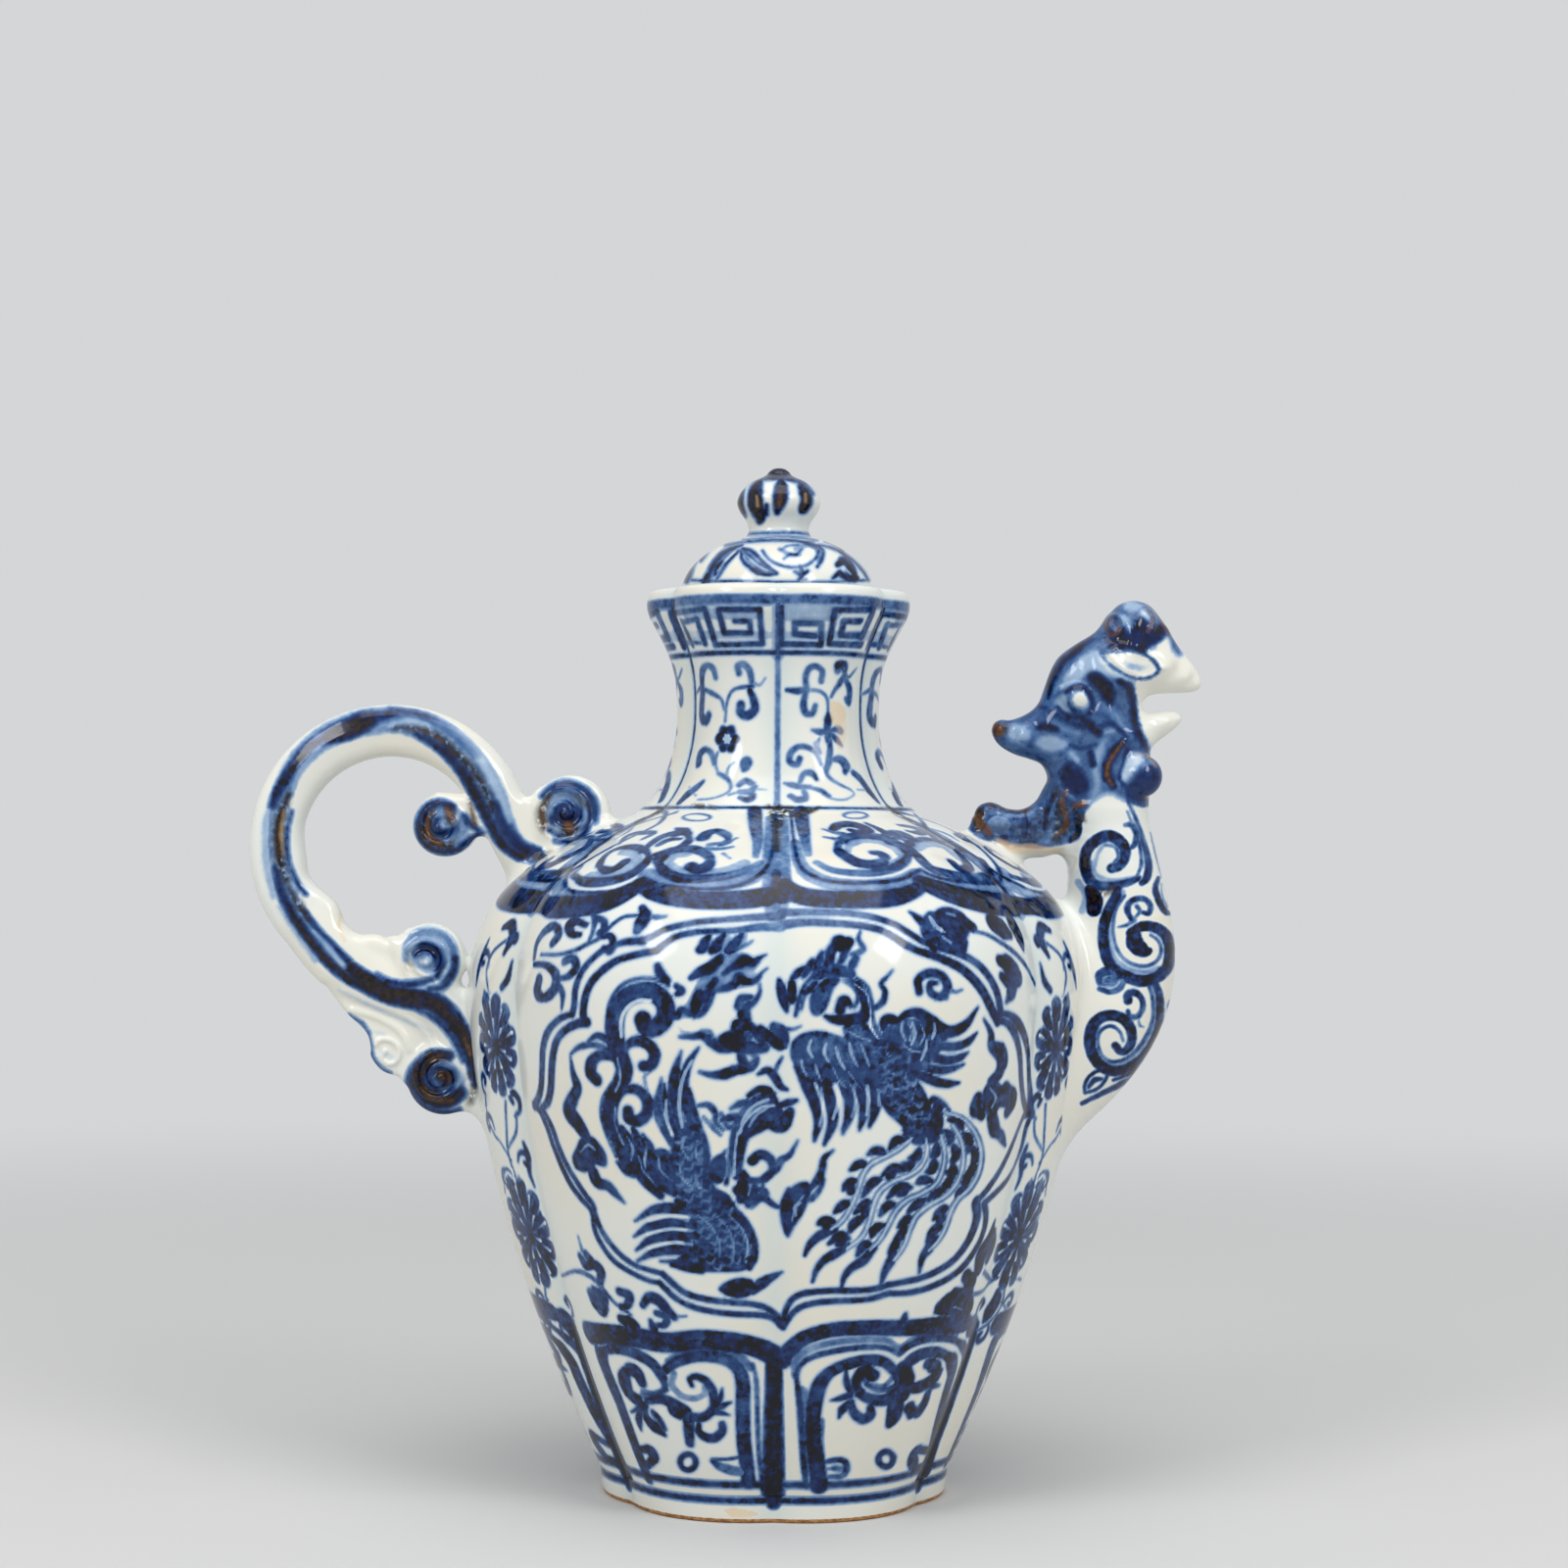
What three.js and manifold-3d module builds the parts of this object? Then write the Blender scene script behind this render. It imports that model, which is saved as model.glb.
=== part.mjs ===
// A phoenix-head ewer with its lid, in glazed porcelain. Millimetres, +Z up.
// The spout lies along +X and the handle along -X. Heights are above the foot's underside,
// and x counts from the ewer's own upright axis until the finished group is placed at the end.
import * as THREE from 'three';
import { mergeVertices } from 'three/addons/utils/BufferGeometryUtils.js';
import Module from 'manifold-3d';

const wasm = await Module();
wasm.setup();

// Driving dimensions: lobes
const lobes = 6;
const stepsPerLobe = 8;
const bodyGroove = 0.935; // radius in a groove over radius on a lobe
const lipGroove = 0.905;

// Driving dimensions: vessel
const footRadius = 52;
const footHeight = 8;
const footWall = 9;
const footChamfer = 1;
const ankleRadius = 53;
const bellyRadius = 93.9;
const bellyHeight = 152;
const lowerFullness = 1.68;
const neckRingRadius = 45.5;
const neckRingHeight = 205;
const waistRadius = 30.9;
const waistHeight = 235.5;
const lipRadius = 40.2;
const lipHeight = 273.9;
const lipRounding = 2.6;
const flareRadius = 39.4; // where the neck's flare turns upright
const flareDrop = 8.4; // from the lip down to there
const wall = 4.2;
const floorThickness = 6;
const bellySeamHeight = 104; // where the two thrown halves of the body are luted
const neckSeamHeight = 240; // where the flared lip is luted on to the neck
const throatRadius = 26.4;
const seatDrop = 3.9; // from the lip down to the ledge that carries the lid
const ledgeThickness = 3.2;

// Driving dimensions: lid
const lidRimRadius = 31.5;
const lidRimHeight = 2;
const domeRadius = 30;
const domeRise = 19.3;
const domeWall = 3.6;
const knobSeamRadius = 10;
const lidCollarDepth = 7.5;
const lidCollarWall = 3.5;
const knobRadius = 12.8;
const knobNeckRadius = 9.4;
const knobHeight = 21.4;

// Driving dimensions: spout and head
const spoutReach = 12.1; // from the belly's lobe out to the spout's axis where it stands furthest out
const spoutRadius = 15.8;
const spoutRootHeight = 129;
const spoutRootRadius = 17;
const spoutTopRise = 5; // from the neck ring up to the seam between spout and head
const spoutTopLean = 6; // from the spout's furthest axis back in to its top
const spoutTopRadius = 11.6;
const spoutWall = 3.8;
const pourHoleRadius = 11;
const pourHoleHeight = 141;
const headHeight = 61.4; // from the spout's top to the crown
const headDepth = 12; // half of the skull's width across the beak
const channelRadius = 3.3;
const beadRadius = 6.4;
const earRadius = 5.2;
const eyeLength = 8; // half of it, as the next two
const eyeHeight = 3.8;
const pelletRise = 2.8;
const bridgeReach = 33.4; // from the belly's lobe in to the bridge's end on the shoulder
const bridgeHalfDepth = 4.4;

// Driving dimensions: handle
const loopRadius = 35.4;
const loopReach = 25; // from the belly's lobe out to the loop's centre
const loopDrop = 10.1; // from the neck ring down to the loop's centre
const strapHalfWidth = 8;
const strapHalfDepth = 7;
const leafDepth = 6;
const largeScrollRadius = 10.2;
const smallScrollRadius = 8.6;
const scrollDepth = 12;
const bossRadius = 3;
const bossRise = 1;

// Clearances
const lutingGap = 0.3; // between neighbours that meet on curved faces
const lidSeatGap = 0.3;
const lidRunningGap = 0.6;
const throughCut = 2; // how far a cutting solid runs past what it cuts

const sweepSides = 12;
const roundSides = 28;

// A plain solid of a closed geometry.
function solidOf(geometry) {
  const bare = geometry.clone();
  bare.deleteAttribute('normal');
  bare.deleteAttribute('uv');
  const welded = mergeVertices(bare, 1e-4);
  return new wasm.Manifold(new wasm.Mesh({
    numProp: 3,
    vertProperties: new Float32Array(welded.attributes.position.array),
    triVerts: new Uint32Array(welded.index.array),
  }));
}

// A closed solid from rings of points. Each ring runs counterclockwise seen from the side that
// the rings travel towards, and a fan closes each end.
function solidOfRings(rings) {
  const count = rings[0].length;
  const lastRing = (rings.length - 1) * count;
  const centres = [rings[0], rings.at(-1)].map((ring) => ring
    .reduce((sum, point) => sum.add(point), new THREE.Vector3())
    .divideScalar(count));
  const points = [...rings.flat(), ...centres];
  const startCentre = points.length - 2;
  const endCentre = points.length - 1;
  const faces = [];
  for (let step = 0; step < count; step += 1) {
    const next = (step + 1) % count;
    for (let base = 0; base < lastRing; base += count) {
      faces.push(base + step, base + next, base + count + next);
      faces.push(base + step, base + count + next, base + count + step);
    }
    faces.push(startCentre, next, step);
    faces.push(endCentre, lastRing + step, lastRing + next);
  }
  return new wasm.Manifold(new wasm.Mesh({
    numProp: 3,
    vertProperties: new Float32Array(points.flatMap((point) => point.toArray())),
    triVerts: new Uint32Array(faces),
  }));
}

// How far out the surface lies at an angle, as a share of the radius on a lobe: each lobe is an
// arc of one circle whose centre is moved out from the axis, so that the arcs meet in grooves.
function lobeShare(angle, groove) {
  const half = Math.PI / lobes;
  const turn = angle + half;
  const fromLobe = turn - 2 * half * Math.floor(turn / (2 * half)) - half;
  const shift = (1 - groove ** 2) / (2 * (1 - groove * Math.cos(half)));
  const arcRadius = 1 - shift;
  return shift * Math.cos(fromLobe) + Math.sqrt(arcRadius ** 2 - (shift * Math.sin(fromLobe)) ** 2);
}

// The grooves deepen from the neck ring up to the lip.
function grooveAt(height) {
  const share = THREE.MathUtils.clamp((height - neckRingHeight) / (lipHeight - neckRingHeight), 0, 1);
  return THREE.MathUtils.lerp(bodyGroove, lipGroove, share);
}

function lobedRing(radius, height) {
  const count = lobes * stepsPerLobe;
  return Array.from({ length: count }, (_, step) => {
    const angle = (2 * Math.PI * step) / count;
    const reach = radius * lobeShare(angle, grooveAt(height));
    return new THREE.Vector3(reach * Math.cos(angle), reach * Math.sin(angle), height);
  });
}

function lobedSolid(outline) {
  return solidOfRings(outline.map(({ x, y }) => lobedRing(x, y)));
}

function roundRing(radius, height) {
  return Array.from({ length: roundSides }, (_, step) => {
    const angle = (2 * Math.PI * step) / roundSides;
    return new THREE.Vector3(radius * Math.cos(angle), radius * Math.sin(angle), height);
  });
}

function roundSolid(outline) {
  return solidOfRings(outline.map(([radius, height]) => roundRing(radius, height)));
}

const point = (radius, height) => new THREE.Vector2(radius, height);

// Points of an outline moved square to it: outwards by a positive distance.
function offsetOutline(outline, distance) {
  return outline.map((here, index) => {
    const before = outline[Math.max(index - 1, 0)];
    const after = outline[Math.min(index + 1, outline.length - 1)];
    const along = after.clone().sub(before).normalize();
    return point(here.x + along.y * distance, here.y - along.x * distance);
  });
}

function lowerBody() {
  const steps = 7;
  return Array.from({ length: steps }, (_, step) => {
    const height = THREE.MathUtils.lerp(footHeight, bellyHeight, step / steps);
    const drop = (bellyHeight - height) / (bellyHeight - footHeight);
    return point(bellyRadius - (bellyRadius - ankleRadius) * drop ** lowerFullness, height);
  });
}

function shoulder() {
  const rise = neckRingHeight - bellyHeight;
  const run = bellyRadius - neckRingRadius;
  const curve = new THREE.CubicBezierCurve(
    point(bellyRadius, bellyHeight),
    point(bellyRadius, bellyHeight + 0.49 * rise),
    point(neckRingRadius + 0.69 * run, neckRingHeight - 0.245 * rise),
    point(neckRingRadius, neckRingHeight),
  );
  return curve.getPoints(7).slice(0, -1);
}

function neckLine() {
  const rise = waistHeight - neckRingHeight;
  const run = neckRingRadius - waistRadius;
  const flareHeight = lipHeight - flareDrop;
  const flareRise = flareHeight - waistHeight;
  const lower = new THREE.CubicBezierCurve(
    point(neckRingRadius, neckRingHeight),
    point(neckRingRadius - 0.55 * run, neckRingHeight + 0.1 * rise),
    point(waistRadius, waistHeight - 0.46 * rise),
    point(waistRadius, waistHeight),
  );
  const upper = new THREE.CubicBezierCurve(
    point(waistRadius, waistHeight),
    point(waistRadius, waistHeight + 0.47 * flareRise),
    point(flareRadius - 0.8 * (flareRadius - waistRadius), flareHeight - 0.4 * flareRise),
    point(flareRadius, flareHeight),
  );
  return [...lower.getPoints(4).slice(0, -1), ...upper.getPoints(5)];
}

const bodyOutline = [...lowerBody(), ...shoulder(), ...neckLine()];
const outerOutline = [
  ...bodyOutline,
  point(lipRadius, lipHeight - 2.2 * lipRounding),
  point(lipRadius, lipHeight - lipRounding),
  point(lipRadius - 0.3 * lipRounding, lipHeight - 0.3 * lipRounding),
  point(lipRadius - lipRounding, lipHeight),
];

// The hollow: the outline moved in by the wall, from a rounded floor corner up through the mouth.
function cavityOutline() {
  const floorHeight = footHeight + floorThickness;
  const corner = 2 * wall;
  const walls = offsetOutline(bodyOutline, -wall).filter((here) => here.y > floorHeight + corner);
  const mouth = lipRadius - wall;
  const rolled = mouth + 0.4 * lipRounding;
  return [
    point(walls[0].x - 2 * corner, floorHeight),
    point(walls[0].x - 0.8 * corner, floorHeight + 0.3 * corner),
    ...walls,
    point(mouth, lipHeight - lipRounding),
    point(rolled, lipHeight - 0.4 * lipRounding),
    point(rolled, lipHeight + throughCut),
  ];
}

const seatHeight = lipHeight - seatDrop;
const bodyEnvelope = lobedSolid(offsetOutline(outerOutline, lutingGap));

function vesselSolid() {
  const outer = lobedSolid(outerOutline);
  const ledge = roundSolid([[lipRadius, seatHeight - ledgeThickness], [lipRadius, seatHeight]])
    .subtract(roundSolid([
      [throatRadius, seatHeight - ledgeThickness - throughCut],
      [throatRadius, seatHeight + throughCut],
    ]));
  return outer.subtract(lobedSolid(cavityOutline()).subtract(ledge));
}

function footRingSolid() {
  const ring = lobedSolid([
    point(footRadius - footChamfer, 0),
    point(footRadius, footChamfer),
    point(ankleRadius, footHeight),
  ]);
  const inner = footRadius - footWall;
  return ring.subtract(lobedSolid([point(inner, -throughCut), point(inner, footHeight + throughCut)]));
}

// A closed solid swept in the plane y = 0 through stations of [x, height, half width in that
// plane, half depth along Y]. Grow makes it fatter, as a cutter for its neighbours.
function sweep(stations, steps, grow = 0) {
  const path = new THREE.CatmullRomCurve3(stations.map(([x, z]) => new THREE.Vector3(x, 0, z)));
  const girth = new THREE.CatmullRomCurve3(
    stations.map(([, , width, depth]) => new THREE.Vector3(width, depth, 0)),
  );
  const rings = Array.from({ length: steps + 1 }, (_, step) => {
    const share = step / steps;
    const centre = path.getPoint(share);
    const ahead = path.getTangent(share);
    const across = new THREE.Vector3(ahead.z, 0, -ahead.x);
    const { x: width, y: depth } = girth.getPoint(share);
    return Array.from({ length: sweepSides }, (__, side) => {
      const angle = (2 * Math.PI * side) / sweepSides;
      return centre.clone()
        .addScaledVector(across, (width + grow) * Math.cos(angle))
        .add(new THREE.Vector3(0, (depth + grow) * Math.sin(angle), 0));
    });
  });
  return solidOfRings(rings);
}

// An ellipsoid by its centre and its half sizes along X, Y and Z.
function ellipsoid([x, y, z], [halfX, halfY, halfZ]) {
  const ball = new THREE.SphereGeometry(1, 14, 9);
  ball.rotateX(Math.PI / 2);
  ball.scale(halfX, halfY, halfZ);
  ball.translate(x, y, z);
  return solidOf(ball);
}

// A plate in the plane y = 0 from its outline of [x, height], centred on that plane.
function plate(corners, depth) {
  const shape = new THREE.Shape(corners.map(([x, z]) => point(x, z)));
  const slab = new THREE.ExtrudeGeometry(shape, { depth, bevelEnabled: false });
  slab.rotateX(Math.PI / 2);
  slab.translate(0, depth / 2, 0);
  return solidOf(slab);
}

const spoutX = bellyRadius + spoutReach;
const spoutTopX = spoutX - spoutTopLean;
const spoutTopHeight = neckRingHeight + spoutTopRise;

// The spout leaves the body low on the belly, swells and leans back in towards the head.
// Its first station lies inside the body, which cuts it off. Its heights are shares of the way
// from its root to its top, and its places inwards are in spout radii.
const spoutStation = (inwards, share, radius) => [
  spoutX - inwards * spoutRadius,
  THREE.MathUtils.lerp(spoutRootHeight, spoutTopHeight, share),
  radius,
];
const spoutStations = [
  spoutStation(2.4, -0.15, 1.12 * spoutRootRadius),
  spoutStation(1.14, 0, spoutRootRadius),
  spoutStation(0.28, 0.21, spoutRootRadius),
  spoutStation(0, 0.445, spoutRadius),
  spoutStation(0.22, 0.753, THREE.MathUtils.lerp(spoutTopRadius, spoutRadius, 0.57)),
  spoutStation(spoutTopLean / spoutRadius, 1.04, spoutTopRadius),
];

function spoutShape(change) {
  return sweep(spoutStations.map(([x, z, radius]) => [x, z, radius + change, radius + change]), 16);
}

const upperPart = (solid, height) => solid.trimByPlane([0, 0, 1], height);
const lowerPart = (solid, height) => solid.trimByPlane([0, 0, -1], -height);

function spoutSolid() {
  const tube = lowerPart(spoutShape(0).subtract(bodyEnvelope), spoutTopHeight);
  return tube.subtract(spoutShape(-spoutWall));
}

// The head's stations count from the top of the spout, at its axis: x, height and half width
// in head heights, half depth in head depths.
const fromSpoutTop = (x, z, width = 0, depth = 0) => [
  spoutTopX + x * headHeight,
  spoutTopHeight + z * headHeight,
  width * headHeight,
  depth * headDepth,
];

function headShape(grow) {
  const throat = sweep([
    fromSpoutTop(-0.016, -0.098, 0.212, 0.95),
    fromSpoutTop(-0.039, 0.033, 0.228, 0.97),
    fromSpoutTop(-0.049, 0.212, 0.238, 0.97),
    fromSpoutTop(-0.033, 0.375, 0.244, 0.95),
    fromSpoutTop(-0.008, 0.554, 0.244, 0.92),
  ], 7, grow);
  const upperBeak = sweep([
    fromSpoutTop(0.065, 0.684, 0.163, 0.67),
    fromSpoutTop(0.228, 0.676, 0.156, 0.58),
    fromSpoutTop(0.342, 0.635, 0.107, 0.42),
    fromSpoutTop(0.423, 0.599, 0.059, 0.25),
    fromSpoutTop(0.471, 0.573, 0.016, 0.07),
  ], 8, grow);
  const lowerBeak = sweep([
    fromSpoutTop(0.033, 0.375, 0.098, 0.58),
    fromSpoutTop(0.195, 0.388, 0.075, 0.42),
    fromSpoutTop(0.309, 0.397, 0.052, 0.25),
    fromSpoutTop(0.375, 0.402, 0.016, 0.08),
  ], 6, grow);
  const skull = headLump(-0.016, 0, 0.586, [0.303, 1, 0.252], grow);
  const crown = headLump(0.13, 0, 0.798, [0.189, 0.8, 0.202], grow);
  return wasm.Manifold.union([throat, upperBeak, lowerBeak, skull, crown]);
}

// An ellipsoid placed as the head's stations are. Its half sizes run along X, Y and Z.
function headLump(x, y, z, [halfX, halfY, halfZ], grow) {
  const [centreX, centreZ, width, depth] = fromSpoutTop(x, z, halfX, halfY);
  const sizes = [width + grow, depth + grow, halfZ * headHeight + grow];
  return ellipsoid([centreX, y * headDepth, centreZ], sizes);
}

// The pour channel climbs through the throat and turns out between the beaks.
function headChannel() {
  const bore = (x, z, radius, flare = 0) => [...fromSpoutTop(x, z).slice(0, 2), radius, radius + flare];
  const start = spoutTopRadius - spoutWall;
  return sweep([
    bore(0, -0.05, start),
    bore(-0.016, 0.13, THREE.MathUtils.lerp(channelRadius, start, 0.6)),
    bore(0, 0.326, THREE.MathUtils.lerp(channelRadius, start, 0.3)),
    bore(0.098, 0.463, channelRadius),
    bore(0.261, 0.485, channelRadius),
    bore(0.554, 0.492, 1.4 * channelRadius, 0.8 * channelRadius),
  ], 12);
}

const headEnvelope = upperPart(headShape(lutingGap), spoutTopHeight - lutingGap);

function hornSolid() {
  return sweep([
    fromSpoutTop(-0.065, 0.391, 0.163, 0.5),
    fromSpoutTop(-0.228, 0.35, 0.156, 0.45),
    fromSpoutTop(-0.375, 0.326, 0.117, 0.37),
    fromSpoutTop(-0.489, 0.336, 0.072, 0.25),
    fromSpoutTop(-0.557, 0.349, 0.026, 0.12),
  ], 8).subtract(headEnvelope);
}

// Beads, ears and eyes are pellets pressed on to both sides of the head. Side is 1 or -1.
function pellet(x, y, z, sizes, side) {
  const [centreX, centreZ] = fromSpoutTop(x, z);
  return ellipsoid([centreX, side * y * headDepth, centreZ], sizes).subtract(headEnvelope);
}

const beadSolid = (side) => pellet(0.163, 0.58, 0.13, [beadRadius, beadRadius, beadRadius], side);
const earSolid = (side) => pellet(-0.147, 0.87, 0.495, [earRadius, pelletRise, 0.88 * earRadius], side);
const eyeSolid = (side) => pellet(0.122, 0.75, 0.661, [eyeLength, pelletRise, eyeHeight], side);

// The crest below the nape reaches back as a bridge on to the shoulder. Its far end is a lobe.
function bridgeSolid() {
  const bridgeX = bellyRadius - bridgeReach;
  const station = (x, z, width) => [x, z, width * bridgeHalfDepth, bridgeHalfDepth];
  return sweep([
    station(bridgeX, neckRingHeight - 2, 0.5),
    station(bridgeX + 0.5 * bridgeHalfDepth, neckRingHeight - 1.4, 1.1),
    station(bridgeX + 1.4 * bridgeHalfDepth, neckRingHeight - 1.6, 1.25),
    station(bridgeX + 2.6 * bridgeHalfDepth, neckRingHeight - 4.8, 1.35),
    station(spoutTopX - 1.7 * spoutTopRadius, neckRingHeight - 3.5, 1.9),
    station(spoutTopX - 0.9 * spoutTopRadius, spoutTopHeight - 7, 2.2),
    station(spoutTopX, spoutTopHeight - 7, 2.2),
  ], 12)
    .subtract(bodyEnvelope)
    .subtract(spoutShape(lutingGap))
    .subtract(headEnvelope);
}

const loopX = -(bellyRadius + loopReach);
const loopHeight = neckRingHeight - loopDrop;

// Places on the handle count from the loop's centre, in loop radii.
const fromLoop = (x, z) => [loopX + x * loopRadius, loopHeight + z * loopRadius];

// The strap starts in the shoulder, runs round the loop as one arc and ends low on the belly.
// Both ends lie inside the body, which cuts them off. Widths are shares of the strap's own.
const strapStation = (x, z, width) => [...fromLoop(x, z), width * strapHalfWidth, strapHalfDepth];
const loopStart = THREE.MathUtils.degToRad(28);
const loopEnd = THREE.MathUtils.degToRad(224);
const loopSteps = 8;
const loopStations = Array.from({ length: loopSteps + 1 }, (_, step) => {
  const angle = THREE.MathUtils.lerp(loopStart, loopEnd, step / loopSteps);
  return strapStation(Math.cos(angle), Math.sin(angle) + 0.03, 1);
});
const strapStations = [
  strapStation(1.58, -0.79, 1),
  strapStation(1.23, -0.2, 0.93),
  strapStation(1.05, 0.14, 0.93),
  ...loopStations,
  strapStation(-0.45, -0.95, 1.12),
  strapStation(-0.13, -1.13, 1),
  strapStation(0.21, -1.27, 0.88),
  strapStation(0.46, -1.42, 0.81),
  strapStation(0.61, -1.66, 0.75),
  strapStation(0.72, -1.95, 0.75),
  strapStation(1.19, -2.43, 0.75),
];

const strapShape = (grow) => sweep(strapStations, 36, grow);
const strapEnvelope = strapShape(lutingGap);

// A rolled scroll: a drum with its axis along Y, a boss on each face and a stem to the strap.
function scrollShape({ centre, radius, stem }, grow) {
  const [x, z] = fromLoop(...centre);
  const drum = (size, depth) => {
    const shape = new THREE.CylinderGeometry(size, size, depth, 20);
    return solidOf(shape.translate(x, 0, z));
  };
  const web = plate(stem.map((corner) => fromLoop(...corner)), 0.92 * scrollDepth + 2 * grow);
  return drum(radius + grow, scrollDepth + 2 * grow)
    .add(drum(bossRadius, scrollDepth + 2 * (grow + bossRise)))
    .add(web);
}

const scrolls = {
  handle_scroll_upper_outer: {
    centre: [1.54, 0.31],
    radius: largeScrollRadius,
    stem: [[1.13, 0.4], [1.19, -0.17], [1.58, -0.34], [1.64, 0.11]],
  },
  handle_scroll_upper_inner: {
    centre: [0.49, 0.26],
    radius: smallScrollRadius,
    stem: [[0.45, 0.34], [0.65, 0.23], [1.02, 0.45], [0.56, 0.73]],
  },
  handle_scroll_lower_inner: {
    centre: [0.34, -0.91],
    radius: smallScrollRadius,
    stem: [[0.06, -1.24], [0.62, -1.41], [0.56, -0.96], [0.23, -0.93]],
  },
  handle_scroll_lower_outer: {
    centre: [0.41, -1.98],
    radius: largeScrollRadius,
    stem: [[0.45, -1.81], [0.34, -2.2], [0.9, -2.37], [0.73, -1.98]],
  },
};

const scrollSolid = (name) => scrollShape(scrolls[name], 0)
  .subtract(strapEnvelope)
  .subtract(bodyEnvelope);

// The leaf hangs from the strap and ends at the lower scroll. Its outer edge is ruffled.
function leafSolid() {
  const corners = [
    [-0.49, -1.23], [-0.44, -1.34], [-0.35, -1.45], [-0.25, -1.55], [-0.2, -1.65],
    [-0.19, -1.75], [-0.12, -1.85], [0.02, -1.95], [0.17, -2.03], [0.42, -1.92],
    [0.62, -1.64], [0.42, -1.38], [0.11, -1.26], [-0.23, -1.1], [-0.48, -0.96],
  ];
  return plate(corners.map((corner) => fromLoop(...corner)), leafDepth)
    .subtract(strapEnvelope)
    .subtract(scrollShape(scrolls.handle_scroll_lower_outer, lutingGap));
}

const lidHeight = seatHeight + lidSeatGap; // the underside of the lid's rim at rest
const domeTop = (() => {
  const share = knobSeamRadius / domeRadius;
  return lidHeight + lidRimHeight + domeRise * Math.sqrt(1 - share ** 2);
})();

function domeSolid() {
  const steps = 6;
  const widest = Math.acos(knobSeamRadius / domeRadius);
  const arc = (radius, rise, last) => Array.from({ length: steps + 1 }, (_, step) => {
    const angle = (last * step) / steps;
    return [radius * Math.cos(angle), lidHeight + lidRimHeight + rise * Math.sin(angle)];
  });
  const outer = roundSolid([
    [lidRimRadius, lidHeight],
    [lidRimRadius, lidHeight + 0.7 * lidRimHeight],
    ...arc(domeRadius, domeRise, widest),
  ]);
  const innerRadius = throatRadius - lidRunningGap - lidCollarWall + 1;
  const hollow = roundSolid([
    [innerRadius, lidHeight - throughCut],
    ...arc(innerRadius, domeRise - domeWall, 0.47 * Math.PI),
  ]);
  return outer.subtract(hollow);
}

function collarSolid() {
  const outer = throatRadius - lidRunningGap;
  const inner = outer - lidCollarWall;
  return roundSolid([[outer, lidHeight - lidCollarDepth], [outer, lidHeight]])
    .subtract(roundSolid([
      [inner, lidHeight - lidCollarDepth - throughCut],
      [inner, lidHeight + throughCut],
    ]));
}

function knobSolid() {
  const line = new THREE.SplineCurve([
    point(knobSeamRadius, 0),
    point(knobNeckRadius, 0.13 * knobHeight),
    point(knobRadius - 0.6, 0.34 * knobHeight),
    point(knobRadius, 0.48 * knobHeight),
    point(0.72 * knobRadius, 0.72 * knobHeight),
    point(0.34 * knobRadius, 0.88 * knobHeight),
    point(0.09 * knobRadius, knobHeight),
  ]);
  return roundSolid(line.getPoints(12).map(({ x, y }) => [x, domeTop + y]));
}

const glaze = { color: 0xe9ecec, roughness: 0.12, metalness: 0 };
const cobaltGlaze = { color: 0x3a5aa0, roughness: 0.12, metalness: 0 };
const biscuit = { color: 0xb88a62, roughness: 0.85, metalness: 0 };

const ewer = new THREE.Group();

function addMesh(name, solid, finish) {
  const mesh = solid.getMesh();
  const geometry = new THREE.BufferGeometry();
  geometry.setAttribute('position', new THREE.BufferAttribute(mesh.vertProperties, 3));
  geometry.setIndex(new THREE.BufferAttribute(mesh.triVerts, 1));
  geometry.computeVertexNormals();
  const piece = new THREE.Mesh(geometry, new THREE.MeshStandardMaterial(finish));
  piece.name = name;
  ewer.add(piece);
}

const vessel = vesselSolid();
const pourHole = (() => {
  const bore = new THREE.CylinderGeometry(pourHoleRadius, pourHoleRadius, 2 * bellyRadius, 24);
  bore.rotateZ(Math.PI / 2);
  bore.translate(bellyRadius + wall, 0, pourHoleHeight);
  return solidOf(bore);
})();
addMesh('foot_ring', footRingSolid(), biscuit);
addMesh('body_lower', lowerPart(vessel, bellySeamHeight), glaze);
addMesh(
  'body_upper',
  upperPart(lowerPart(vessel, neckRingHeight), bellySeamHeight).subtract(pourHole),
  glaze,
);
addMesh('neck', lowerPart(upperPart(vessel, neckRingHeight), neckSeamHeight), glaze);
addMesh('lip', upperPart(vessel, neckSeamHeight), glaze);
addMesh('spout', spoutSolid(), glaze);
addMesh('spout_bridge', bridgeSolid(), cobaltGlaze);
addMesh('phoenix_head', upperPart(headShape(0), spoutTopHeight).subtract(headChannel()), cobaltGlaze);
addMesh('head_horn', hornSolid(), cobaltGlaze);
for (const [sideName, side] of [['near', -1], ['far', 1]]) {
  addMesh(`head_bead_${sideName}`, beadSolid(side), cobaltGlaze);
  addMesh(`head_ear_${sideName}`, earSolid(side), glaze);
  addMesh(`head_eye_${sideName}`, eyeSolid(side), glaze);
}
addMesh('handle_strap', strapShape(0).subtract(bodyEnvelope), glaze);
Object.keys(scrolls).forEach((name) => addMesh(name, scrollSolid(name), cobaltGlaze));
addMesh('handle_leaf', leafSolid(), glaze);
addMesh('lid_dome', domeSolid(), glaze);
addMesh('lid_collar', collarSolid(), glaze);
addMesh('lid_knob', knobSolid(), cobaltGlaze);

// The finished ewer stands with the middle of its box, seen from above, over the origin.
const box = new THREE.Box3().setFromObject(ewer);
const middle = box.getCenter(new THREE.Vector3());
ewer.position.set(-middle.x, -middle.y, -box.min.z);

export default ewer;
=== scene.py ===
# A lobed blue and white porcelain ewer with a phoenix-head spout, a looped handle and a lid.
# Shapes are worked out in millimetres from the vessel's axis and stored in metres in the frame's place.
import math

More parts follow.
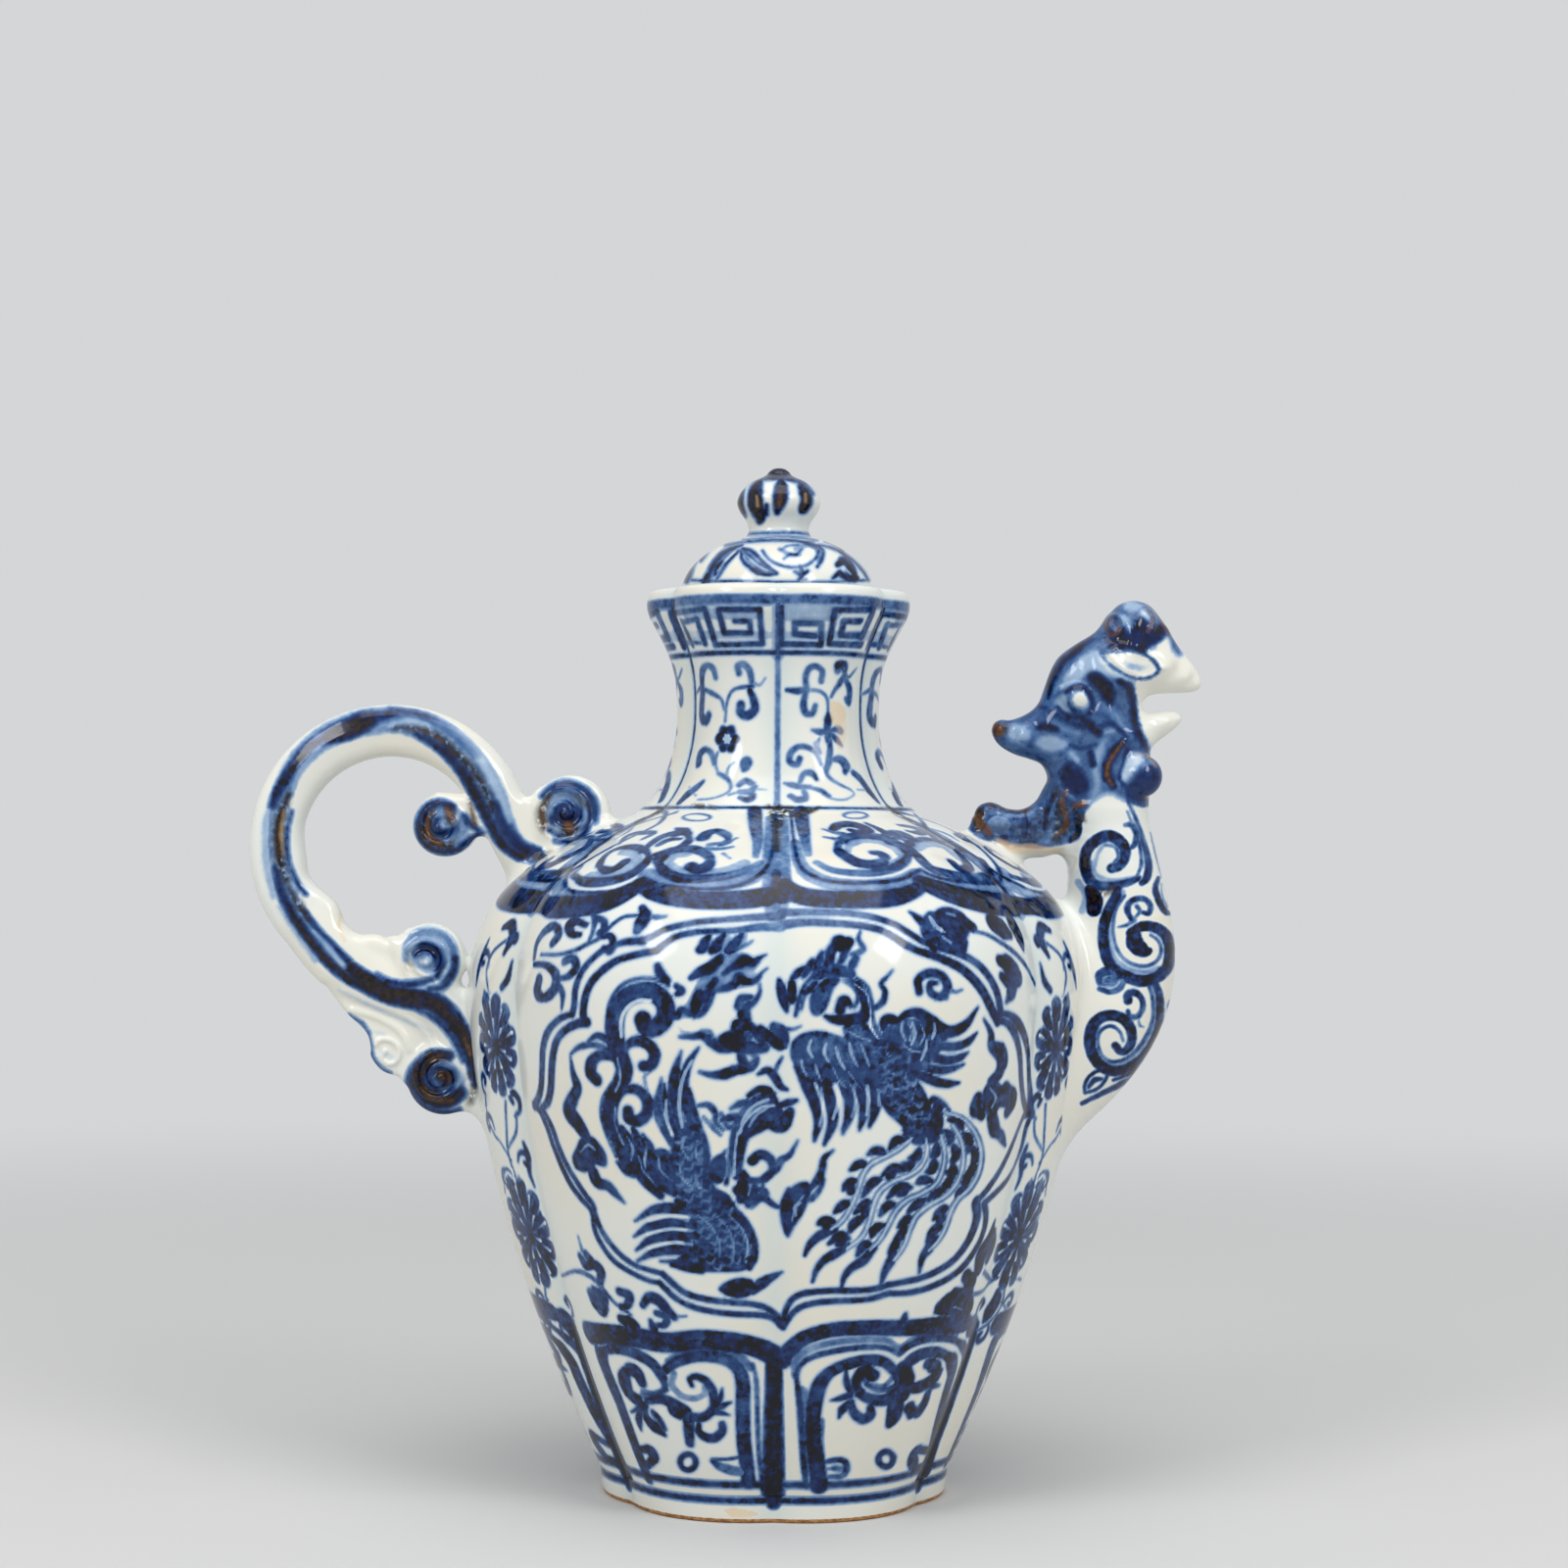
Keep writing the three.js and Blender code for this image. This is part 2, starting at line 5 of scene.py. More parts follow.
import bpy
import numpy as np
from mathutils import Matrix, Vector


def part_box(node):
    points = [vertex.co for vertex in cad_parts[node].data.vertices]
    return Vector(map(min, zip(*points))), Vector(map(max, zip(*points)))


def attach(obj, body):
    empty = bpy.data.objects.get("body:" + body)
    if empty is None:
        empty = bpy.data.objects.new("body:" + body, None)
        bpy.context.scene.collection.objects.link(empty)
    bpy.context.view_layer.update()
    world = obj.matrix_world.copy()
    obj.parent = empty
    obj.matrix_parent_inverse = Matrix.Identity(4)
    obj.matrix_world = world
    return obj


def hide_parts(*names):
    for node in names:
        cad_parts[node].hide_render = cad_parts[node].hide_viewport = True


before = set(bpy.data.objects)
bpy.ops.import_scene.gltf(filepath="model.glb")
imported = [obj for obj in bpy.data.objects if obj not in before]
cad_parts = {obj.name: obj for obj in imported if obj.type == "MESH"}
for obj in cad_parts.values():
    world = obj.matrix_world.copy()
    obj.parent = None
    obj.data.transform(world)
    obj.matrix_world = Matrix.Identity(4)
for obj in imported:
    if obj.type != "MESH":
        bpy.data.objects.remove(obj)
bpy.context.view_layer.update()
random = np.random.default_rng(7)
tiny = 1e-9  # keeps a division by nothing from failing


def millimetres(node):
    # A node's box in millimetres: lowest and highest corner.
    low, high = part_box(node)
    return np.array(low) * 1000, np.array(high) * 1000


axisX = float(sum(corner[0] for corner in millimetres("lid_knob")) / 2)

# The vessel's sizes come from its nodes; the shares shape the lines between them.
vessel = {
    "lobes": 6,
    "bodyGroove": 0.935,  # groove radius over lobe radius on the body
    "lipGroove": 0.905,
    "grooveSoftness": 0.008,
    "footRadius": millimetres("foot_ring")[1][0] - axisX - 1,
    "footHeight": millimetres("foot_ring")[1][2],
    "ankleRadius": millimetres("foot_ring")[1][0] - axisX,
    "footBore": 43,
    "footCurve": [(1.2, 0.0), (0.3, 0.35), (0, 1.2)],  # in from the foot's radius, and up
    "bellyRadius": axisX - millimetres("body_upper")[0][0],
    "bellyHeight": 152,
    "lowerFullness": 1.68,
    "shoulderPulls": (0, 0.49, 0.69, 0.245),  # a curve's inner corners, as shares of the way from each end
    "neckPulls": (0.55, 0.1, 0, 0.46),
    "flarePulls": (0, 0.47, 0.8, 0.4),
    "curveSteps": {"lower": 160, "shoulder": 120, "neck": 80},
    "neckRingRadius": 45.5,
    "neckRingHeight": millimetres("body_upper")[1][2],
    "waistRadius": 30.9,
    "waistHeight": 235.5,
    "flareRadius": 39.4,
    "flareHeight": 265.5,
    "lipRadius": 40.2,
    "lipHeight": millimetres("lip")[1][2],
    "lipRounding": 2.6,
    "wall": 4.2,
    "floorThickness": 6,
    "throatRadius": 26.4,
    "ledgeThickness": 3.2,
    "ledgeBevel": 0.8,
    "hollowHeights": (257, 248),  # rows of the hollow between the ledge and the neck's seam
    "seatDrop": 3.9,
    "leastSlope": 0.04,  # of the outline's steepness, squared
}

# The camera stands where the photograph was taken from. Pixels are the photograph's own, of 1600.
shot = {
    "frame": 1600,
    "focal": 3250,  # in pixels
    "distance": 975,  # from the vessel's axis
    "aside": 2.0,  # to the right of the axis
    "height": 197,
    "horizon": 860,  # the row at the camera's own height
    "roll": 0.3,  # degrees
    "halvings": 40,  # of a ray's stretch, to find where it meets the vessel
}


def cameraAxes():
    # The camera's place, and its right, up and forward directions, from its tilt and roll.
    tilt = math.atan((shot["horizon"] - shot["frame"] / 2) / shot["focal"])
    roll = math.radians(shot["roll"])
    ahead = np.array([0, math.cos(tilt), math.sin(tilt)])
    rise = np.array([0, -math.sin(tilt), math.cos(tilt)])
    across = np.array([1.0, 0, 0])
    right = math.cos(roll) * across + math.sin(roll) * rise
    up = math.cos(roll) * rise - math.sin(roll) * across
    return np.array([shot["aside"], -shot["distance"], shot["height"]]), right, up, ahead


def pixelRays(pixels):
    # The camera's place, and each pixel's direction, one long along Y.
    eye, right, up, ahead = cameraAxes()
    pixels = np.asarray(pixels, float)
    across = (pixels[:, :1] - shot["frame"] / 2) / shot["focal"]
    above = (shot["frame"] / 2 - pixels[:, 1:]) / shot["focal"]
    rays = ahead + across * right + above * up
    return eye, rays / rays[:, 1:2]


def sidePlane(pixels):
    # Where pixels meet the plane through the spout and the handle, as x and height.
    eye, rays = pixelRays(pixels)
    return (eye - rays * eye[1])[:, [0, 2]]


# Outlines

def bezier(first, second, third, fourth, steps):
    # A cubic curve: the four corners weighed by (1-t)^3, 3t(1-t)^2, 3t^2(1-t) and t^3.
    t = np.linspace(0, 1, steps)[:, None]
    corners = [np.array(corner, float) for corner in (first, second, third, fourth)]
    weights = ((1 - t) ** 3, 3 * t * (1 - t) ** 2, 3 * t * t * (1 - t), t ** 3)
    return sum(weight * corner for weight, corner in zip(weights, corners))


def smoothLine(points, steps=8, closed=False):
    # A Catmull-Rom curve through points of any number of values.
    points = np.asarray(points, float)
    if closed:
        padded = np.vstack([points[-1:], points, points[:2]])
    else:
        padded = np.vstack([2 * points[0] - points[1], points, 2 * points[-1] - points[-2]])
    t = np.linspace(0, 1, steps, endpoint=False)[None, :, None]
    a, b, c, d = (padded[i:len(padded) - 3 + i][:, None, :] for i in range(4))
    curve = 0.5 * (2 * b + (c - a) * t + (2 * a - 5 * b + 4 * c - d) * t ** 2
                   + (3 * b - a - 3 * c + d) * t ** 3)
    curve = curve.reshape(-1, points.shape[1])
    return curve if closed else np.vstack([curve, points[-1:]])


def pulledCurve(start, end, pulls, steps):
    # A cubic curve of radius and height. Its inner corners lie at shares of the way from either end.
    start, end = np.array(start), np.array(end)
    way = end - start
    return bezier(start, start + way * pulls[:2], end - way * pulls[2:], end, steps)


def vesselLine():
    # The outer outline from the foot's edge to the lip, as radius and height.
    # The lower body narrows by the lowerFullness power of the way down; the rest is cubic curves.
    v = vessel
    belly, ring, waist, flare = [
        (v[name + "Radius"], v[name + "Height"]) for name in ("belly", "neckRing", "waist", "flare")]
    steps = v["curveSteps"]
    drop = np.linspace(1, 0, steps["lower"])
    parts = [
        np.c_[belly[0] - (belly[0] - v["ankleRadius"]) * drop ** v["lowerFullness"],
              belly[1] - drop * (belly[1] - v["footHeight"])],
        pulledCurve(belly, ring, v["shoulderPulls"], steps["shoulder"]),
        pulledCurve(ring, waist, v["neckPulls"], steps["neck"]),
        pulledCurve(waist, flare, v["flarePulls"], steps["neck"]),
    ]
    radius, top, rounding = v["lipRadius"], v["lipHeight"], v["lipRounding"]
    lip = smoothLine([
        flare, (radius, top - 2.2 * rounding), (radius, top - rounding),
        (radius - 0.3 * rounding, top - 0.3 * rounding), (radius - rounding, top),
    ])
    return np.vstack([part[:-1] for part in parts] + [lip])


outerLine = vesselLine()
lineRun = np.r_[0, np.cumsum(np.hypot(*np.diff(outerLine, axis=0).T))]  # length along the outline
lineSteepness = np.sqrt(np.clip(1 - np.gradient(outerLine[:, 0], lineRun) ** 2, vessel["leastSlope"], 1))


def radiusAt(height):
    # The outline's radius at a height.
    return np.interp(height, outerLine[:, 1], outerLine[:, 0])


def runAt(height):
    # The length along the outline up to a height.
    return np.interp(height, outerLine[:, 1], lineRun)


def heightAt(run):
    # The height at a length along the outline.
    return np.interp(run, lineRun, outerLine[:, 1])


def grooveAt(height):
    # The groove radius over the lobe radius, from the body's share to the lip's.
    low, high = vessel["neckRingHeight"], vessel["lipHeight"]
    return np.interp(height, [low, high], [vessel["bodyGroove"], vessel["lipGroove"]])


def lobeShare(angle, groove):
    # A radius's share of the lobe radius, by the angle from the front and the groove's share.
    # Each lobe is an arc of a circle moved out from the axis; a soft maximum joins two arcs.
    width = 2 * math.pi / vessel["lobes"]
    shift = (1 - groove ** 2) / (2 * (1 - groove * math.cos(width / 2)))

    def arc(turn):
        return shift * np.cos(turn) + np.sqrt((1 - shift) ** 2 - (shift * np.sin(turn)) ** 2)

    turn = np.abs(np.mod(angle, width) - width / 2)
    near, far = arc(turn), arc(width - turn)
    return 0.5 * (near + far + np.sqrt((near - far) ** 2 + vessel["grooveSoftness"] ** 2))


def onVessel(angle, height):
    # Points on the outer face, by the angle from the front towards the spout, and the height.
    reach = radiusAt(height) * lobeShare(angle, grooveAt(height))
    return np.stack(np.broadcast_arrays(
        reach * np.sin(angle), -reach * np.cos(angle), height), axis=-1)


def vesselGap(x, y, z):
    # The distance out from the vessel's face, near enough for blending.
    steepness = np.interp(z, outerLine[:, 1], lineSteepness)
    reach = radiusAt(z) * lobeShare(np.arctan2(x, -y), grooveAt(z))
    return (np.sqrt(x * x + y * y) - reach) * steepness


def pixelsOnVessel(pixels):
    # Where pixels meet the vessel's face, as angle and height, by halving the stretch of each ray
    # between a place before the belly and the axis.
    eye, rays = pixelRays(pixels)
    near = np.full(len(rays), shot["distance"] - 1.2 * vessel["bellyRadius"])
    far = np.full(len(rays), float(shot["distance"]))
    for _ in range(shot["halvings"]):
        middle = (near + far) / 2
        x, y, z = (eye + rays * middle[:, None]).T
        outside = vesselGap(x, y, z) > 0
        near = np.where(outside, middle, near)
        far = np.where(outside, far, middle)
    return np.c_[np.arctan2(x, -y), z]


# Meshes

def putMesh(name, corners, quads, triangles=None, normals=None):
    # A smooth mesh object from corner places in millimetres and corner numbers of its faces.
    triangles = np.zeros((0, 3), int) if triangles is None else triangles
    mesh = bpy.data.meshes.new(name)
    places = (np.asarray(corners, float) + [axisX, 0, 0]) / 1000
    mesh.vertices.add(len(places))
    mesh.vertices.foreach_set("co", places.astype(np.float32).ravel())
    mesh.loops.add(quads.size + triangles.size)
    mesh.loops.foreach_set("vertex_index", np.r_[quads.ravel(), triangles.ravel()].astype(np.int32))
    starts = np.r_[np.arange(len(quads)) * 4, quads.size + np.arange(len(triangles)) * 3]
    mesh.polygons.add(len(starts))
    mesh.polygons.foreach_set("loop_start", starts.astype(np.int32))
    mesh.update(calc_edges=True)
    mesh.polygons.foreach_set("use_smooth", np.ones(len(starts), bool))
    mesh.update()
    if normals is not None:
        mesh.normals_split_custom_set_from_vertices(normals.tolist())
    piece = bpy.data.objects.new(name, mesh)
    bpy.context.scene.collection.objects.link(piece)
    return piece


def setPaint(piece, layers):
    # Stores painted layers, one number for each corner, as named attributes.
    for name, values in layers.items():
        attribute = piece.data.attributes.new(name, "FLOAT", "POINT")
        attribute.data.foreach_set("value", np.asarray(values, np.float32).ravel())


def gridFaces(rows, columns, closedRows):
    # Corner numbers of a grid's faces. Columns close on themselves; rows do if asked.
    last = rows if closedRows else rows - 1
    row, column = np.meshgrid(np.arange(last), np.arange(columns), indexing="ij")
    after, beside = (row + 1) % rows, (column + 1) % columns
    return np.stack([row * columns + column, row * columns + beside,
                     after * columns + beside, after * columns + column], -1).reshape(-1, 4)


def gridNormals(corners):
    # Directions out of a grid's face: the step along the columns crossed with the step along the rows.
    across = np.roll(corners, -1, axis=1) - np.roll(corners, 1, axis=1)
    along = np.gradient(corners, axis=0)
    normals = np.cross(across, along)
    return normals / np.maximum(np.linalg.norm(normals, axis=-1, keepdims=True), tiny)


def fullTurn(columns):
    # The angles of a ring's columns, from behind round to behind.
    return np.linspace(-math.pi, math.pi, columns, endpoint=False)


def turnedGrid(reach, heights, angle):
    # Corners of rows carried round the axis, from their reach by row and column and their heights.
    return np.stack([reach * np.sin(angle), -reach * np.cos(angle),
                     np.broadcast_to(heights[:, None], reach.shape)], -1)


def closedRing(corners, poles):
    # A turned grid's points, quads and triangles. With poles, two more points on the axis close its
    # first and last rows; without them the last row joins the first.
    rows, columns = corners.shape[:2]
    points = corners.reshape(-1, 3)
    quads = gridFaces(rows, columns, not poles)
    if not poles:
        return points, quads, None
    here = np.arange(columns)
    beside = (here + 1) % columns
    last = (rows - 1) * columns
    triangles = np.vstack([
        np.c_[beside, here, np.full(columns, len(points))],
        np.c_[last + here, last + beside, np.full(columns, len(points) + 1)],
    ])
    return np.vstack([points, [0, 0, corners[0, 0, 2]], [0, 0, corners[-1, 0, 2]]]), quads, triangles


def evenRows(line, step):
    # A line of radius and height, cut again at even steps along its length.
    run = np.r_[0, np.cumsum(np.hypot(*np.diff(line, axis=0).T))]
    count = max(2, int(round(run[-1] / step)) + 1)
    where = np.linspace(0, run[-1], count)
    return np.c_[np.interp(where, run, line[:, 0]), np.interp(where, run, line[:, 1])]


def outerStretch(low, high, step):
    # The outer outline between two heights, at even steps.
    inside = (outerLine[:, 1] > low) & (outerLine[:, 1] < high)
    ends = [[(radiusAt(h), h)] for h in (low, high)]
    return evenRows(np.vstack([ends[0], outerLine[inside], ends[1]]), step)


# Fields: distances that are negative inside a shape. Their zero level becomes the mesh.

def stretchGap(x, z, start, end):
    # The distance to a straight stretch, and the share of the way along it where it is nearest.
    dx, dz = end - start
    share = np.clip(((x - start[0]) * dx + (z - start[1]) * dz) / (dx * dx + dz * dz + tiny), 0, 1)
    return np.hypot(x - start[0] - share * dx, z - start[1] - share * dz), share


def nearestOnLine(x, z, line, sizes):
    # The distance in the side plane to a line, and the size carried along it at that place.
    # Each stretch is tried in turn and the one that leaves the least distance less size is kept.
    best, gap, size = None, None, None
    for i, (start, end) in enumerate(zip(line[:-1], line[1:])):
        distance, share = stretchGap(x, z, start, end)
        here = sizes[i] + share * (sizes[i + 1] - sizes[i])
        score = distance - here
        if best is None:
            best, gap, size = score, distance, here
            continue
        nearer = score < best
        best = np.where(nearer, score, best)
        gap = np.where(nearer, distance, gap)
        size = np.where(nearer, here, size)
    return gap, size


def outlineGap(x, z, corners):
    # The distance to a closed outline in the side plane, negative inside, by counting crossings.
    gap, inside = None, None
    for start, end in zip(corners, np.roll(corners, -1, axis=0)):
        distance, _ = stretchGap(x, z, start, end)
        rise = end[1] - start[1]
        spans = (start[1] > z) != (end[1] > z)
        crossing = spans & (x < start[0] + (z - start[1]) * (end[0] - start[0]) / (rise if rise else tiny))
        gap = distance if gap is None else np.minimum(gap, distance)
        inside = crossing if inside is None else inside ^ crossing
    return np.where(inside, -gap, gap)


def roundedPlate(gap, y, half, edge):
    # A plate of a half depth with its edges rounded, by its outline's gap.
    outward, above = gap + edge, np.abs(y) - (half - edge)
    inner = np.minimum(np.maximum(outward, above), 0)
    return inner + np.hypot(np.maximum(outward, 0), np.maximum(above, 0)) - edge


def fuse(first, second, width):
    # A union whose corner is filled over a width, as slip fills a join.
    overlap = np.maximum(width - np.abs(first - second), 0) / width
    return np.minimum(first, second) - overlap ** 2 * width / 4


def ball(x, y, z, centre, sizes):
    # An ellipsoid's near distance: its scaled radius less one, times its least half size.
    scaled = np.sqrt(sum(((v - middle) / half) ** 2 for v, middle, half in zip((x, y, z), centre, sizes)))
    return (scaled - 1) * min(sizes)


def skinOf(field, low, high, step):
    # The mesh of a field's zero level: one corner in each cell that it crosses, at the mean of the
    # crossings on the cell's edges, then moved along the field's slope to lie on the level.
    sizes = [int(math.ceil((far - near) / step)) + 1 for near, far in zip(low, high)]
    axes = [near + step * np.arange(count) for near, count in zip(low, sizes)]
    x, y, z = np.meshgrid(*axes, indexing="ij", sparse=True)
    values = np.broadcast_to(field(x, y, z), sizes)
    negative = values < 0
    strides = np.array([sizes[1] * sizes[2], sizes[2], 1])
    cells, places, quads = [], [], []
    for axis in range(3):
        before = [slice(None)] * 3
        after = [slice(None)] * 3
        before[axis], after[axis] = slice(None, -1), slice(1, None)
        crossing = np.argwhere(negative[tuple(before)] != negative[tuple(after)])
        start = values[tuple(before)][tuple(crossing.T)]
        end = values[tuple(after)][tuple(crossing.T)]
        place = crossing.astype(float)
        place[:, axis] += start / (start - end)
        # The four cells round a crossed edge give one face
        one, two = [other for other in range(3) if other != axis]
        corner = crossing @ strides
        around = [corner, corner - strides[one], corner - strides[one] - strides[two],
                  corner - strides[two]]
        cells += around
        places += [place] * 4
        ring = np.stack(around, -1)
        flip = (start < 0) == (axis == 1)
        quads.append(np.where(flip[:, None], ring[:, ::-1], ring))
    numbers, owner = np.unique(np.concatenate(cells), return_inverse=True)
    places = np.concatenate(places)
    counts = np.bincount(owner)
    corners = np.stack([np.bincount(owner, places[:, i]) / counts for i in range(3)], -1)
    corners = corners * step + np.array(low)
    reach, leastSteepness = 0.1 * step, 0.2
    value = field(*corners.T)
    slope = np.stack([field(*(corners + reach * offset).T) - value for offset in np.eye(3)], -1) / reach
    move = value[:, None] * slope / np.maximum((slope ** 2).sum(-1, keepdims=True), leastSteepness)
    corners = corners - np.clip(move, -0.5 * step, 0.5 * step)
    return corners, np.searchsorted(numbers, np.concatenate(quads))


# Vessel

bodyGrid = {
    "columns": 912,
    "step": 0.62,
    "neckColumns": 480,
    "neckStep": 0.42,
    "neckInnerStep": 3,
    "footColumns": 600,
    "footStep": 0.5,
    "innerStep": 7,
    "underRows": 8,
    "poleRadius": 1,  # of the row nearest the axis
    "floorBend": [(4, 1.5), (12, 0)],  # in from the hollow's lowest row, and up from its floor
    "floorClear": 5,  # the hollow's wall starts this far above its floor
    "floorMiddle": 20,
    "seams": [8, 58, 104, 152, 186, 205],
    "names": ["body_foot_band", "body_lower_wall", "body_upper_wall", "body_shoulder", "body_neck_root"],
}


def vesselGrid(rows, angle):
    # Rows of radius and height carried round the lobes.
    reach = rows[:, :1] * lobeShare(angle[None], grooveAt(rows[:, 1])[:, None])
    return turnedGrid(reach, rows[:, 1], angle)


def vesselRing(name, outer, inner, columns, poles=False, joins=(True, True)):
    # A ring of the vessel's wall: its outer rows, then its inner rows back down, closed by a face
    # at each end. With poles, both ends of the rows close on the axis. Where an end joins the next
    # ring, the outline's next row beyond it gives the outer face one slope across the join.
    angle = fullTurn(columns)
    corners = vesselGrid(np.vstack([outer, inner]), angle)
    points, quads, triangles = closedRing(corners, poles)
    beyond = []
    for row, joined, side in ((outer[0], joins[0], -1), (outer[-1], joins[1], 1)):
        run = runAt(row[1]) + side * bodyGrid["step"]
        beyond.append([[radiusAt(heightAt(run)), heightAt(run)]] if joined else np.zeros((0, 2)))
    outside = gridNormals(vesselGrid(np.vstack([beyond[0], outer, beyond[1]]), angle))
    outside = outside[len(beyond[0]):len(beyond[0]) + len(outer)]
    normals = np.vstack([outside.reshape(-1, 3), gridNormals(corners[len(outer):]).reshape(-1, 3)])
    if poles:
        normals = np.vstack([normals, [0, 0, -1], [0, 0, 1]])
    return putMesh(name, points, quads, triangles, normals)


def wallInside(outer, step):
    # The hollow's rows behind the outer ones, from the top down, moved in by the wall.
    rows = evenRows(outer, step)[::-1]
    return np.c_[rows[:, 0] - vessel["wall"], rows[:, 1]]


def footBand(name, outer, inner):
    # The lowest ring, with a flat underside and the hollow's floor.
    low = outer[0, 1]
    floor = low + vessel["floorThickness"]
    rows = bodyGrid["underRows"]
    under = np.c_[np.linspace(bodyGrid["poleRadius"], vessel["footRadius"], rows), np.full(rows, low)]
    above = inner[inner[:, 1] > floor + bodyGrid["floorClear"]]
    bend = [(above[-1, 0] - inwards, floor + up) for inwards, up in bodyGrid["floorBend"]]
    bottom = [*bend, (bodyGrid["floorMiddle"], floor), (bodyGrid["poleRadius"], floor)]
    return vesselRing(name, np.vstack([under, outer]), np.vstack([above, bottom]),
                      bodyGrid["columns"], poles=True, joins=(False, True))


vesselPieces = {}
seams = bodyGrid["seams"]
bodyRows = [outerStretch(low, high, bodyGrid["step"]) for low, high in zip(seams[:-1], seams[1:])]
for name, outer in zip(bodyGrid["names"], bodyRows):
    inner = wallInside(outer, bodyGrid["innerStep"])
    if name == bodyGrid["names"][0]:
        vesselPieces[name] = footBand(name, outer, inner)
    else:
        vesselPieces[name] = vesselRing(name, outer, inner, bodyGrid["columns"])
print("body rings made")

neckSeam = millimetres("neck")[1][2]
neckOuter = outerStretch(vessel["neckRingHeight"], neckSeam, bodyGrid["neckStep"])
vesselPieces["neck_wall"] = vesselRing(
    "neck_wall", neckOuter, wallInside(neckOuter, bodyGrid["neckInnerStep"]), bodyGrid["neckColumns"])

# The lip turns over and drops to the seat that carries the lid; below it a ledge narrows the throat
lipRadius, lipTop, rounding = vessel["lipRadius"], vessel["lipHeight"], vessel["lipRounding"]
seat = lipTop - vessel["seatDrop"]
lipOuter = evenRows(np.vstack([
    outerStretch(neckSeam, lipTop - 0.01, 0.2),
    smoothLine([
        (lipRadius - rounding, lipTop), (lipRadius - 1.5 * rounding, lipTop - 0.35),
        (lipRadius - 2 * rounding, lipTop - 1.2), (lipRadius - 2.15 * rounding, seat + 0.5),
    ])]), bodyGrid["neckStep"])
ledge = seat - vessel["ledgeThickness"]
throat, bevel = vessel["throatRadius"], vessel["ledgeBevel"]
lipInner = np.array([
    (lipRadius - 2.3 * rounding, seat), (throat + bevel, seat), (throat, seat - bevel),
    (throat, ledge + bevel), (throat + bevel, ledge),
    *[(radiusAt(height) - vessel["wall"], height)
      for height in (ledge - 1, *vessel["hollowHeights"], neckSeam)],
])
vesselPieces["lip_wall"] = vesselRing(
    "lip_wall", lipOuter, lipInner, bodyGrid["neckColumns"], joins=(True, False))

footCurve = [(vessel["footRadius"] - inwards, up) for inwards, up in vessel["footCurve"]]
footOuter = evenRows(np.array([
    (vessel["footBore"] + 1, 0.0), *footCurve, (vessel["ankleRadius"], vessel["footHeight"]),
]), bodyGrid["footStep"])
footInner = np.array([(vessel["footBore"], vessel["footHeight"]), (vessel["footBore"], 1.0)])
vesselPieces["foot_rim"] = vesselRing(
    "foot_rim", footOuter, footInner, bodyGrid["footColumns"], joins=(False, False))
print("neck, lip and foot made")

# Lid

lid = {
    "underside": millimetres("lid_dome")[0][2],
    "rimRadius": 31.5,
    "rimHeight": 2,
    "domeRadius": 30,
    "domeRise": 19.3,
    "domeWall": 3.6,
    "knobSeam": 10.4,
    "knobRadius": 12.8,
    "knobNeck": 9.3,
    "knobTop": millimetres("lid_knob")[1][2],
    "knobFoot": 2.2,  # below the dome's top
    "collarDepth": 7.5,
    "collarRise": 0.4,  # above the lid's underside
    "columns": {"dome": 360, "collar": 240, "knob": 280},
    "steps": {"dome": 0.42, "collar": 0.8, "knob": 0.35},
}
lid["collarRadius"] = (millimetres("lid_collar")[1][0] - millimetres("lid_collar")[0][0]) / 2


def lathe(name, rows, columns, poles=True):
    # A turned piece from rows of radius and height. Poles close its ends on the axis; without them
    # the last row joins the first.
    corners = turnedGrid(rows[:, :1] * np.ones(columns), rows[:, 1], fullTurn(columns))
    return putMesh(name, *closedRing(corners, poles)), corners.reshape(-1, 3)


# Dome: its rim and outer face, a step in under the knob, and the hollow back down to the rim
under, rimRadius = lid["underside"], lid["rimRadius"]
domeBase = under + lid["rimHeight"]
turn = np.linspace(0, math.acos(lid["knobSeam"] / lid["domeRadius"]), 60)
domeArc = np.c_[lid["domeRadius"] * np.cos(turn), domeBase + lid["domeRise"] * np.sin(turn)]
domeOuter = evenRows(np.vstack([
    (rimRadius - 0.7, under), (rimRadius, under + 0.6), (rimRadius, domeBase - 0.7),
    (rimRadius - 0.6, domeBase - 0.1), domeArc[1:]]), lid["steps"]["dome"])
innerRadius = lid["collarRadius"] - 3
turn = np.linspace(0, 0.47 * math.pi, 14)
domeInner = np.c_[innerRadius * np.cos(turn),
                  domeBase + (lid["domeRise"] - lid["domeWall"]) * np.sin(turn)][::-1]
domeInner[-1, 1] = under
domeTop = domeArc[-1]
domeRows = np.vstack([domeOuter, [[domeTop[0] - 2, domeTop[1] + 0.1]], domeInner])
lidDome, domeCorners = lathe("lid_cover", domeRows, lid["columns"]["dome"], poles=False)

# Collar: a ring with its lower edges cut back
collarRadius, collarTop = lid["collarRadius"], under + lid["collarRise"]
collarBase = collarTop - lid["collarDepth"]
collarRows = evenRows(np.array([
    (collarRadius, collarTop), (collarRadius, collarTop - 0.6), (collarRadius, collarBase + 0.4),
    (collarRadius - 0.8, collarBase - 0.4), (collarRadius - 2.7, collarBase - 0.4),
    (collarRadius - 3.5, collarBase + 0.4), (collarRadius - 3.5, collarTop),
]), lid["steps"]["collar"])[::-1]
lidCollar, _ = lathe("lid_flange", collarRows, lid["columns"]["collar"], poles=False)

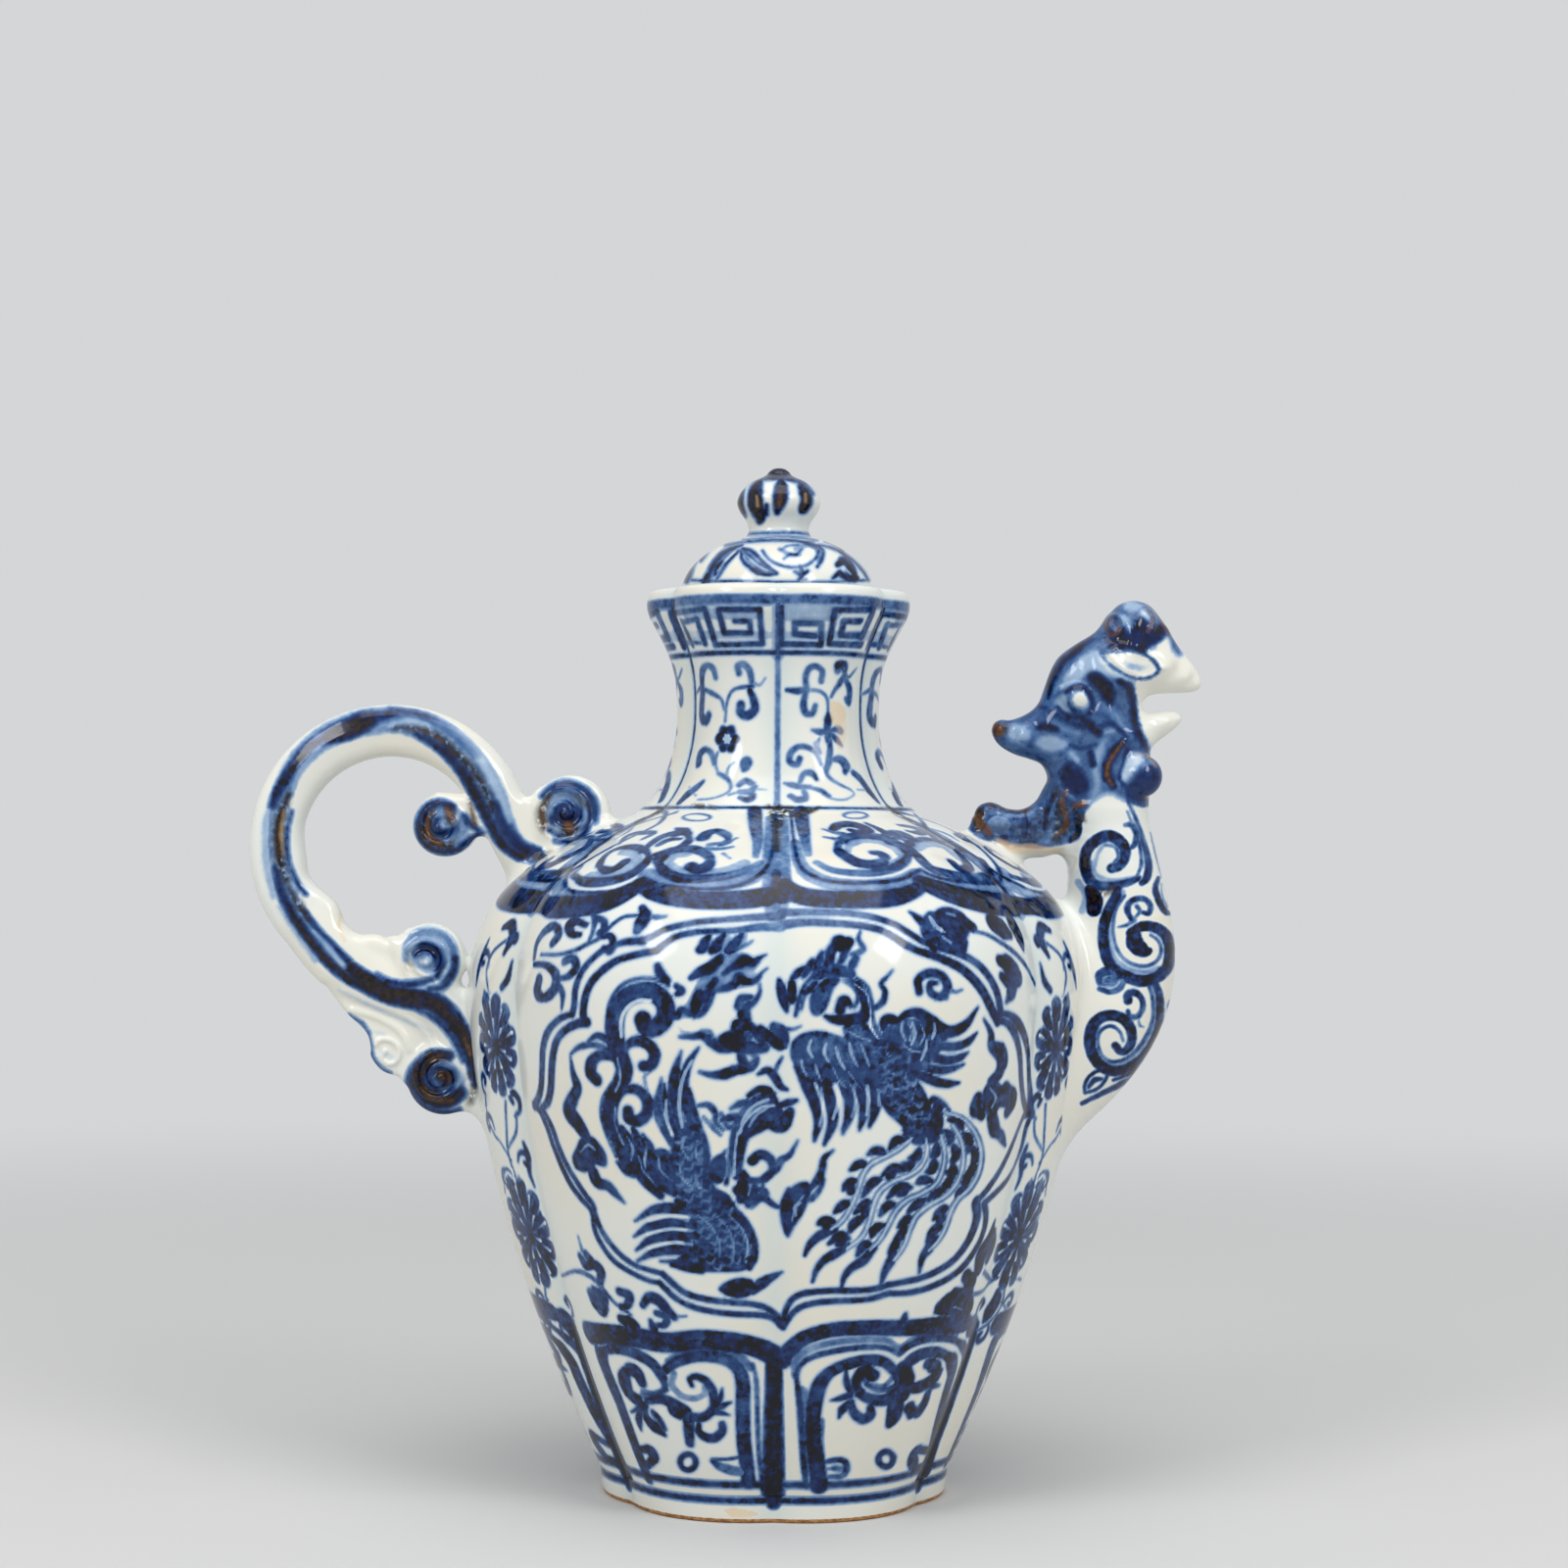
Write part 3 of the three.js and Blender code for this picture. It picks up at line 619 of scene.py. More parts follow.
# Knob: a bud on a narrow neck
knobSeam, knobNeck, knobRadius = lid["knobSeam"], lid["knobNeck"], lid["knobRadius"]
knobFoot, knobRise = domeTop[1] - lid["knobFoot"], lid["knobTop"] - domeTop[1]
knobCurve = [  # radius, share of the rise
    (knobNeck + 0.05, 0.075), (knobNeck, 0.15), (knobNeck + 0.9, 0.25), (knobRadius - 0.75, 0.38),
    (knobRadius, 0.51), (knobRadius - 1.3, 0.66), (0.66 * knobRadius, 0.79), (0.4 * knobRadius, 0.865),
    (0.3 * knobRadius, 0.9), (0.24 * knobRadius, 0.945), (0.14 * knobRadius, 0.985), (0.3, 1),
]
knobLine = smoothLine([
    (knobSeam + 2.2, domeTop[1] - 1.6), (knobSeam + 0.1, domeTop[1] - 0.2),
    *[(radius, domeTop[1] + share * knobRise) for radius, share in knobCurve]], 10)
knobRows = evenRows(np.vstack([[[1, knobFoot], [knobSeam, knobFoot]], knobLine]), lid["steps"]["knob"])
lidKnob, knobCorners = lathe("lid_bud", knobRows, lid["columns"]["knob"])
print("lid made")

# Spout, bridge and head, as one fused skin. Outlines are in the photograph's pixels.

spout = {
    "axis": [(68.1, 116.9, 19.0), (88, 129, 17.3), (101.6, 146, 16.6), (106, 165, 15.8),
             (102.8, 190, 13.9), (100.6, 207, 12.2), (99.6, 222, 11.6)],  # x, height, radius
    "bridgeDepth": 4.6,
    "fillets": {"bridge": 2.5, "lump": 1.6, "tube": 3, "vessel": 9},
    "box": ((52, -29, 100), (130.5, 29, 273)),
    "step": 0.5,
}
headOutline = [
    (1156, 613), (1171, 617), (1181, 627), (1191, 642), (1204, 662), (1219, 681), (1225.5, 695),
    (1223, 703), (1214, 706.5), (1197, 707.5), (1183, 708), (1171, 711), (1165, 719), (1171, 727),
    (1184, 726), (1197, 726), (1205, 731), (1204, 738), (1193, 748), (1181, 757), (1174, 766),
    (1174, 780), (1172, 810), (1168, 830), (1160, 850), (1120, 860), (1085, 850), (1066, 826),
    (1067, 806), (1069, 795), (1063, 781), (1051, 775), (1034, 769.5), (1019, 760), (1012, 748),
    (1014, 738.5), (1021, 734.5), (1032, 734.5), (1048, 728), (1059, 718), (1065, 703), (1072, 684),
    (1081, 669.5), (1098, 657), (1117, 645), (1129, 630), (1141, 617.5),
]
headDepths = [  # pixel, half depth
    (1156, 636, 10.5), (1130, 690, 12), (1182, 680, 8.5), (1203, 690, 5.5), (1219, 699, 3),
    (1170, 725, 6.5), (1186, 738, 5), (1201, 733, 3), (1120, 740, 12), (1150, 760, 11),
    (1135, 800, 11), (1130, 840, 11.8), (1078, 742, 8.5), (1050, 752, 6.5), (1024, 750, 4),
    (1088, 800, 9.5), (1084, 690, 9.5), (1075, 845, 8),
]
bridgeOutline = [
    (1085, 790), (1067, 803), (1056, 818), (1043, 825.5), (1028, 825), (1017, 820), (1008, 818.5),
    (998, 823), (993.5, 834), (996, 846), (1006, 856), (1026, 866), (1046, 871), (1064, 874),
    (1080, 872), (1100, 880), (1120, 860), (1115, 820),
]
lumps = {  # pixel, place across as a share of half depth, half sizes
    "bead": ((1161.5, 792.5), 7.2, (6.5, 6.0, 6.5)),
    "ear": ((1097.5, 712.5), 8.6, (4.9, 4.3, 4.6)),
}
headReliefs = [  # pixel path, width, rise: ridges and hollows pressed into both sides of the head
    ([(1143, 760), (1137, 770), (1133, 782), (1133, 794), (1137, 804)], 1.1, 1.0),
    ([(1149, 766), (1143, 778), (1143, 792), (1148, 802)], 0.9, -0.7),
    ([(1134, 646), (1129, 639), (1132, 630), (1140, 631), (1143, 640), (1138, 647)], 0.8, 0.9),
    ([(1166, 622), (1173, 628), (1175, 637), (1172, 645)], 0.9, 0.9),
    ([(1183, 637), (1189, 643), (1191, 649)], 0.9, 0.6),
    ([(1127, 650), (1136, 661), (1146, 667)], 1.0, -0.5),
    ([(1151, 640), (1152, 652), (1150, 664)], 0.8, -0.5),
    ([(1164, 645), (1166, 656), (1164, 667)], 0.8, -0.5),
    ([(1126, 667), (1138, 661), (1156, 663), (1172, 671), (1183, 683)], 1.1, 0.7),
    ([(1126, 667), (1136, 679), (1150, 688), (1166, 692), (1183, 684)], 0.8, 0.5),
    ([(1083, 700), (1089, 697), (1101, 699), (1112, 707), (1116, 716), (1112, 726)], 0.9, -0.6),
    ([(1085, 812), (1094, 820), (1089, 832), (1077, 846)], 0.9, 0.8),
    ([(1099, 822), (1108, 822)], 1.2, 0.7),
]


def depthMap(x, z, marks):
    # Half depths between marks, each weighed by one over its distance to the fourth power.
    nearness = 3  # square millimetres that keep a mark from counting for all close to it
    places = sidePlane([mark[:2] for mark in marks])
    total, weights = 0, 0
    for place, mark in zip(places, marks):
        weight = 1 / ((x - place[0]) ** 2 + (z - place[1]) ** 2 + nearness) ** 2
        total = total + weight * mark[2]
        weights = weights + weight
    return total / weights


def pressed(x, z, reliefs):
    # The rise of ridges pressed along pixel paths: each falls off as a bell from its path.
    rise = 0
    for path, width, height in reliefs:
        line = smoothLine(sidePlane(path), 5)
        gap, _ = nearestOnLine(x, z, line, np.zeros(len(line)))
        rise = rise + height * np.exp(-(gap / width) ** 2)
    return rise


def sideEdge(outline):
    # A smooth closed edge in the side plane through the pixels of an outline.
    return smoothLine(sidePlane(outline), 4, closed=True)


def sideDisc(x, z, pixel, radius):
    # The distance to a disc round a pixel's place in the side plane, and that place.
    centre = sidePlane([pixel])[0]
    return np.hypot(x - centre[0], z - centre[1]) - radius, centre


join = {
    "sink": 0.25,  # the vessel's face is taken this much lower
    "reach": 1.05,  # flares from the shape within which its fillet is kept
    "depth": 1.2,  # behind the face, where the shape is cut off
}


def joinVessel(shape, x, y, z, flare):
    # A shape fused with the vessel's face over a flare. Only what lies near the shape is kept, and it
    # is cut off just behind the face.
    wall = vesselGap(x, y, z)
    joined = fuse(shape, wall + join["sink"], flare)
    near = np.maximum(joined, shape - join["reach"] * flare)
    return np.maximum(near, -wall - join["depth"])


headEdge = sideEdge(headOutline)
bridgeEdge = sideEdge(bridgeOutline)
spoutLine = smoothLine(spout["axis"], 6)


def spoutField(x, y, z):
    # The spout's tube, the head as a rounded plate of changing depth, the bridge and the lumps, fused
    # with one another and with the vessel's face.
    fillets = spout["fillets"]
    gap, radius = nearestOnLine(x, z, spoutLine[:, :2], spoutLine[:, 2])
    tube = np.hypot(gap, y) - radius
    half = depthMap(x, z, headDepths)
    head = roundedPlate(outlineGap(x, z, headEdge), y, half, half) - pressed(x, z, headReliefs)
    bridge = roundedPlate(outlineGap(x, z, bridgeEdge), y, spout["bridgeDepth"], spout["bridgeDepth"])
    shape = fuse(head, bridge, fillets["bridge"])
    for pixel, across, sizes in lumps.values():
        centre = sidePlane([pixel])[0]
        lump = ball(x, np.abs(y), z, (centre[0], across, centre[1]), sizes)
        shape = fuse(shape, lump, fillets["lump"])
    shape = fuse(shape, tube, fillets["tube"])
    return joinVessel(shape, x, y, z, fillets["vessel"])


spoutCorners, spoutQuads = skinOf(spoutField, *spout["box"], spout["step"])
spoutPiece = putMesh("spout_and_head", spoutCorners, spoutQuads)
print("spout and head made:", len(spoutQuads), "faces")

# Handle, as one fused skin

loopCentre = sidePlane([(399.5, 867)])[0]
handle = {
    "loopRadius": 35.4,
    "halfWidth": 8,
    "rib": (5.4, 1.3, 3.4),  # the strap's half depth, the rib's rise on it and the rib's half width
    "scrollDepth": 6.6,  # this and the next four are half depths
    "rimDepth": 5.2,
    "flangeDepth": 4.4,
    "webDepth": 4.6,
    "leafDepth": 3.2,
    "edges": {"strap": 4.6, "scroll": 2.2, "rim": 2.6, "flange": 3.4, "web": 2.4, "leaf": 1.8},
    "fillets": {"scroll": 1.2, "rim": 2.5, "flange": 2.5, "web": 2.2, "leaf": 2, "vessel": 5},
    "box": ((-163, -9.5, 104), (-44, 9.5, 241.5)),
    "step": 0.6,
}
arc = np.radians(np.linspace(28, 224, 22))  # the loop's round stretch
strapPlaces = np.vstack([  # in loop radii from the loop's centre
    [(1.5, -0.68), (1.23, -0.2), (1.05, 0.14)],
    np.c_[np.cos(arc), np.sin(arc) + 0.03],
    [(-0.45, -0.95), (-0.13, -1.13), (0.21, -1.27), (0.46, -1.42), (0.61, -1.66), (0.7, -1.93),
     (1.0, -2.3)],
])
# The strap's half width at those places, as shares of its full half width
strapShares = np.r_[0.95, 0.93, 0.93, np.ones(len(arc)), 1.1, 1, 0.88, 0.81, 0.75, 0.72, 0.7]
strapLine = smoothLine(np.c_[loopCentre + handle["loopRadius"] * strapPlaces,
                             handle["halfWidth"] * strapShares], 3)
scrolls = {  # pixel centre, radius, turn direction, angle of the strap's side; its rim's centre and radius
    "upperOuter": ((577.5, 830), 9.3, -1, 230, (583, 832), 12.2),
    "upperInner": ((452.5, 843), 8.2, 1, 20, (455, 841.5), 9.8),
    "lowerInner": ((437.5, 980), 7.8, -1, 235, (439, 977), 10.6),
    "lowerOuter": ((451, 1098), 9.2, 1, 45, (454, 1099), 11.2),
}
webOutlines = [  # pixel corners of the webs that join the scrolls to the strap and the body
    [(512, 790), (524, 806), (534, 814), (543, 812), (556, 806), (590, 830), (625, 846), (640, 880),
     (600, 900), (550, 870), (515, 830)],
    [(448, 812), (456, 815), (480, 815), (500, 850), (478, 850), (462, 832)],
    [(398, 962), (414, 960), (440, 1000), (462, 985), (470, 1006), (482, 1016), (510, 1016), (512, 1040),
     (480, 1050), (430, 1020)],
    [(470, 1050), (500, 1040), (512, 1130), (470, 1130), (460, 1095)],
]
flangeOutline = [  # the wavy inner flange of the lower loop
    (300, 830), (311, 870), (313, 892), (322, 903), (340, 918), (347, 928), (352, 944), (364, 953),
    (384, 953), (396, 957), (408, 957), (420, 950), (432, 990), (400, 1000), (350, 975), (300, 920),
    (280, 870),
]
leafOutline = [
    (338, 1005), (346, 1022), (357, 1036), (368, 1046), (376, 1056), (379, 1068), (379, 1077), (386, 1088),
    (394, 1094), (406, 1098), (418, 1106), (432, 1100), (470, 1060), (478, 1030), (455, 1015), (420, 1005),
    (380, 990), (352, 978),
]
leafReliefs = [  # pixel path, width, rise
    ([(352, 1010), (380, 1022), (412, 1034), (436, 1052), (446, 1068)], 1.3, 1.1),
    ([(362, 1030), (388, 1038), (410, 1052), (420, 1070)], 1.2, 0.8),
    ([(383, 1066), (391, 1060), (402, 1062), (409, 1071), (406, 1082), (397, 1085), (391, 1079),
      (394, 1072)],
     0.8, 0.9),
]
webEdges = [sideEdge(outline) for outline in webOutlines]
flangeEdge = sideEdge(flangeOutline)
leafEdge = sideEdge(leafOutline)


spiral = {
    "spacing": 0.5,  # radii from ridge to ridge
    "rise": 0.9,
    "sink": 0.6,
    "rim": 1.2,  # mm over which it fades out at the rim
    "boss": 0.2,  # radii
}


def spiralRise(x, z, centre, radius, sense, start):
    # A rolled scroll's relief: a ridge that winds in. The phase is the distance from the centre in
    # ridge spacings, plus the angle in turns, and the rise is its cosine. It fades out at the rim and
    # gives way to a round boss in the middle.
    dx, dz = x - centre[0], z - centre[1]
    distance = np.hypot(dx, dz)
    turns = sense * (np.arctan2(dz, dx) - math.radians(start)) / (2 * math.pi)
    phase = distance / (radius * spiral["spacing"]) + turns
    rim = np.clip((radius - distance) / spiral["rim"], 0, 1)
    boss = np.exp(-(distance / (spiral["boss"] * radius)) ** 2)
    return rim * (1 - boss) * (spiral["rise"] * np.cos(2 * math.pi * phase) - spiral["sink"]) + boss


def handleField(x, y, z):
    # The strap with its raised rib, the flange, webs, leaf and scrolls, fused with one another and
    # with the vessel's face.
    edges, fillets = handle["edges"], handle["fillets"]
    gap, width = nearestOnLine(x, z, strapLine[:, :2], strapLine[:, 2])
    base, rise, ribWidth = handle["rib"]
    shape = roundedPlate(gap - width, y, base + rise * np.exp(-(gap / ribWidth) ** 2), edges["strap"])
    flange = roundedPlate(outlineGap(x, z, flangeEdge), y, handle["flangeDepth"], edges["flange"])
    shape = fuse(shape, flange, fillets["flange"])
    for edge in webEdges:
        web = roundedPlate(outlineGap(x, z, edge), y, handle["webDepth"], edges["web"])
        shape = fuse(shape, web, fillets["web"])
    leaf = roundedPlate(outlineGap(x, z, leafEdge), y, handle["leafDepth"], edges["leaf"])
    shape = fuse(shape, leaf - pressed(x, z, leafReliefs), fillets["leaf"])
    for pixel, radius, sense, start, rimPixel, rimRadius in scrolls.values():
        disc, _ = sideDisc(x, z, rimPixel, rimRadius)
        shape = fuse(shape, roundedPlate(disc, y, handle["rimDepth"], edges["rim"]), fillets["rim"])
        disc, centre = sideDisc(x, z, pixel, radius)
        half = handle["scrollDepth"] + spiralRise(x, z, centre, radius, sense, start)
        shape = fuse(shape, roundedPlate(disc, y, half, edges["scroll"]), fillets["scroll"])
    return joinVessel(shape, x, y, z, fillets["vessel"])


handleCorners, handleQuads = skinOf(handleField, *handle["box"], handle["step"])
handlePiece = putMesh("handle_loop", handleCorners, handleQuads)
print("handle made:", len(handleQuads), "faces")

# Painting. A drawing is a list of brush strokes: width in pixels, strength, and x, y, x, y... in the
# photograph's pixels. A few widths or strengths are spread evenly along the stroke.

brush = {
    "pixel": 0.28,  # mm of the vessel's face to a pixel
    "sidePixel": 0.3,  # mm to a pixel half way through the ewer
    "swelling": 0.1,  # mm that cobalt swells beyond each edge of a stroke
    "widths": (0.9, 1.9),  # the least and the most, over the width that the pixels alone give
    "aside": 1.25,  # how much wider than high the window round a stroke is
    "grooveStep": 2,  # mm
    "reach": 1.3,  # mm beyond a stroke's edge that still gets a distance
    "sideReach": 10,  # the same in pixels, for what is drawn flat from the side
    "strokeSteps": 5,  # between two points of a stroke
    "straightSteps": 8,  # between two points of a stroke with sharp corners
    "blotSteps": 4,
    "stretches": 6,  # of a path that are laid at a time
    "unevenness": 0.12,  # how much strength changes from stroke to stroke
    "softBelow": 828,  # the row below which the spout's strokes have plain edges
    "softRows": 12,  # rows over which they get plain
    "far": 9.0,
}
layerNames = ["wash", "line", "lift", "over", "iron", "amber"]


def spread(values, count):
    # A few numbers spread evenly along a path.
    values = np.atleast_1d(np.asarray(values, float))
    return np.interp(np.linspace(0, 1, count), np.linspace(0, 1, len(values)), values)


def gapToPath(points, places, half, tones):
    # The least distance less half width from points to a path of places, and the strength there.
    start, step = places[:-1], np.diff(places, axis=0)
    away = points[..., None, :] - start
    share = np.clip((away * step).sum(-1) / np.maximum((step ** 2).sum(-1), tiny), 0, 1)
    gap = np.sqrt(((away - share[..., None] * step) ** 2).sum(-1)) - half[:-1] - share * np.diff(half)
    nearest = gap.argmin(-1)[..., None]
    tone = np.take_along_axis(tones[:-1] + share * np.diff(tones), nearest, -1)[..., 0]
    return np.take_along_axis(gap, nearest, -1)[..., 0], tone


def gapToOutline(points, places, x, y, corners):
    # The distance from points to the places of a closed outline. It is negative where a level line
    # from x and y crosses the outline's corners an odd number of times.
    zeros = np.zeros(len(places))
    gap, _ = gapToPath(points, places, zeros, zeros)
    inside = np.zeros(gap.shape, bool)
    for (a, h), (b, k) in zip(corners[:-1], corners[1:]):
        slant = (b - a) / (k - h) if k != h else 0.0
        inside ^= ((h > y) != (k > y)) & (x < a + (y - h) * slant)
    return np.where(inside, -gap, gap)


def stretchesOf(path):
    # A path's parts, of a few stretches each.
    size = brush["stretches"]
    return [slice(first, first + size + 1) for first in range(0, len(path) - 1, size)]


class Layers:
    # A distance and a strength for each layer, at every corner of a face.
    def __init__(self, shape, kind):
        self.gaps = {name: np.full(shape, brush["far"], kind) for name in layerNames}
        self.tones = {name: np.zeros(shape, kind) for name in layerNames}

    def lay(self, layer, chosen, gap, tone):
        # The nearer stroke wins.
        nearer = gap < self.gaps[layer][chosen]
        self.gaps[layer][chosen] = np.where(nearer, gap, self.gaps[layer][chosen])
        self.tones[layer][chosen] = np.where(nearer, tone, self.tones[layer][chosen])

    def flat(self, rows=slice(None)):
        # Every layer as flat numbers for some rows of corners, or for all.
        paint = {name: gaps[rows].ravel() for name, gaps in self.gaps.items()}
        paint.update({name + "Tone": tones[rows].ravel() for name, tones in self.tones.items()})
        return paint


class Canvas(Layers):
    # A painted face as a grid of angles and heights.
    def __init__(self, corners):
        self.corners = np.asarray(corners, np.float32)
        self.heights = self.corners[:, 0, 2]
        self.count = self.corners.shape[1]
        self.turn = 2 * math.pi / self.count
        self.radii = np.hypot(self.corners[..., 0], self.corners[..., 1]).min(1)
        super().__init__(self.corners.shape[:2], np.float32)

    def window(self, path, margin):
        # The rows and columns within a margin of a path, and the columns' angles, not wrapped.
        low, high = path[:, 1].min() - margin, path[:, 1].max() + margin
        rows = np.flatnonzero((self.heights > low) & (self.heights < high))
        if len(rows) == 0:
            return rows, rows, rows
        aside = brush["aside"] * margin / self.radii[rows].min()
        first = math.floor((path[:, 0].min() - aside + math.pi) / self.turn)
        last = math.ceil((path[:, 0].max() + aside + math.pi) / self.turn)
        columns = np.arange(first, min(last, first + self.count - 1) + 1)
        return rows, columns % self.count, columns * self.turn - math.pi

    def stroke(self, layer, path, half, tones):
        # A few stretches of the path at a time, each in its own small window.
        places = onVessel(path[:, 0], path[:, 1])
        for part in stretchesOf(path):
            rows, columns, _ = self.window(path[part], half[part].max() + brush["reach"])
            if len(rows) == 0:
                continue
            grid = np.ix_(rows, columns)
            gap, tone = gapToPath(self.corners[grid], places[part], half[part], tones[part])
            self.lay(layer, grid, gap, tone)

    def blot(self, layer, path, tone):
        # A filled outline.
        rows, columns, angles = self.window(path, brush["reach"])
        if len(rows) == 0:
            return
        grid = np.ix_(rows, columns)
        closed = np.vstack([path, path[:1]])
        places = onVessel(closed[:, 0], closed[:, 1])
        heights = self.heights[rows][:, None]
        self.lay(layer, grid, gapToOutline(self.corners[grid], places, angles[None], heights, closed), tone)


def unevenTone(tone, count, stronger=1.0):
    # A stroke's strengths along its path, a little more or less than the drawing says.
    unevenness = stronger * (1 + brush["unevenness"] * (random.random() - 0.5))
    return np.clip(spread(tone, count) * unevenness, 0, 1)


def pixelPaths(strokes, smooth=True, wider=1.0, stronger=1.0):
    # A drawing's strokes as fine paths of angle and height, with half widths and strengths. A half
    # width is half the way between the places where the stroke's two edges meet the face, kept near
    # the width that the pixels alone would give.
    ready = []
    for width, tone, pixels in strokes:
        line = np.reshape(pixels, (-1, 2)).astype(float)
        if smooth:
            line = smoothLine(line, brush["strokeSteps"])
        else:
            count = brush["straightSteps"] * (len(line) - 1) + 1
            line = np.stack([spread(values, count) for values in line.T], -1)
        across = np.gradient(line, axis=0)[:, ::-1] * [1, -1]
        across = across / np.maximum(np.hypot(*across.T), 1e-6)[:, None]
        wide = spread(width, len(line))[:, None] / 2 * wider
        edges = [onVessel(*pixelsOnVessel(line + side * wide * across).T) for side in (1, -1)]
        plain = wide[:, 0] * brush["pixel"]
        least, most = brush["widths"]
        half = np.clip(np.linalg.norm(edges[0] - edges[1], axis=1) / 2, least * plain, most * plain)
        tones = unevenTone(tone, len(line), stronger)
        ready.append((pixelsOnVessel(line), half + brush["swelling"], tones))
    return ready


def turned(path, sense, turn):
    # The same path elsewhere round the vessel; a sense of -1 mirrors it.
    return np.c_[sense * path[:, 0] + turn, path[:, 1]]


def drawStrokes(canvas, strokes, places=((1, 0),), layer="line", smooth=True, wider=1.0, stronger=1.0):
    # Strokes at each place round the vessel, given as sense and turn.
    for path, half, tones in pixelPaths(strokes, smooth, wider, stronger):
        for sense, turn in places:
            canvas.stroke(layer, turned(path, sense, turn), half, tones)


def drawBlots(canvas, blots, places=((1, 0),), layer="line"):
    # Filled shapes: strength and outline.
    for tone, pixels in blots:
        path = smoothLine(pixelsOnVessel(np.reshape(pixels, (-1, 2))), brush["blotSteps"], closed=True)
        for sense, turn in places:
            canvas.blot(layer, turned(path, sense, turn), tone)


def drawRing(canvas, height, half, tone, layer="line"):
    # A level line round the vessel, its distance taken along the outline.
    runs = [runAt(level) + np.minimum(level - outerLine[0, 1], 0) for level in (canvas.heights, height)]
    gap = np.abs(runs[0] - runs[1])[:, None] - half
    gap = np.broadcast_to(gap, canvas.gaps[layer].shape)
    near = np.where(gap < brush["reach"], gap, brush["far"])
    canvas.lay(layer, slice(None), near, tone)


def drawGroove(canvas, low, high, half, tone, layer="line", grooves=range(vessel["lobes"])):
    # A line along the grooves between two heights, by about even steps; half widths in mm are spread
    # from the low to the high end.
    heights = np.linspace(low, high, max(2, int(abs(high - low) / brush["grooveStep"])))
    for groove in grooves:
        path = np.c_[np.full(len(heights), groove * math.pi / 3), heights]
        canvas.stroke(layer, path, spread(half, len(heights)), spread(tone, len(heights)))


def pixelHeight(x, y):
    # The height on the vessel's face that a pixel shows.
    return float(pixelsOnVessel(np.array([[x, y]], float))[0, 1])


def roundPixels(centre, wide, tall, turns):
    # A ring of pixels round a centre, at some angles, as one flat list.
    return np.c_[centre[0] + wide * np.cos(turns), centre[1] + tall * np.sin(turns)].ravel()


bodyCanvas = Canvas(vesselGrid(np.vstack(bodyRows), fullTurn(bodyGrid["columns"])))
neckCanvas = Canvas(vesselGrid(np.vstack([neckOuter, lipOuter]), fullTurn(bodyGrid["neckColumns"])))
footCanvas = Canvas(vesselGrid(footOuter, fullTurn(bodyGrid["footColumns"])))

sixth = math.pi / 3
everyOther = [(1, 0), (1, 2 * sixth), (1, -2 * sixth)]  # a front lobe's drawing, on every other lobe
frontAndBack = [(1, 0), (1, math.pi)]
ringTurns = np.linspace(0, 2 * math.pi, 13)
grooveColumn = 800  # the pixel column of the groove in the middle


def grooveHeight(row):
    # The height of a pixel row on the groove in the middle.
    return pixelHeight(grooveColumn, row)


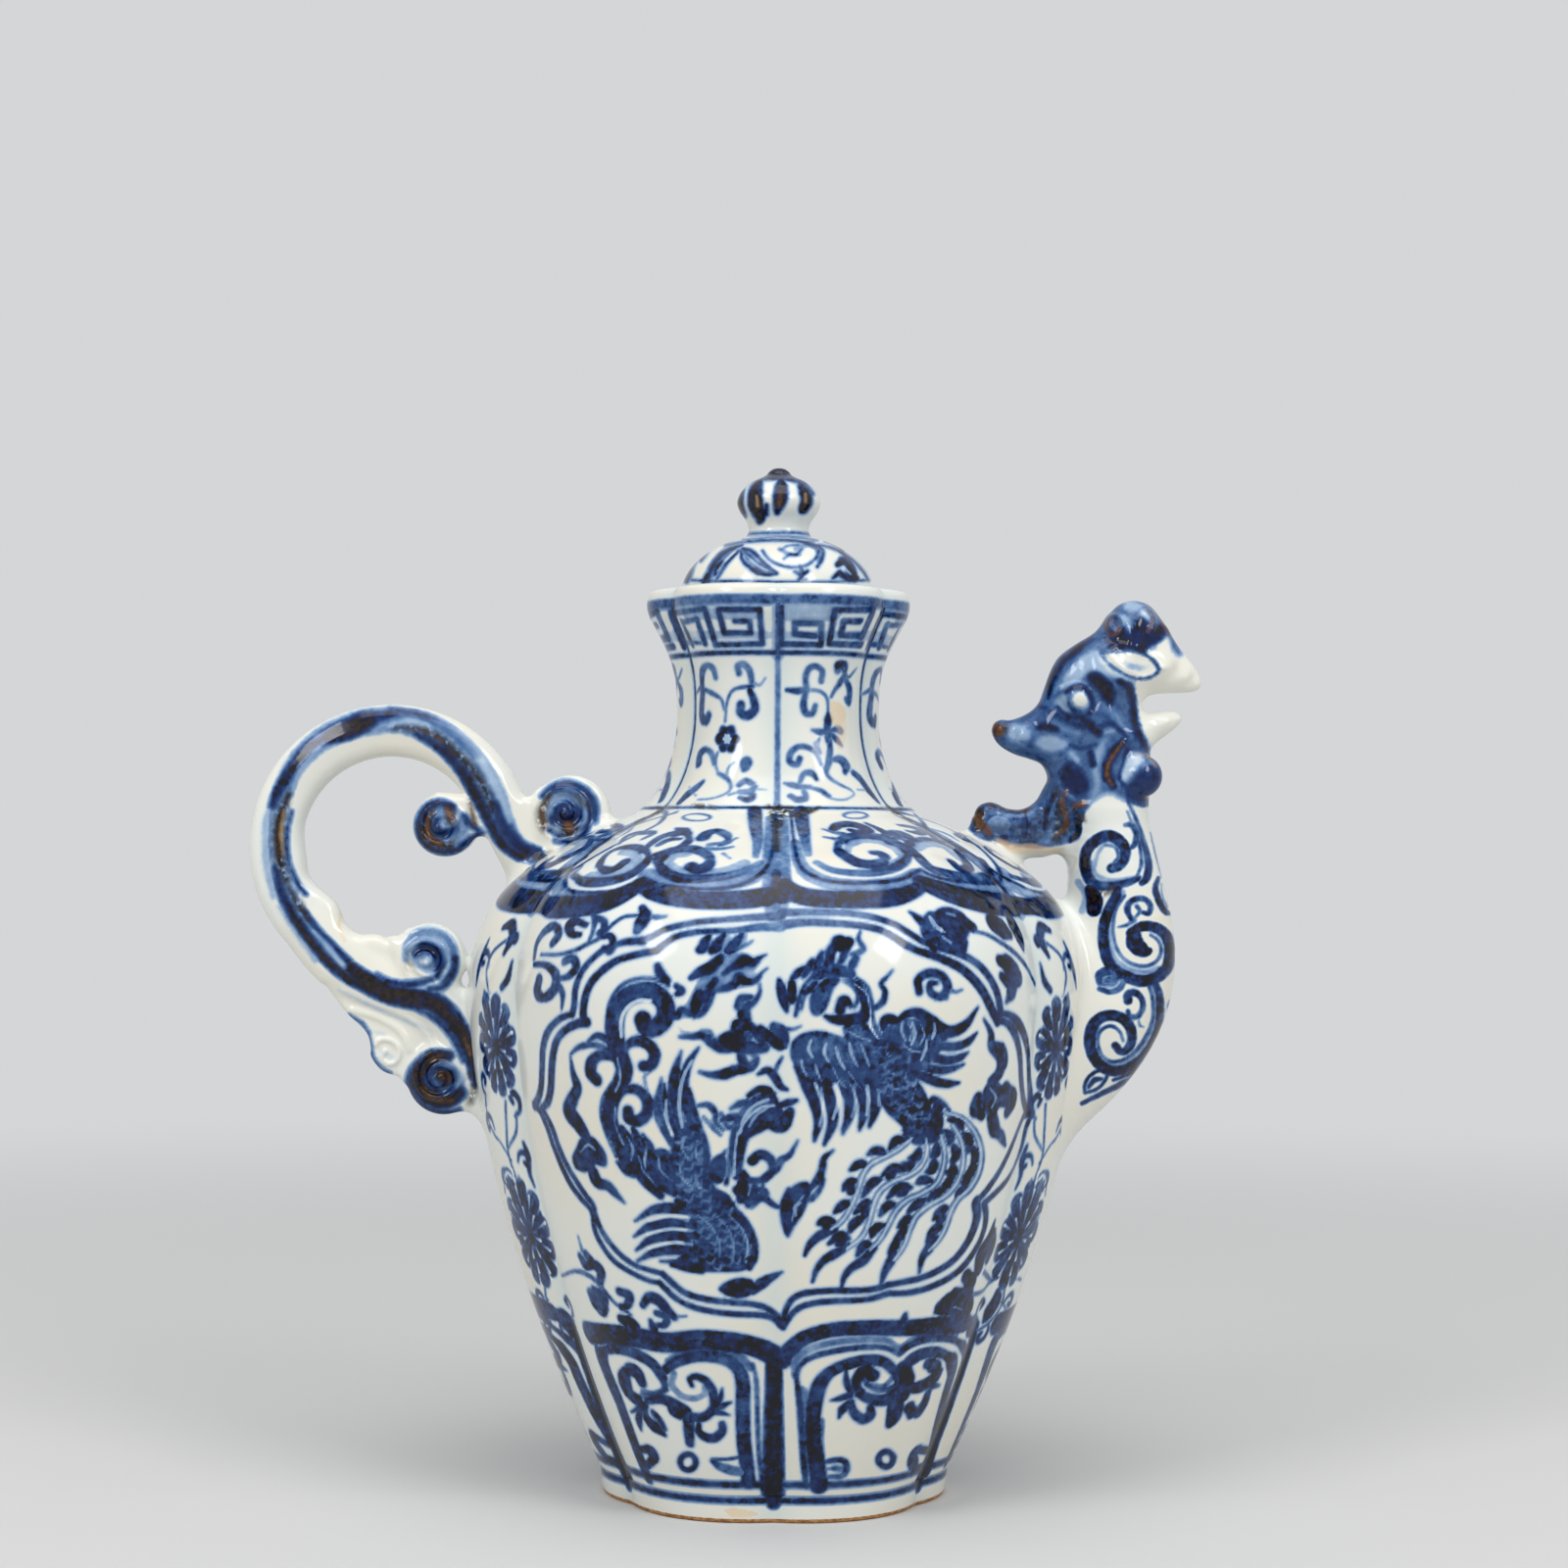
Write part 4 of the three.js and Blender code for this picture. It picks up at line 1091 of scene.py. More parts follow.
# Shoulder collar: a lappet on each lobe, with a pair of spirals over a broad dark band
collar = {
    "rightHalf": [  # of the right front lobe, mirrored for its other half
        ((18, 19, 18, 12), (0.9, 1.0, 0.9, 0.95),
         [799,904, 815,913, 840,917, 880,918, 910,916, 930,910, 944,902]),
        (3, 0.72,
         [807,829, 809,850, 812,870, 817,884, 828,893, 845,899, 870,901, 900,900, 920,897, 932,891,
          940,887]),
        ((15, 14, 10, 7), (0.85, 0.75, 0.6, 0.4), [817,827, 819,842, 822,858, 825,872]),
        ((5, 8, 9, 9, 7, 9, 9, 4), (0.4, 0.6, 0.75, 0.7, 0.75, 0.9, 0.8, 0.8),
         [833,880, 850,888, 880,891, 905,888, 922,880, 927,870, 918,862, 905,856, 890,853, 870,853, 858,858,
          855,866, 862,873, 875,880, 890,882, 900,880, 903,875, 898,871, 890,870]),
        (2.8, 0.72,
         [940,887, 950,893, 970,898, 1000,901, 1015,901, 1021,898, 1018,885, 1005,870, 985,855, 960,842,
          930,832, 912,828]),
        ((14, 18, 18, 17, 14), (0.95, 1.0, 0.95),
         [942,901, 960,908, 985,916, 1010,921, 1030,923, 1040,922]),
        ((5, 8, 9, 8, 8, 7, 6), (0.75, 0.8, 0.75, 0.8),
         [925,862, 935,872, 950,886, 970,892, 990,895, 1005,895, 1009,889, 1002,878]),
        ((4, 5, 7, 8, 8, 7), (0.7, 0.75, 0.8, 0.95),
         [925,859, 945,856, 960,860, 975,868, 985,878, 988,886, 980,887, 972,880]),
    ],
    "rightWashes": [
        (7, 0.38, [811,860, 814,875, 822,889, 838,898, 860,903, 890,904, 918,900, 936,892]),
        (4, 0.3, [865,868, 868,861, 880,857, 898,859, 914,866, 920,874, 912,882, 895,886]),
        (6, 0.36, [945,895, 970,903, 1000,906, 1022,903, 1025,890]),
        (4, 0.3, [935,865, 945,861, 962,864, 978,876]),
    ],
    "rightTop": [
        ((4, 7, 6, 3), 0.85, [850,846, 856,842, 868,841, 880,844, 885,848, 877,849, 868,847]),
        ((1, 4), 0.6, [840,846, 850,849, 860,851]), ((1, 4), 0.6, [841,854, 852,856, 860,859]),
        ((2, 5, 4), 0.75, [884,840, 895,845, 905,850, 916,852, 927,855]),
        ((4, 5, 4, 3), 0.7, [900,855, 908,850, 920,850, 930,855, 929,861, 918,863, 906,860]),
        ((2, 4, 2), 0.7, [908,856, 917,855, 925,858]),
        ((2, 5, 5, 2), 0.75, [917,842, 930,844, 944,848, 936,850, 926,848]),
        ((3, 5, 4, 1), 0.7, [940,848, 950,852, 957,858, 970,859]),
        ((1, 3, 1), 0.5, [952,846, 966,851, 978,858]),
    ],
    "leftHalf": [  # of the left front lobe
        ((20, 20, 18, 14), (0.9, 0.95, 0.9, 1.0),
         [801,912, 780,915, 750,918, 710,918, 680,914, 662,908, 652,901]),
        (3, 0.68,
         [792,829, 790,850, 788,870, 782,885, 772,895, 755,903, 730,907, 700,906, 675,903, 656,896]),
        ((15, 14, 11, 7), (0.85, 0.78, 0.65, 0.4), [770,827, 771,842, 773,858, 771,874]),
        ((5, 8, 10, 10, 8, 8, 10, 10), (0.4, 0.6, 0.75, 0.85, 0.7, 0.7, 0.8, 0.95),
         [776,880, 760,888, 740,894, 710,897, 690,895, 677,888, 672,879, 678,871, 690,867, 705,866, 718,870,
          725,877, 721,884, 712,887, 705,884]),
        (2.8, 0.68,
         [655,897, 640,905, 620,910, 600,911, 585,910, 577,903, 580,890, 600,872, 630,850, 660,838,
          690,829]),
        ((14, 18, 19, 19, 18, 14), (1.0, 1.0, 0.95, 1.0),
         [645,908, 630,915, 610,922, 585,925, 565,925, 553,922]),
        ((6, 8, 8, 7, 6, 6, 5, 5, 6, 7, 8), (0.75, 0.75, 0.7, 0.8, 0.95),
         [585,893, 595,899, 615,900, 640,894, 655,884, 662,874, 655,866, 640,864, 625,868, 615,876, 612,884,
          620,888, 630,885, 637,880]),
    ],
    "leftWashes": [
        (7, 0.36, [790,860, 786,876, 776,891, 756,899, 730,903, 700,902, 676,898, 660,892]),
        (4, 0.3, [760,880, 740,888, 712,891, 694,888, 683,880, 688,873, 700,871]),
        (6, 0.34, [650,903, 625,914, 595,916, 574,912, 570,900]),
        (4, 0.3, [600,894, 625,894, 645,884, 650,872, 636,869]),
    ],
    "leftTop": [
        ((3, 5, 5, 4, 3), 0.8,
         [655,869, 664,861, 675,854, 689,850, 700,850, 703,857, 695,864, 682,868, 668,872]),
        ((3, 4, 2), 0.75, [672,862, 682,857, 694,856]),
        ((6, 7, 1), 0.9, [690,851, 697,848, 690,845]),
        ((2, 5, 4, 2), 0.7, [632,861, 640,853, 652,850, 667,850, 656,856]),
        ((6, 5, 5, 3), (0.95, 0.7, 0.7, 0.6), [717,855, 722,850, 732,848, 741,852, 743,858, 735,862]),
        ((3, 1), 0.5, [724,862, 742,859, 752,855]), ((3, 1), 0.5, [722,866, 736,866, 748,864]),
        ((2, 1), 0.4, [738,871, 745,876]),
    ],
    "ellipses": (((873, 832), 12, 3.2), ((711, 834), 14, 3.5)),  # centre, half width, half height
    "ring": ((740, 824), 0.42, 0.8),  # a pixel on it, half width in mm, strength
    "grooveFoot": 932,  # the row where the wash down the grooves ends
    "grooveWash": ((3.2, 4.4, 4.0, 3.4), (0.3, 0.46, 0.44, 0.42)),  # half widths in mm, strengths
    "grooves": [  # lower and upper row, half widths in mm, strengths, layer
        (925, 890, (1.3, 1.6, 1.2), (0.3, 0.5, 0.3), "line"),
        (842, 826, 2.2, 1.0, "iron"), (868, 846, 1.3, 0.85, "iron"), (912, 892, 1.0, 0.7, "iron"),
    ],
    "smears": [  # burnt iron along the neck's root
        ((3, 7, 9, 7, 3), 0.97, [784,822, 797,828, 809,831, 822,829, 836,824]),
        ((2, 5, 4, 2), 0.85, [706,821, 716,823, 726,824, 735,826]),
    ],
}
neckRing = vessel["neckRingHeight"]
collarRing = pixelHeight(*collar["ring"][0])
for canvas in (bodyCanvas, neckCanvas):
    for name in ("right", "left"):
        drawStrokes(canvas, collar[name + "Half"], everyOther, wider=0.9, stronger=0.88)
        drawStrokes(canvas, collar[name + "Top"], everyOther, wider=1.2, stronger=0.88)
        drawStrokes(canvas, collar[name + "Washes"], everyOther, "wash", wider=1.9)
    for centre, wide, tall in collar["ellipses"]:
        drawStrokes(canvas, [(1.3, 0.6, roundPixels(centre, wide, tall, ringTurns))], everyOther)
    drawRing(canvas, collarRing, *collar["ring"][1:])
drawGroove(bodyCanvas, grooveHeight(collar["grooveFoot"]), neckRing - 1, *collar["grooveWash"], "wash")
for low, high, half, tone, layer in collar["grooves"]:
    drawGroove(bodyCanvas, grooveHeight(low), grooveHeight(high), half, tone, layer)
for canvas in (bodyCanvas, neckCanvas):
    drawStrokes(canvas, collar["smears"], frontAndBack, "iron")

# Cartouche: two bracket-lobed lines round the pair of phoenixes, over two lobes
cartouche = [
    ((6, 4, 4, 4), (0.45, 0.6, 0.7, 0.75),
     [797,935, 770,936, 745,938, 720,940, 700,943, 680,948, 666,955, 656,960]),
    ((6, 3.5, 4, 4, 4), (0.85, 0.7, 0.7, 0.75),
     [656,960, 640,961, 625,965, 612,972, 600,983, 592,995, 587,1010, 586,1025, 584,1035]),
    (4, (0.85, 0.7, 0.75, 0.75),
     [584,1035, 574,1038, 565,1045, 558,1055, 554,1070, 553,1090, 552,1110, 548,1124, 545,1128]),
    (2.8, 0.78, [545,1128, 551,1134, 558,1150, 565,1170, 573,1190, 582,1208, 592,1222, 602,1233, 605,1240]),
    (3, 0.72, [605,1240, 607,1255, 615,1272, 628,1288, 645,1299, 663,1307, 673,1309]),
    ((3.5, 4), 0.72,
     [673,1309, 680,1316, 690,1325, 705,1333, 725,1338, 750,1341, 775,1342, 788,1345, 798,1354]),
    ((7, 4, 4, 4.5), (0.45, 0.6, 0.7, 0.75),
     [797,946, 775,946, 755,949, 735,950, 712,951, 692,955, 680,962, 670,970]),
    ((4.5, 5, 5), 0.75, [670,970, 650,974, 630,980, 615,990, 603,1003, 597,1018, 595,1034, 597,1043]),
    ((7, 4.5, 4.5, 4), (0.95, 0.75, 0.75, 0.7),
     [599,1043, 588,1045, 577,1051, 569,1060, 565,1072, 563,1090, 562,1110, 559,1124, 553,1131]),
    (3, 0.75, [553,1131, 563,1150, 570,1170, 578,1188, 588,1205, 598,1220, 605,1229, 607,1238]),
    (3.2, 0.72, [607,1238, 612,1252, 622,1268, 635,1282, 650,1292, 666,1297, 676,1300]),
    (4, 0.75, [676,1300, 685,1308, 697,1318, 712,1324, 735,1328, 760,1330, 778,1333, 790,1340, 799,1349]),
    ((6, 4.5, 4, 4), (0.45, 0.55, 0.65, 0.7),
     [797,931, 820,931, 850,931, 875,933, 895,937, 912,943, 926,951, 940,960]),
    (4.5, 0.72, [940,960, 955,966, 972,971, 987,977, 1000,986, 1010,998, 1017,1012, 1020,1025, 1021,1034]),
    (4.5, 0.78, [1021,1034, 1030,1036, 1038,1043, 1045,1056, 1049,1075, 1050,1100, 1051,1125, 1053,1137]),
    (2.8, 0.78, [1053,1137, 1047,1150, 1042,1170, 1035,1190, 1027,1205, 1015,1218, 1004,1228]),
    (3.6, 0.75,
     [1004,1228, 1006,1240, 1004,1255, 997,1272, 985,1290, 970,1303, 950,1313, 928,1319, 906,1320]),
    (4, 0.72, [906,1320, 890,1325, 870,1327, 845,1328, 825,1331, 812,1337, 804,1346, 799,1355]),
    ((7, 4.5, 4.5, 5), (0.45, 0.6, 0.7, 0.75),
     [797,944, 820,941, 850,942, 875,944, 895,948, 910,955, 924,964, 936,970]),
    ((5, 6, 6, 5), 0.8, [936,970, 952,975, 967,981, 982,989, 995,1001, 1005,1015, 1012,1030, 1018,1042]),
    ((5, 4, 4), 0.78,
     [1018,1042, 1026,1043, 1033,1050, 1038,1062, 1041,1080, 1042,1100, 1044,1120, 1048,1136]),
    (3.2, 0.75, [1048,1136, 1044,1140, 1038,1155, 1030,1175, 1020,1195, 1008,1213, 996,1227]),
    ((6, 3.8, 3.8), 0.78,
     [996,1227, 997,1240, 994,1253, 987,1268, 975,1284, 960,1295, 940,1304, 918,1309, 906,1311]),
    (4, 0.72, [906,1311, 894,1315, 875,1317, 850,1317, 825,1319, 812,1323, 804,1332, 799,1346]),
]
drawStrokes(bodyCanvas, cartouche, frontAndBack, wider=1.28)
print("collar and cartouche drawn")

# The pair of phoenixes among clouds. Feathers taper to their tips; light veins lie over dark washes.

def plume(shaft, barbs, tip):
    # A tail feather: a pale shaft, a tip that tapers off and dark commas beside it.
    strokes = [((5, 7, 7, 5), 0.45, shaft), ((6, 9, 7, 5, 2), 0.78, tip)]
    return strokes + [((3, 9, 8, 3), (0.85, 0.95, 0.9, 0.8), barb) for barb in barbs]


def scales(outline, turn, size):
    # Light arcs in staggered rows inside an outline, along a turn in degrees, and a dark fleck under
    # every other one.
    corners = np.reshape(outline, (-1, 2)).astype(float)
    along = np.array([math.cos(math.radians(turn)), math.sin(math.radians(turn))])
    across = np.array([-along[1], along[0]])
    count = int(np.ptp(corners, axis=0).max() / size)
    rows, places = np.meshgrid(np.arange(-count, count + 1), np.arange(-count, count + 1))
    centres = (corners.mean(axis=0) + along * rows[..., None] * size * 0.85
               + across * (places + 0.5 * (rows % 2))[..., None] * size).reshape(-1, 2)
    centres = centres[outlineGap(centres[:, 0], centres[:, 1], corners) < -size * 0.45]
    arcs, flecks = [], []
    for number, centre in enumerate(centres):
        arc = [centre - across * size * 0.42, centre + along * size * 0.4, centre + across * size * 0.42]
        arcs.append(((1.8, 3.2, 1.8), 0.14 + 0.22 * random.random(), np.ravel(arc)))
        if number % 2:
            fleck = [centre - along * size * 0.25, centre + along * size * 0.1]
            flecks.append((size * 0.4, 0.94, np.ravel(fleck)))
    return arcs, flecks


phoenixes = {
    "tails": [  # shaft, commas, tip
        ([932,1160, 918,1172, 904,1180, 890,1187, 881,1198, 875,1216, 868,1232, 859,1246, 848,1255],
         ([925,1164, 915,1164, 908,1172], [904,1178, 895,1174, 886,1178], [885,1190, 877,1188, 868,1194],
          [873,1204, 866,1208, 861,1214], [868,1212, 869,1218], [866,1226, 859,1231, 852,1237],
          [852,1247, 842,1246, 835,1249],
          [843,1248, 844,1256]), [852,1255, 838,1260, 829,1267, 824,1274, 821,1281]),
        ([945,1162, 946,1176, 940,1190, 928,1199, 911,1206, 898,1216, 891,1231, 886,1250, 878,1264,
          864,1274],
         ([938,1172, 936,1180, 928,1182], [932,1184, 928,1190, 921,1187], [926,1195, 912,1192, 901,1199],
          [912,1196, 906,1202],
          [899,1203, 889,1208, 880,1221], [889,1226, 881,1230, 872,1238], [884,1234, 882,1242],
          [882,1242, 872,1248, 866,1258],
          [866,1264, 857,1261, 846,1269], [862,1266, 854,1270]),
          [866,1271, 851,1280, 840,1287, 833,1296, 829,1308]),
        ([960,1158, 964,1176, 962,1193, 955,1208, 940,1218, 925,1225, 914,1236, 906,1251, 898,1265,
          888,1276],
         ([956,1166, 955,1176, 950,1180], [953,1182, 952,1192, 945,1196], [951,1205, 942,1204, 936,1207],
          [930,1212, 918,1211, 906,1222],
          [926,1214, 916,1219], [913,1229, 905,1231, 898,1240], [902,1250, 893,1254, 889,1262],
          [889,1270, 881,1271, 875,1281]),
         [892,1273, 881,1286, 869,1294, 862,1302, 859,1312]),
        ([972,1148, 981,1164, 983,1186, 977,1206, 965,1220, 948,1230, 935,1241, 928,1256, 922,1272,
          912,1286],
         ([964,1154, 970,1160, 968,1168], [972,1168, 976,1178, 971,1185], [972,1186, 972,1198, 965,1196],
          [971,1200, 967,1208, 960,1212],
          [963,1215, 955,1218, 947,1226], [945,1224, 936,1229, 927,1236], [929,1242, 924,1246, 917,1252],
          [924,1250, 920,1260, 912,1268],
          [916,1266, 912,1274, 908,1282]), [914,1280, 907,1290, 902,1300, 899,1311]),
        ([965,1135, 983,1142, 995,1156, 1001,1175, 999,1195, 990,1212, 978,1223, 970,1237, 965,1252,
          958,1265, 948,1276],
         ([968,1142, 978,1144, 982,1152], [982,1156, 989,1164, 988,1175], [990,1170, 996,1178, 992,1190],
          [993,1190, 992,1198],
          [992,1196, 986,1203, 985,1212], [984,1214, 976,1220], [967,1233, 960,1236, 953,1244],
          [962,1240, 958,1249],
          [962,1251, 953,1256, 946,1268]), [956,1264, 947,1275, 941,1284, 938,1299]),
    ],
    "rightBlots": [
        (0.62,
         [806,1076, 811,1063, 823,1055, 840,1053, 856,1057, 873,1062, 890,1068, 906,1080, 904,1096,
          896,1108,
                880,1104, 862,1106, 845,1104, 830,1104, 817,1096]),
        (0.8,
         [889,1068, 902,1058, 920,1060, 930,1078, 936,1100, 944,1115, 950,1130, 958,1142, 950,1158,
          936,1166,
               922,1160, 921,1150, 906,1136, 897,1120, 892,1100]),
        (0.66, [900,1056, 915,1042, 935,1040, 950,1052, 962,1064, 950,1085, 930,1095, 915,1080]),
        (0.66, [836,1003, 846,997, 858,999, 850,1010, 846,1022, 840,1034, 830,1036, 826,1026, 828,1012]),
        (0.62, [860,1046, 878,1044, 890,1052, 897,1066, 896,1078, 880,1074, 866,1064]),
        (0.8, [922,1150, 934,1143, 950,1146, 962,1152, 958,1164, 944,1168, 930,1166]),
        (0.92, [952,934, 962,926, 976,928, 986,936, 989,950, 983,962, 974,970, 963,968, 956,958, 962,948]),
        (0.7, [940,940, 948,930, 958,934, 960,948, 956,960, 947,962, 940,952]),
    ],
    "rightFeathers": [
        ((9, 12, 10, 8, 2), 0.84, [815,1088, 824,1108, 832,1128, 835,1146, 831,1164]),
        ((9, 12, 11, 9, 2), 0.8, [834,1092, 843,1112, 849,1130, 849,1148, 841,1168]),
        ((9, 12, 10, 7, 2), 0.76, [852,1094, 863,1112, 868,1128, 866,1142, 860,1157]),
        ((9, 11, 10, 7, 2), 0.76, [868,1096, 877,1112, 882,1126, 881,1140, 877,1153]),
        ((9, 10, 9, 6, 2), 0.78, [882,1096, 889,1110, 894,1124, 892,1138, 887,1150]),
        ((4, 5, 4, 2), 0.95, [818,1098, 829,1122, 833,1144, 831,1160]),
        ((4, 5, 4, 2), 0.92, [838,1100, 846,1122, 847,1144, 842,1164]),
        ((4, 5, 4, 2), 0.9, [858,1102, 864,1122, 864,1140, 860,1153]),
        ((4, 5, 4, 2), 0.9, [874,1102, 879,1120, 879,1138, 877,1150]),
        ((4, 5, 4, 2), 0.9, [887,1104, 891,1122, 890,1138, 887,1149]),
        ((4, 6, 10, 13, 12, 8, 1), 0.85,
         [916,1050, 922,1037, 936,1034, 950,1043, 966,1053, 984,1047, 998,1028]),
        ((8, 9, 8, 6, 1), 0.78, [942,1058, 958,1066, 974,1068, 988,1063, 997,1054]),
        ((8, 9, 8, 6, 1), 0.76, [938,1070, 952,1079, 968,1082, 980,1079, 988,1074]),
        ((8, 9, 8, 5, 1), 0.74, [930,1082, 948,1090, 962,1092, 974,1090, 984,1086]),
        ((8, 9, 9, 7, 1), 0.9, [928,1093, 944,1099, 956,1104, 968,1106, 979,1105]),
        ((3, 5, 4, 3), 0.85, [808,1076, 812,1063, 825,1056, 840,1055, 855,1060, 872,1064]),
        ((4, 9, 10, 8, 3), (0.7, 0.8, 0.85, 0.8), [795,1000, 797,1008, 799,1017, 801,1025, 803,1032]),
        ((6, 9, 8), 0.98, [808,1003, 808,1012, 808,1020]), ((4, 7, 4), 0.92, [809,998, 814,993, 820,988]),
        ((5, 8, 4), 0.85, [820,996, 825,988, 829,980]), ((6, 9, 4), 0.82, [832,990, 836,981, 839,972]),
        ((7, 10, 9, 6), 0.97, [843,990, 846,980, 848,970, 852,963]),
        ((8, 14, 15, 9), 0.97, [850,968, 856,962, 860,964, 866,961]),
        ((4, 7, 7, 3), 0.78, [856,984, 860,978, 862,972, 866,968]),
        ((5, 8, 7), 0.78, [866,992, 870,984, 873,978]),
        ((3, 5, 5, 4, 3, 1), 0.64, [868,974, 876,972, 881,968, 878,962, 876,957, 878,950]),
        ((10, 14, 13, 10), 0.66, [832,996, 844,990, 856,990, 868,994]),
        ((3, 4, 3, 3), 0.76, [812,1036, 815,1022, 820,1008, 828,998, 840,992]),
        ((2.4, 3.4, 2.6), 0.64, [817,1030, 820,1018, 826,1006]),
        ((5, 7, 4), 0.98, [821,1014, 827,1008, 832,1003]),
        ((5, 7, 8, 10, 12, 13, 10, 7, 3), (0.6, 0.8, 0.9, 0.97, 0.97, 0.95, 0.9, 0.85),
         [866,1000, 874,1005, 880,1014, 884,1026, 882,1037, 872,1041, 860,1041, 850,1040, 842,1037]),
        ((5, 7, 10, 9), (0.6, 0.8, 0.95, 0.97), [868,1027, 864,1021, 860,1022, 857,1031]),
        ((3, 4, 4, 3), 0.6, [862,1001, 872,1008, 876,1018, 872,1028]),
        ((2.6, 3, 3, 3), 0.62, [874,998, 884,1006, 889,1020, 890,1036]),
        ((3, 4, 4, 4, 3), 0.62, [890,1036, 893,1048, 899,1058, 908,1060, 913,1054]),
        ((6, 9, 9, 8, 4), 0.97, [902,1049, 903,1042, 908,1040, 914,1043, 917,1051]),
        ((10, 15, 15, 11), 0.98, [886,1063, 898,1068, 912,1069, 924,1070]),
        ((8, 11, 8), 0.9, [866,1046, 867,1052, 866,1058]),
        ((8, 12, 8), 0.95, [880,1044, 881,1052, 880,1058]),
        ((3, 5, 6, 5, 4, 3, 1), 0.64, [886,1024, 893,1028, 901,1022, 903,1012, 899,1004, 904,998, 911,990]),
        ((7, 9), 0.97, [928,1048, 930,1056]), ((7, 9), 0.97, [946,1050, 948,1058]),
        ((6, 8), 0.95, [960,1052, 963,1058]),
        ((9, 12, 8), 0.97, [837,1088, 841,1096, 845,1106]), ((8, 9), 0.97, [823,1092, 826,1096]),
        ((7, 10, 6), 0.97, [928,1102, 930,1110, 932,1118]),
        ((6, 8), 0.95, [908,1106, 910,1112]), ((8, 8), 0.95, [904,1122, 910,1124]),
        ((6, 8), 0.95, [942,1120, 945,1126]),
        ((6, 9, 7), 0.97, [924,1152, 928,1158, 934,1161]),
        ((9, 10, 8), 0.97, [957,1128, 957,1138, 958,1148]), ((7, 7), 0.9, [944,1160, 950,1162]),
        ((3, 6, 4, 1), 0.85, [944,1130, 952,1122, 960,1124, 966,1128]),
        ((3, 4, 1), 0.8, [956,1132, 963,1128, 970,1134]),
        (1.4, 0.55, [958,1134, 975,1138, 990,1150, 999,1166]),
    ],
    "rightVeins": [
        ((2, 3, 2), 0.6, [828,1061, 825,1070, 829,1079]), ((2, 3, 2), 0.6, [843,1065, 841,1074, 845,1083]),
        ((2, 3, 2), 0.55, [853,1068, 856,1080, 862,1091]),
        ((2, 2.6, 2), 0.5, [867,1064, 869,1076, 875,1088]),
        ((2, 2.6, 2), 0.5, [879,1066, 883,1077, 887,1088]),
        ((2, 2.6, 2), 0.5, [818,1082, 819,1090, 823,1098]),
        ((2, 2.6, 2), 0.5, [832,1086, 834,1094, 838,1103]),
        ((2, 3, 2), 0.55, [838,1110, 840,1130, 836,1150]),
        ((3, 4, 3), 0.65, [854,1106, 856,1122, 850,1142]), ((2, 3, 2), 0.5, [871,1108, 873,1124, 869,1140]),
        ((3, 4, 2), 0.65, [885,1108, 886,1122, 884,1138]), ((2, 3), 0.5, [896,1112, 897,1128]),
        ((2, 3, 2), 0.6, [931,1044, 934,1055, 930,1066]), ((2, 3, 2), 0.6, [953,1044, 954,1052, 951,1060]),
        ((2, 3, 2), 0.6, [946,1061, 944,1072, 940,1082]), ((2, 3, 2), 0.5, [921,1042, 920,1052, 924,1062]),
        ((1, 1.5, 1), 0.5, [850,1090, 856,1102, 863,1110]),
        ((1, 1.5, 1), 0.5, [866,1094, 873,1104, 880,1112]),
        ((1, 1.4, 1), 0.5, [902,1070, 908,1078, 916,1080]),
        ((1, 1.4, 1), 0.5, [900,1086, 907,1094, 916,1096]),
        ((1, 1.4, 1), 0.5, [904,1104, 912,1111, 922,1110]),
        ((1, 1.4, 1), 0.5, [912,1122, 920,1130, 930,1128]),
        ((1, 1.4, 1), 0.5, [924,1094, 926,1104, 934,1110]),
        ((1, 1.4, 1), 0.5, [930,1116, 933,1126, 940,1132]),
        ((1, 1.4, 1), 0.5, [926,1136, 934,1142, 943,1142]),
        ((1, 1.5, 1), 0.55, [926,1044, 930,1052, 928,1062]),
        ((1, 1.5, 1), 0.55, [940,1046, 943,1056, 939,1066]),
        ((1, 1.5, 1), 0.55, [922,1066, 930,1072, 940,1074]),
        (1.6, 0.7, [872,1004, 884,1014, 888,1030, 888,1046, 896,1060]),
        ((1, 1.5), 0.5, [866,1052, 876,1058, 888,1062]),
    ],
    "leftBlots": [
        (0.72,
         [688,1158, 697,1146, 707,1142, 717,1152, 723,1168, 725,1184, 723,1198, 731,1212, 744,1220,
          748,1232,
                735,1240, 720,1238, 706,1232, 694,1222, 684,1206, 680,1192, 684,1176]),
        (0.76,
         [700,1228, 720,1232, 745,1228, 760,1244, 768,1262, 770,1280, 764,1294, 748,1298, 728,1296,
          708,1291,
                690,1286, 700,1276, 696,1262, 704,1250]),
        (0.7, [664,1176, 676,1172, 686,1180, 690,1200, 696,1214, 686,1220, 676,1212, 668,1200, 662,1188]),
        (0.74,
         [752,1162, 755,1143, 766,1126, 779,1114, 790,1117, 797,1129, 803,1139, 808,1146, 801,1155,
          790,1155,
                780,1151, 768,1158, 758,1168]),
        (0.84, [741,1174, 737,1190, 738,1205, 728,1207, 721,1196, 730,1188, 736,1178]),
        (0.8, [722,1194, 728,1182, 738,1178, 742,1190, 738,1204, 728,1204]),
        (0.85,
         [588,1172, 594,1160, 604,1160, 612,1168, 618,1178, 618,1190, 606,1188, 598,1196, 588,1192,
          584,1182]),
        (0.92, [734,1316, 742,1308, 756,1304, 768,1307, 770,1316, 762,1323, 748,1324]),
        (0.88, [797,1236, 801,1222, 810,1210, 822,1206, 828,1212, 824,1226, 818,1240, 810,1252, 803,1262]),
        (0.8,
         [1006,1108, 1014,1100, 1022,1108, 1030,1118, 1030,1130, 1020,1130, 1014,1140, 1004,1134,
          1002,1120]),
    ],
    "leftMarks": [
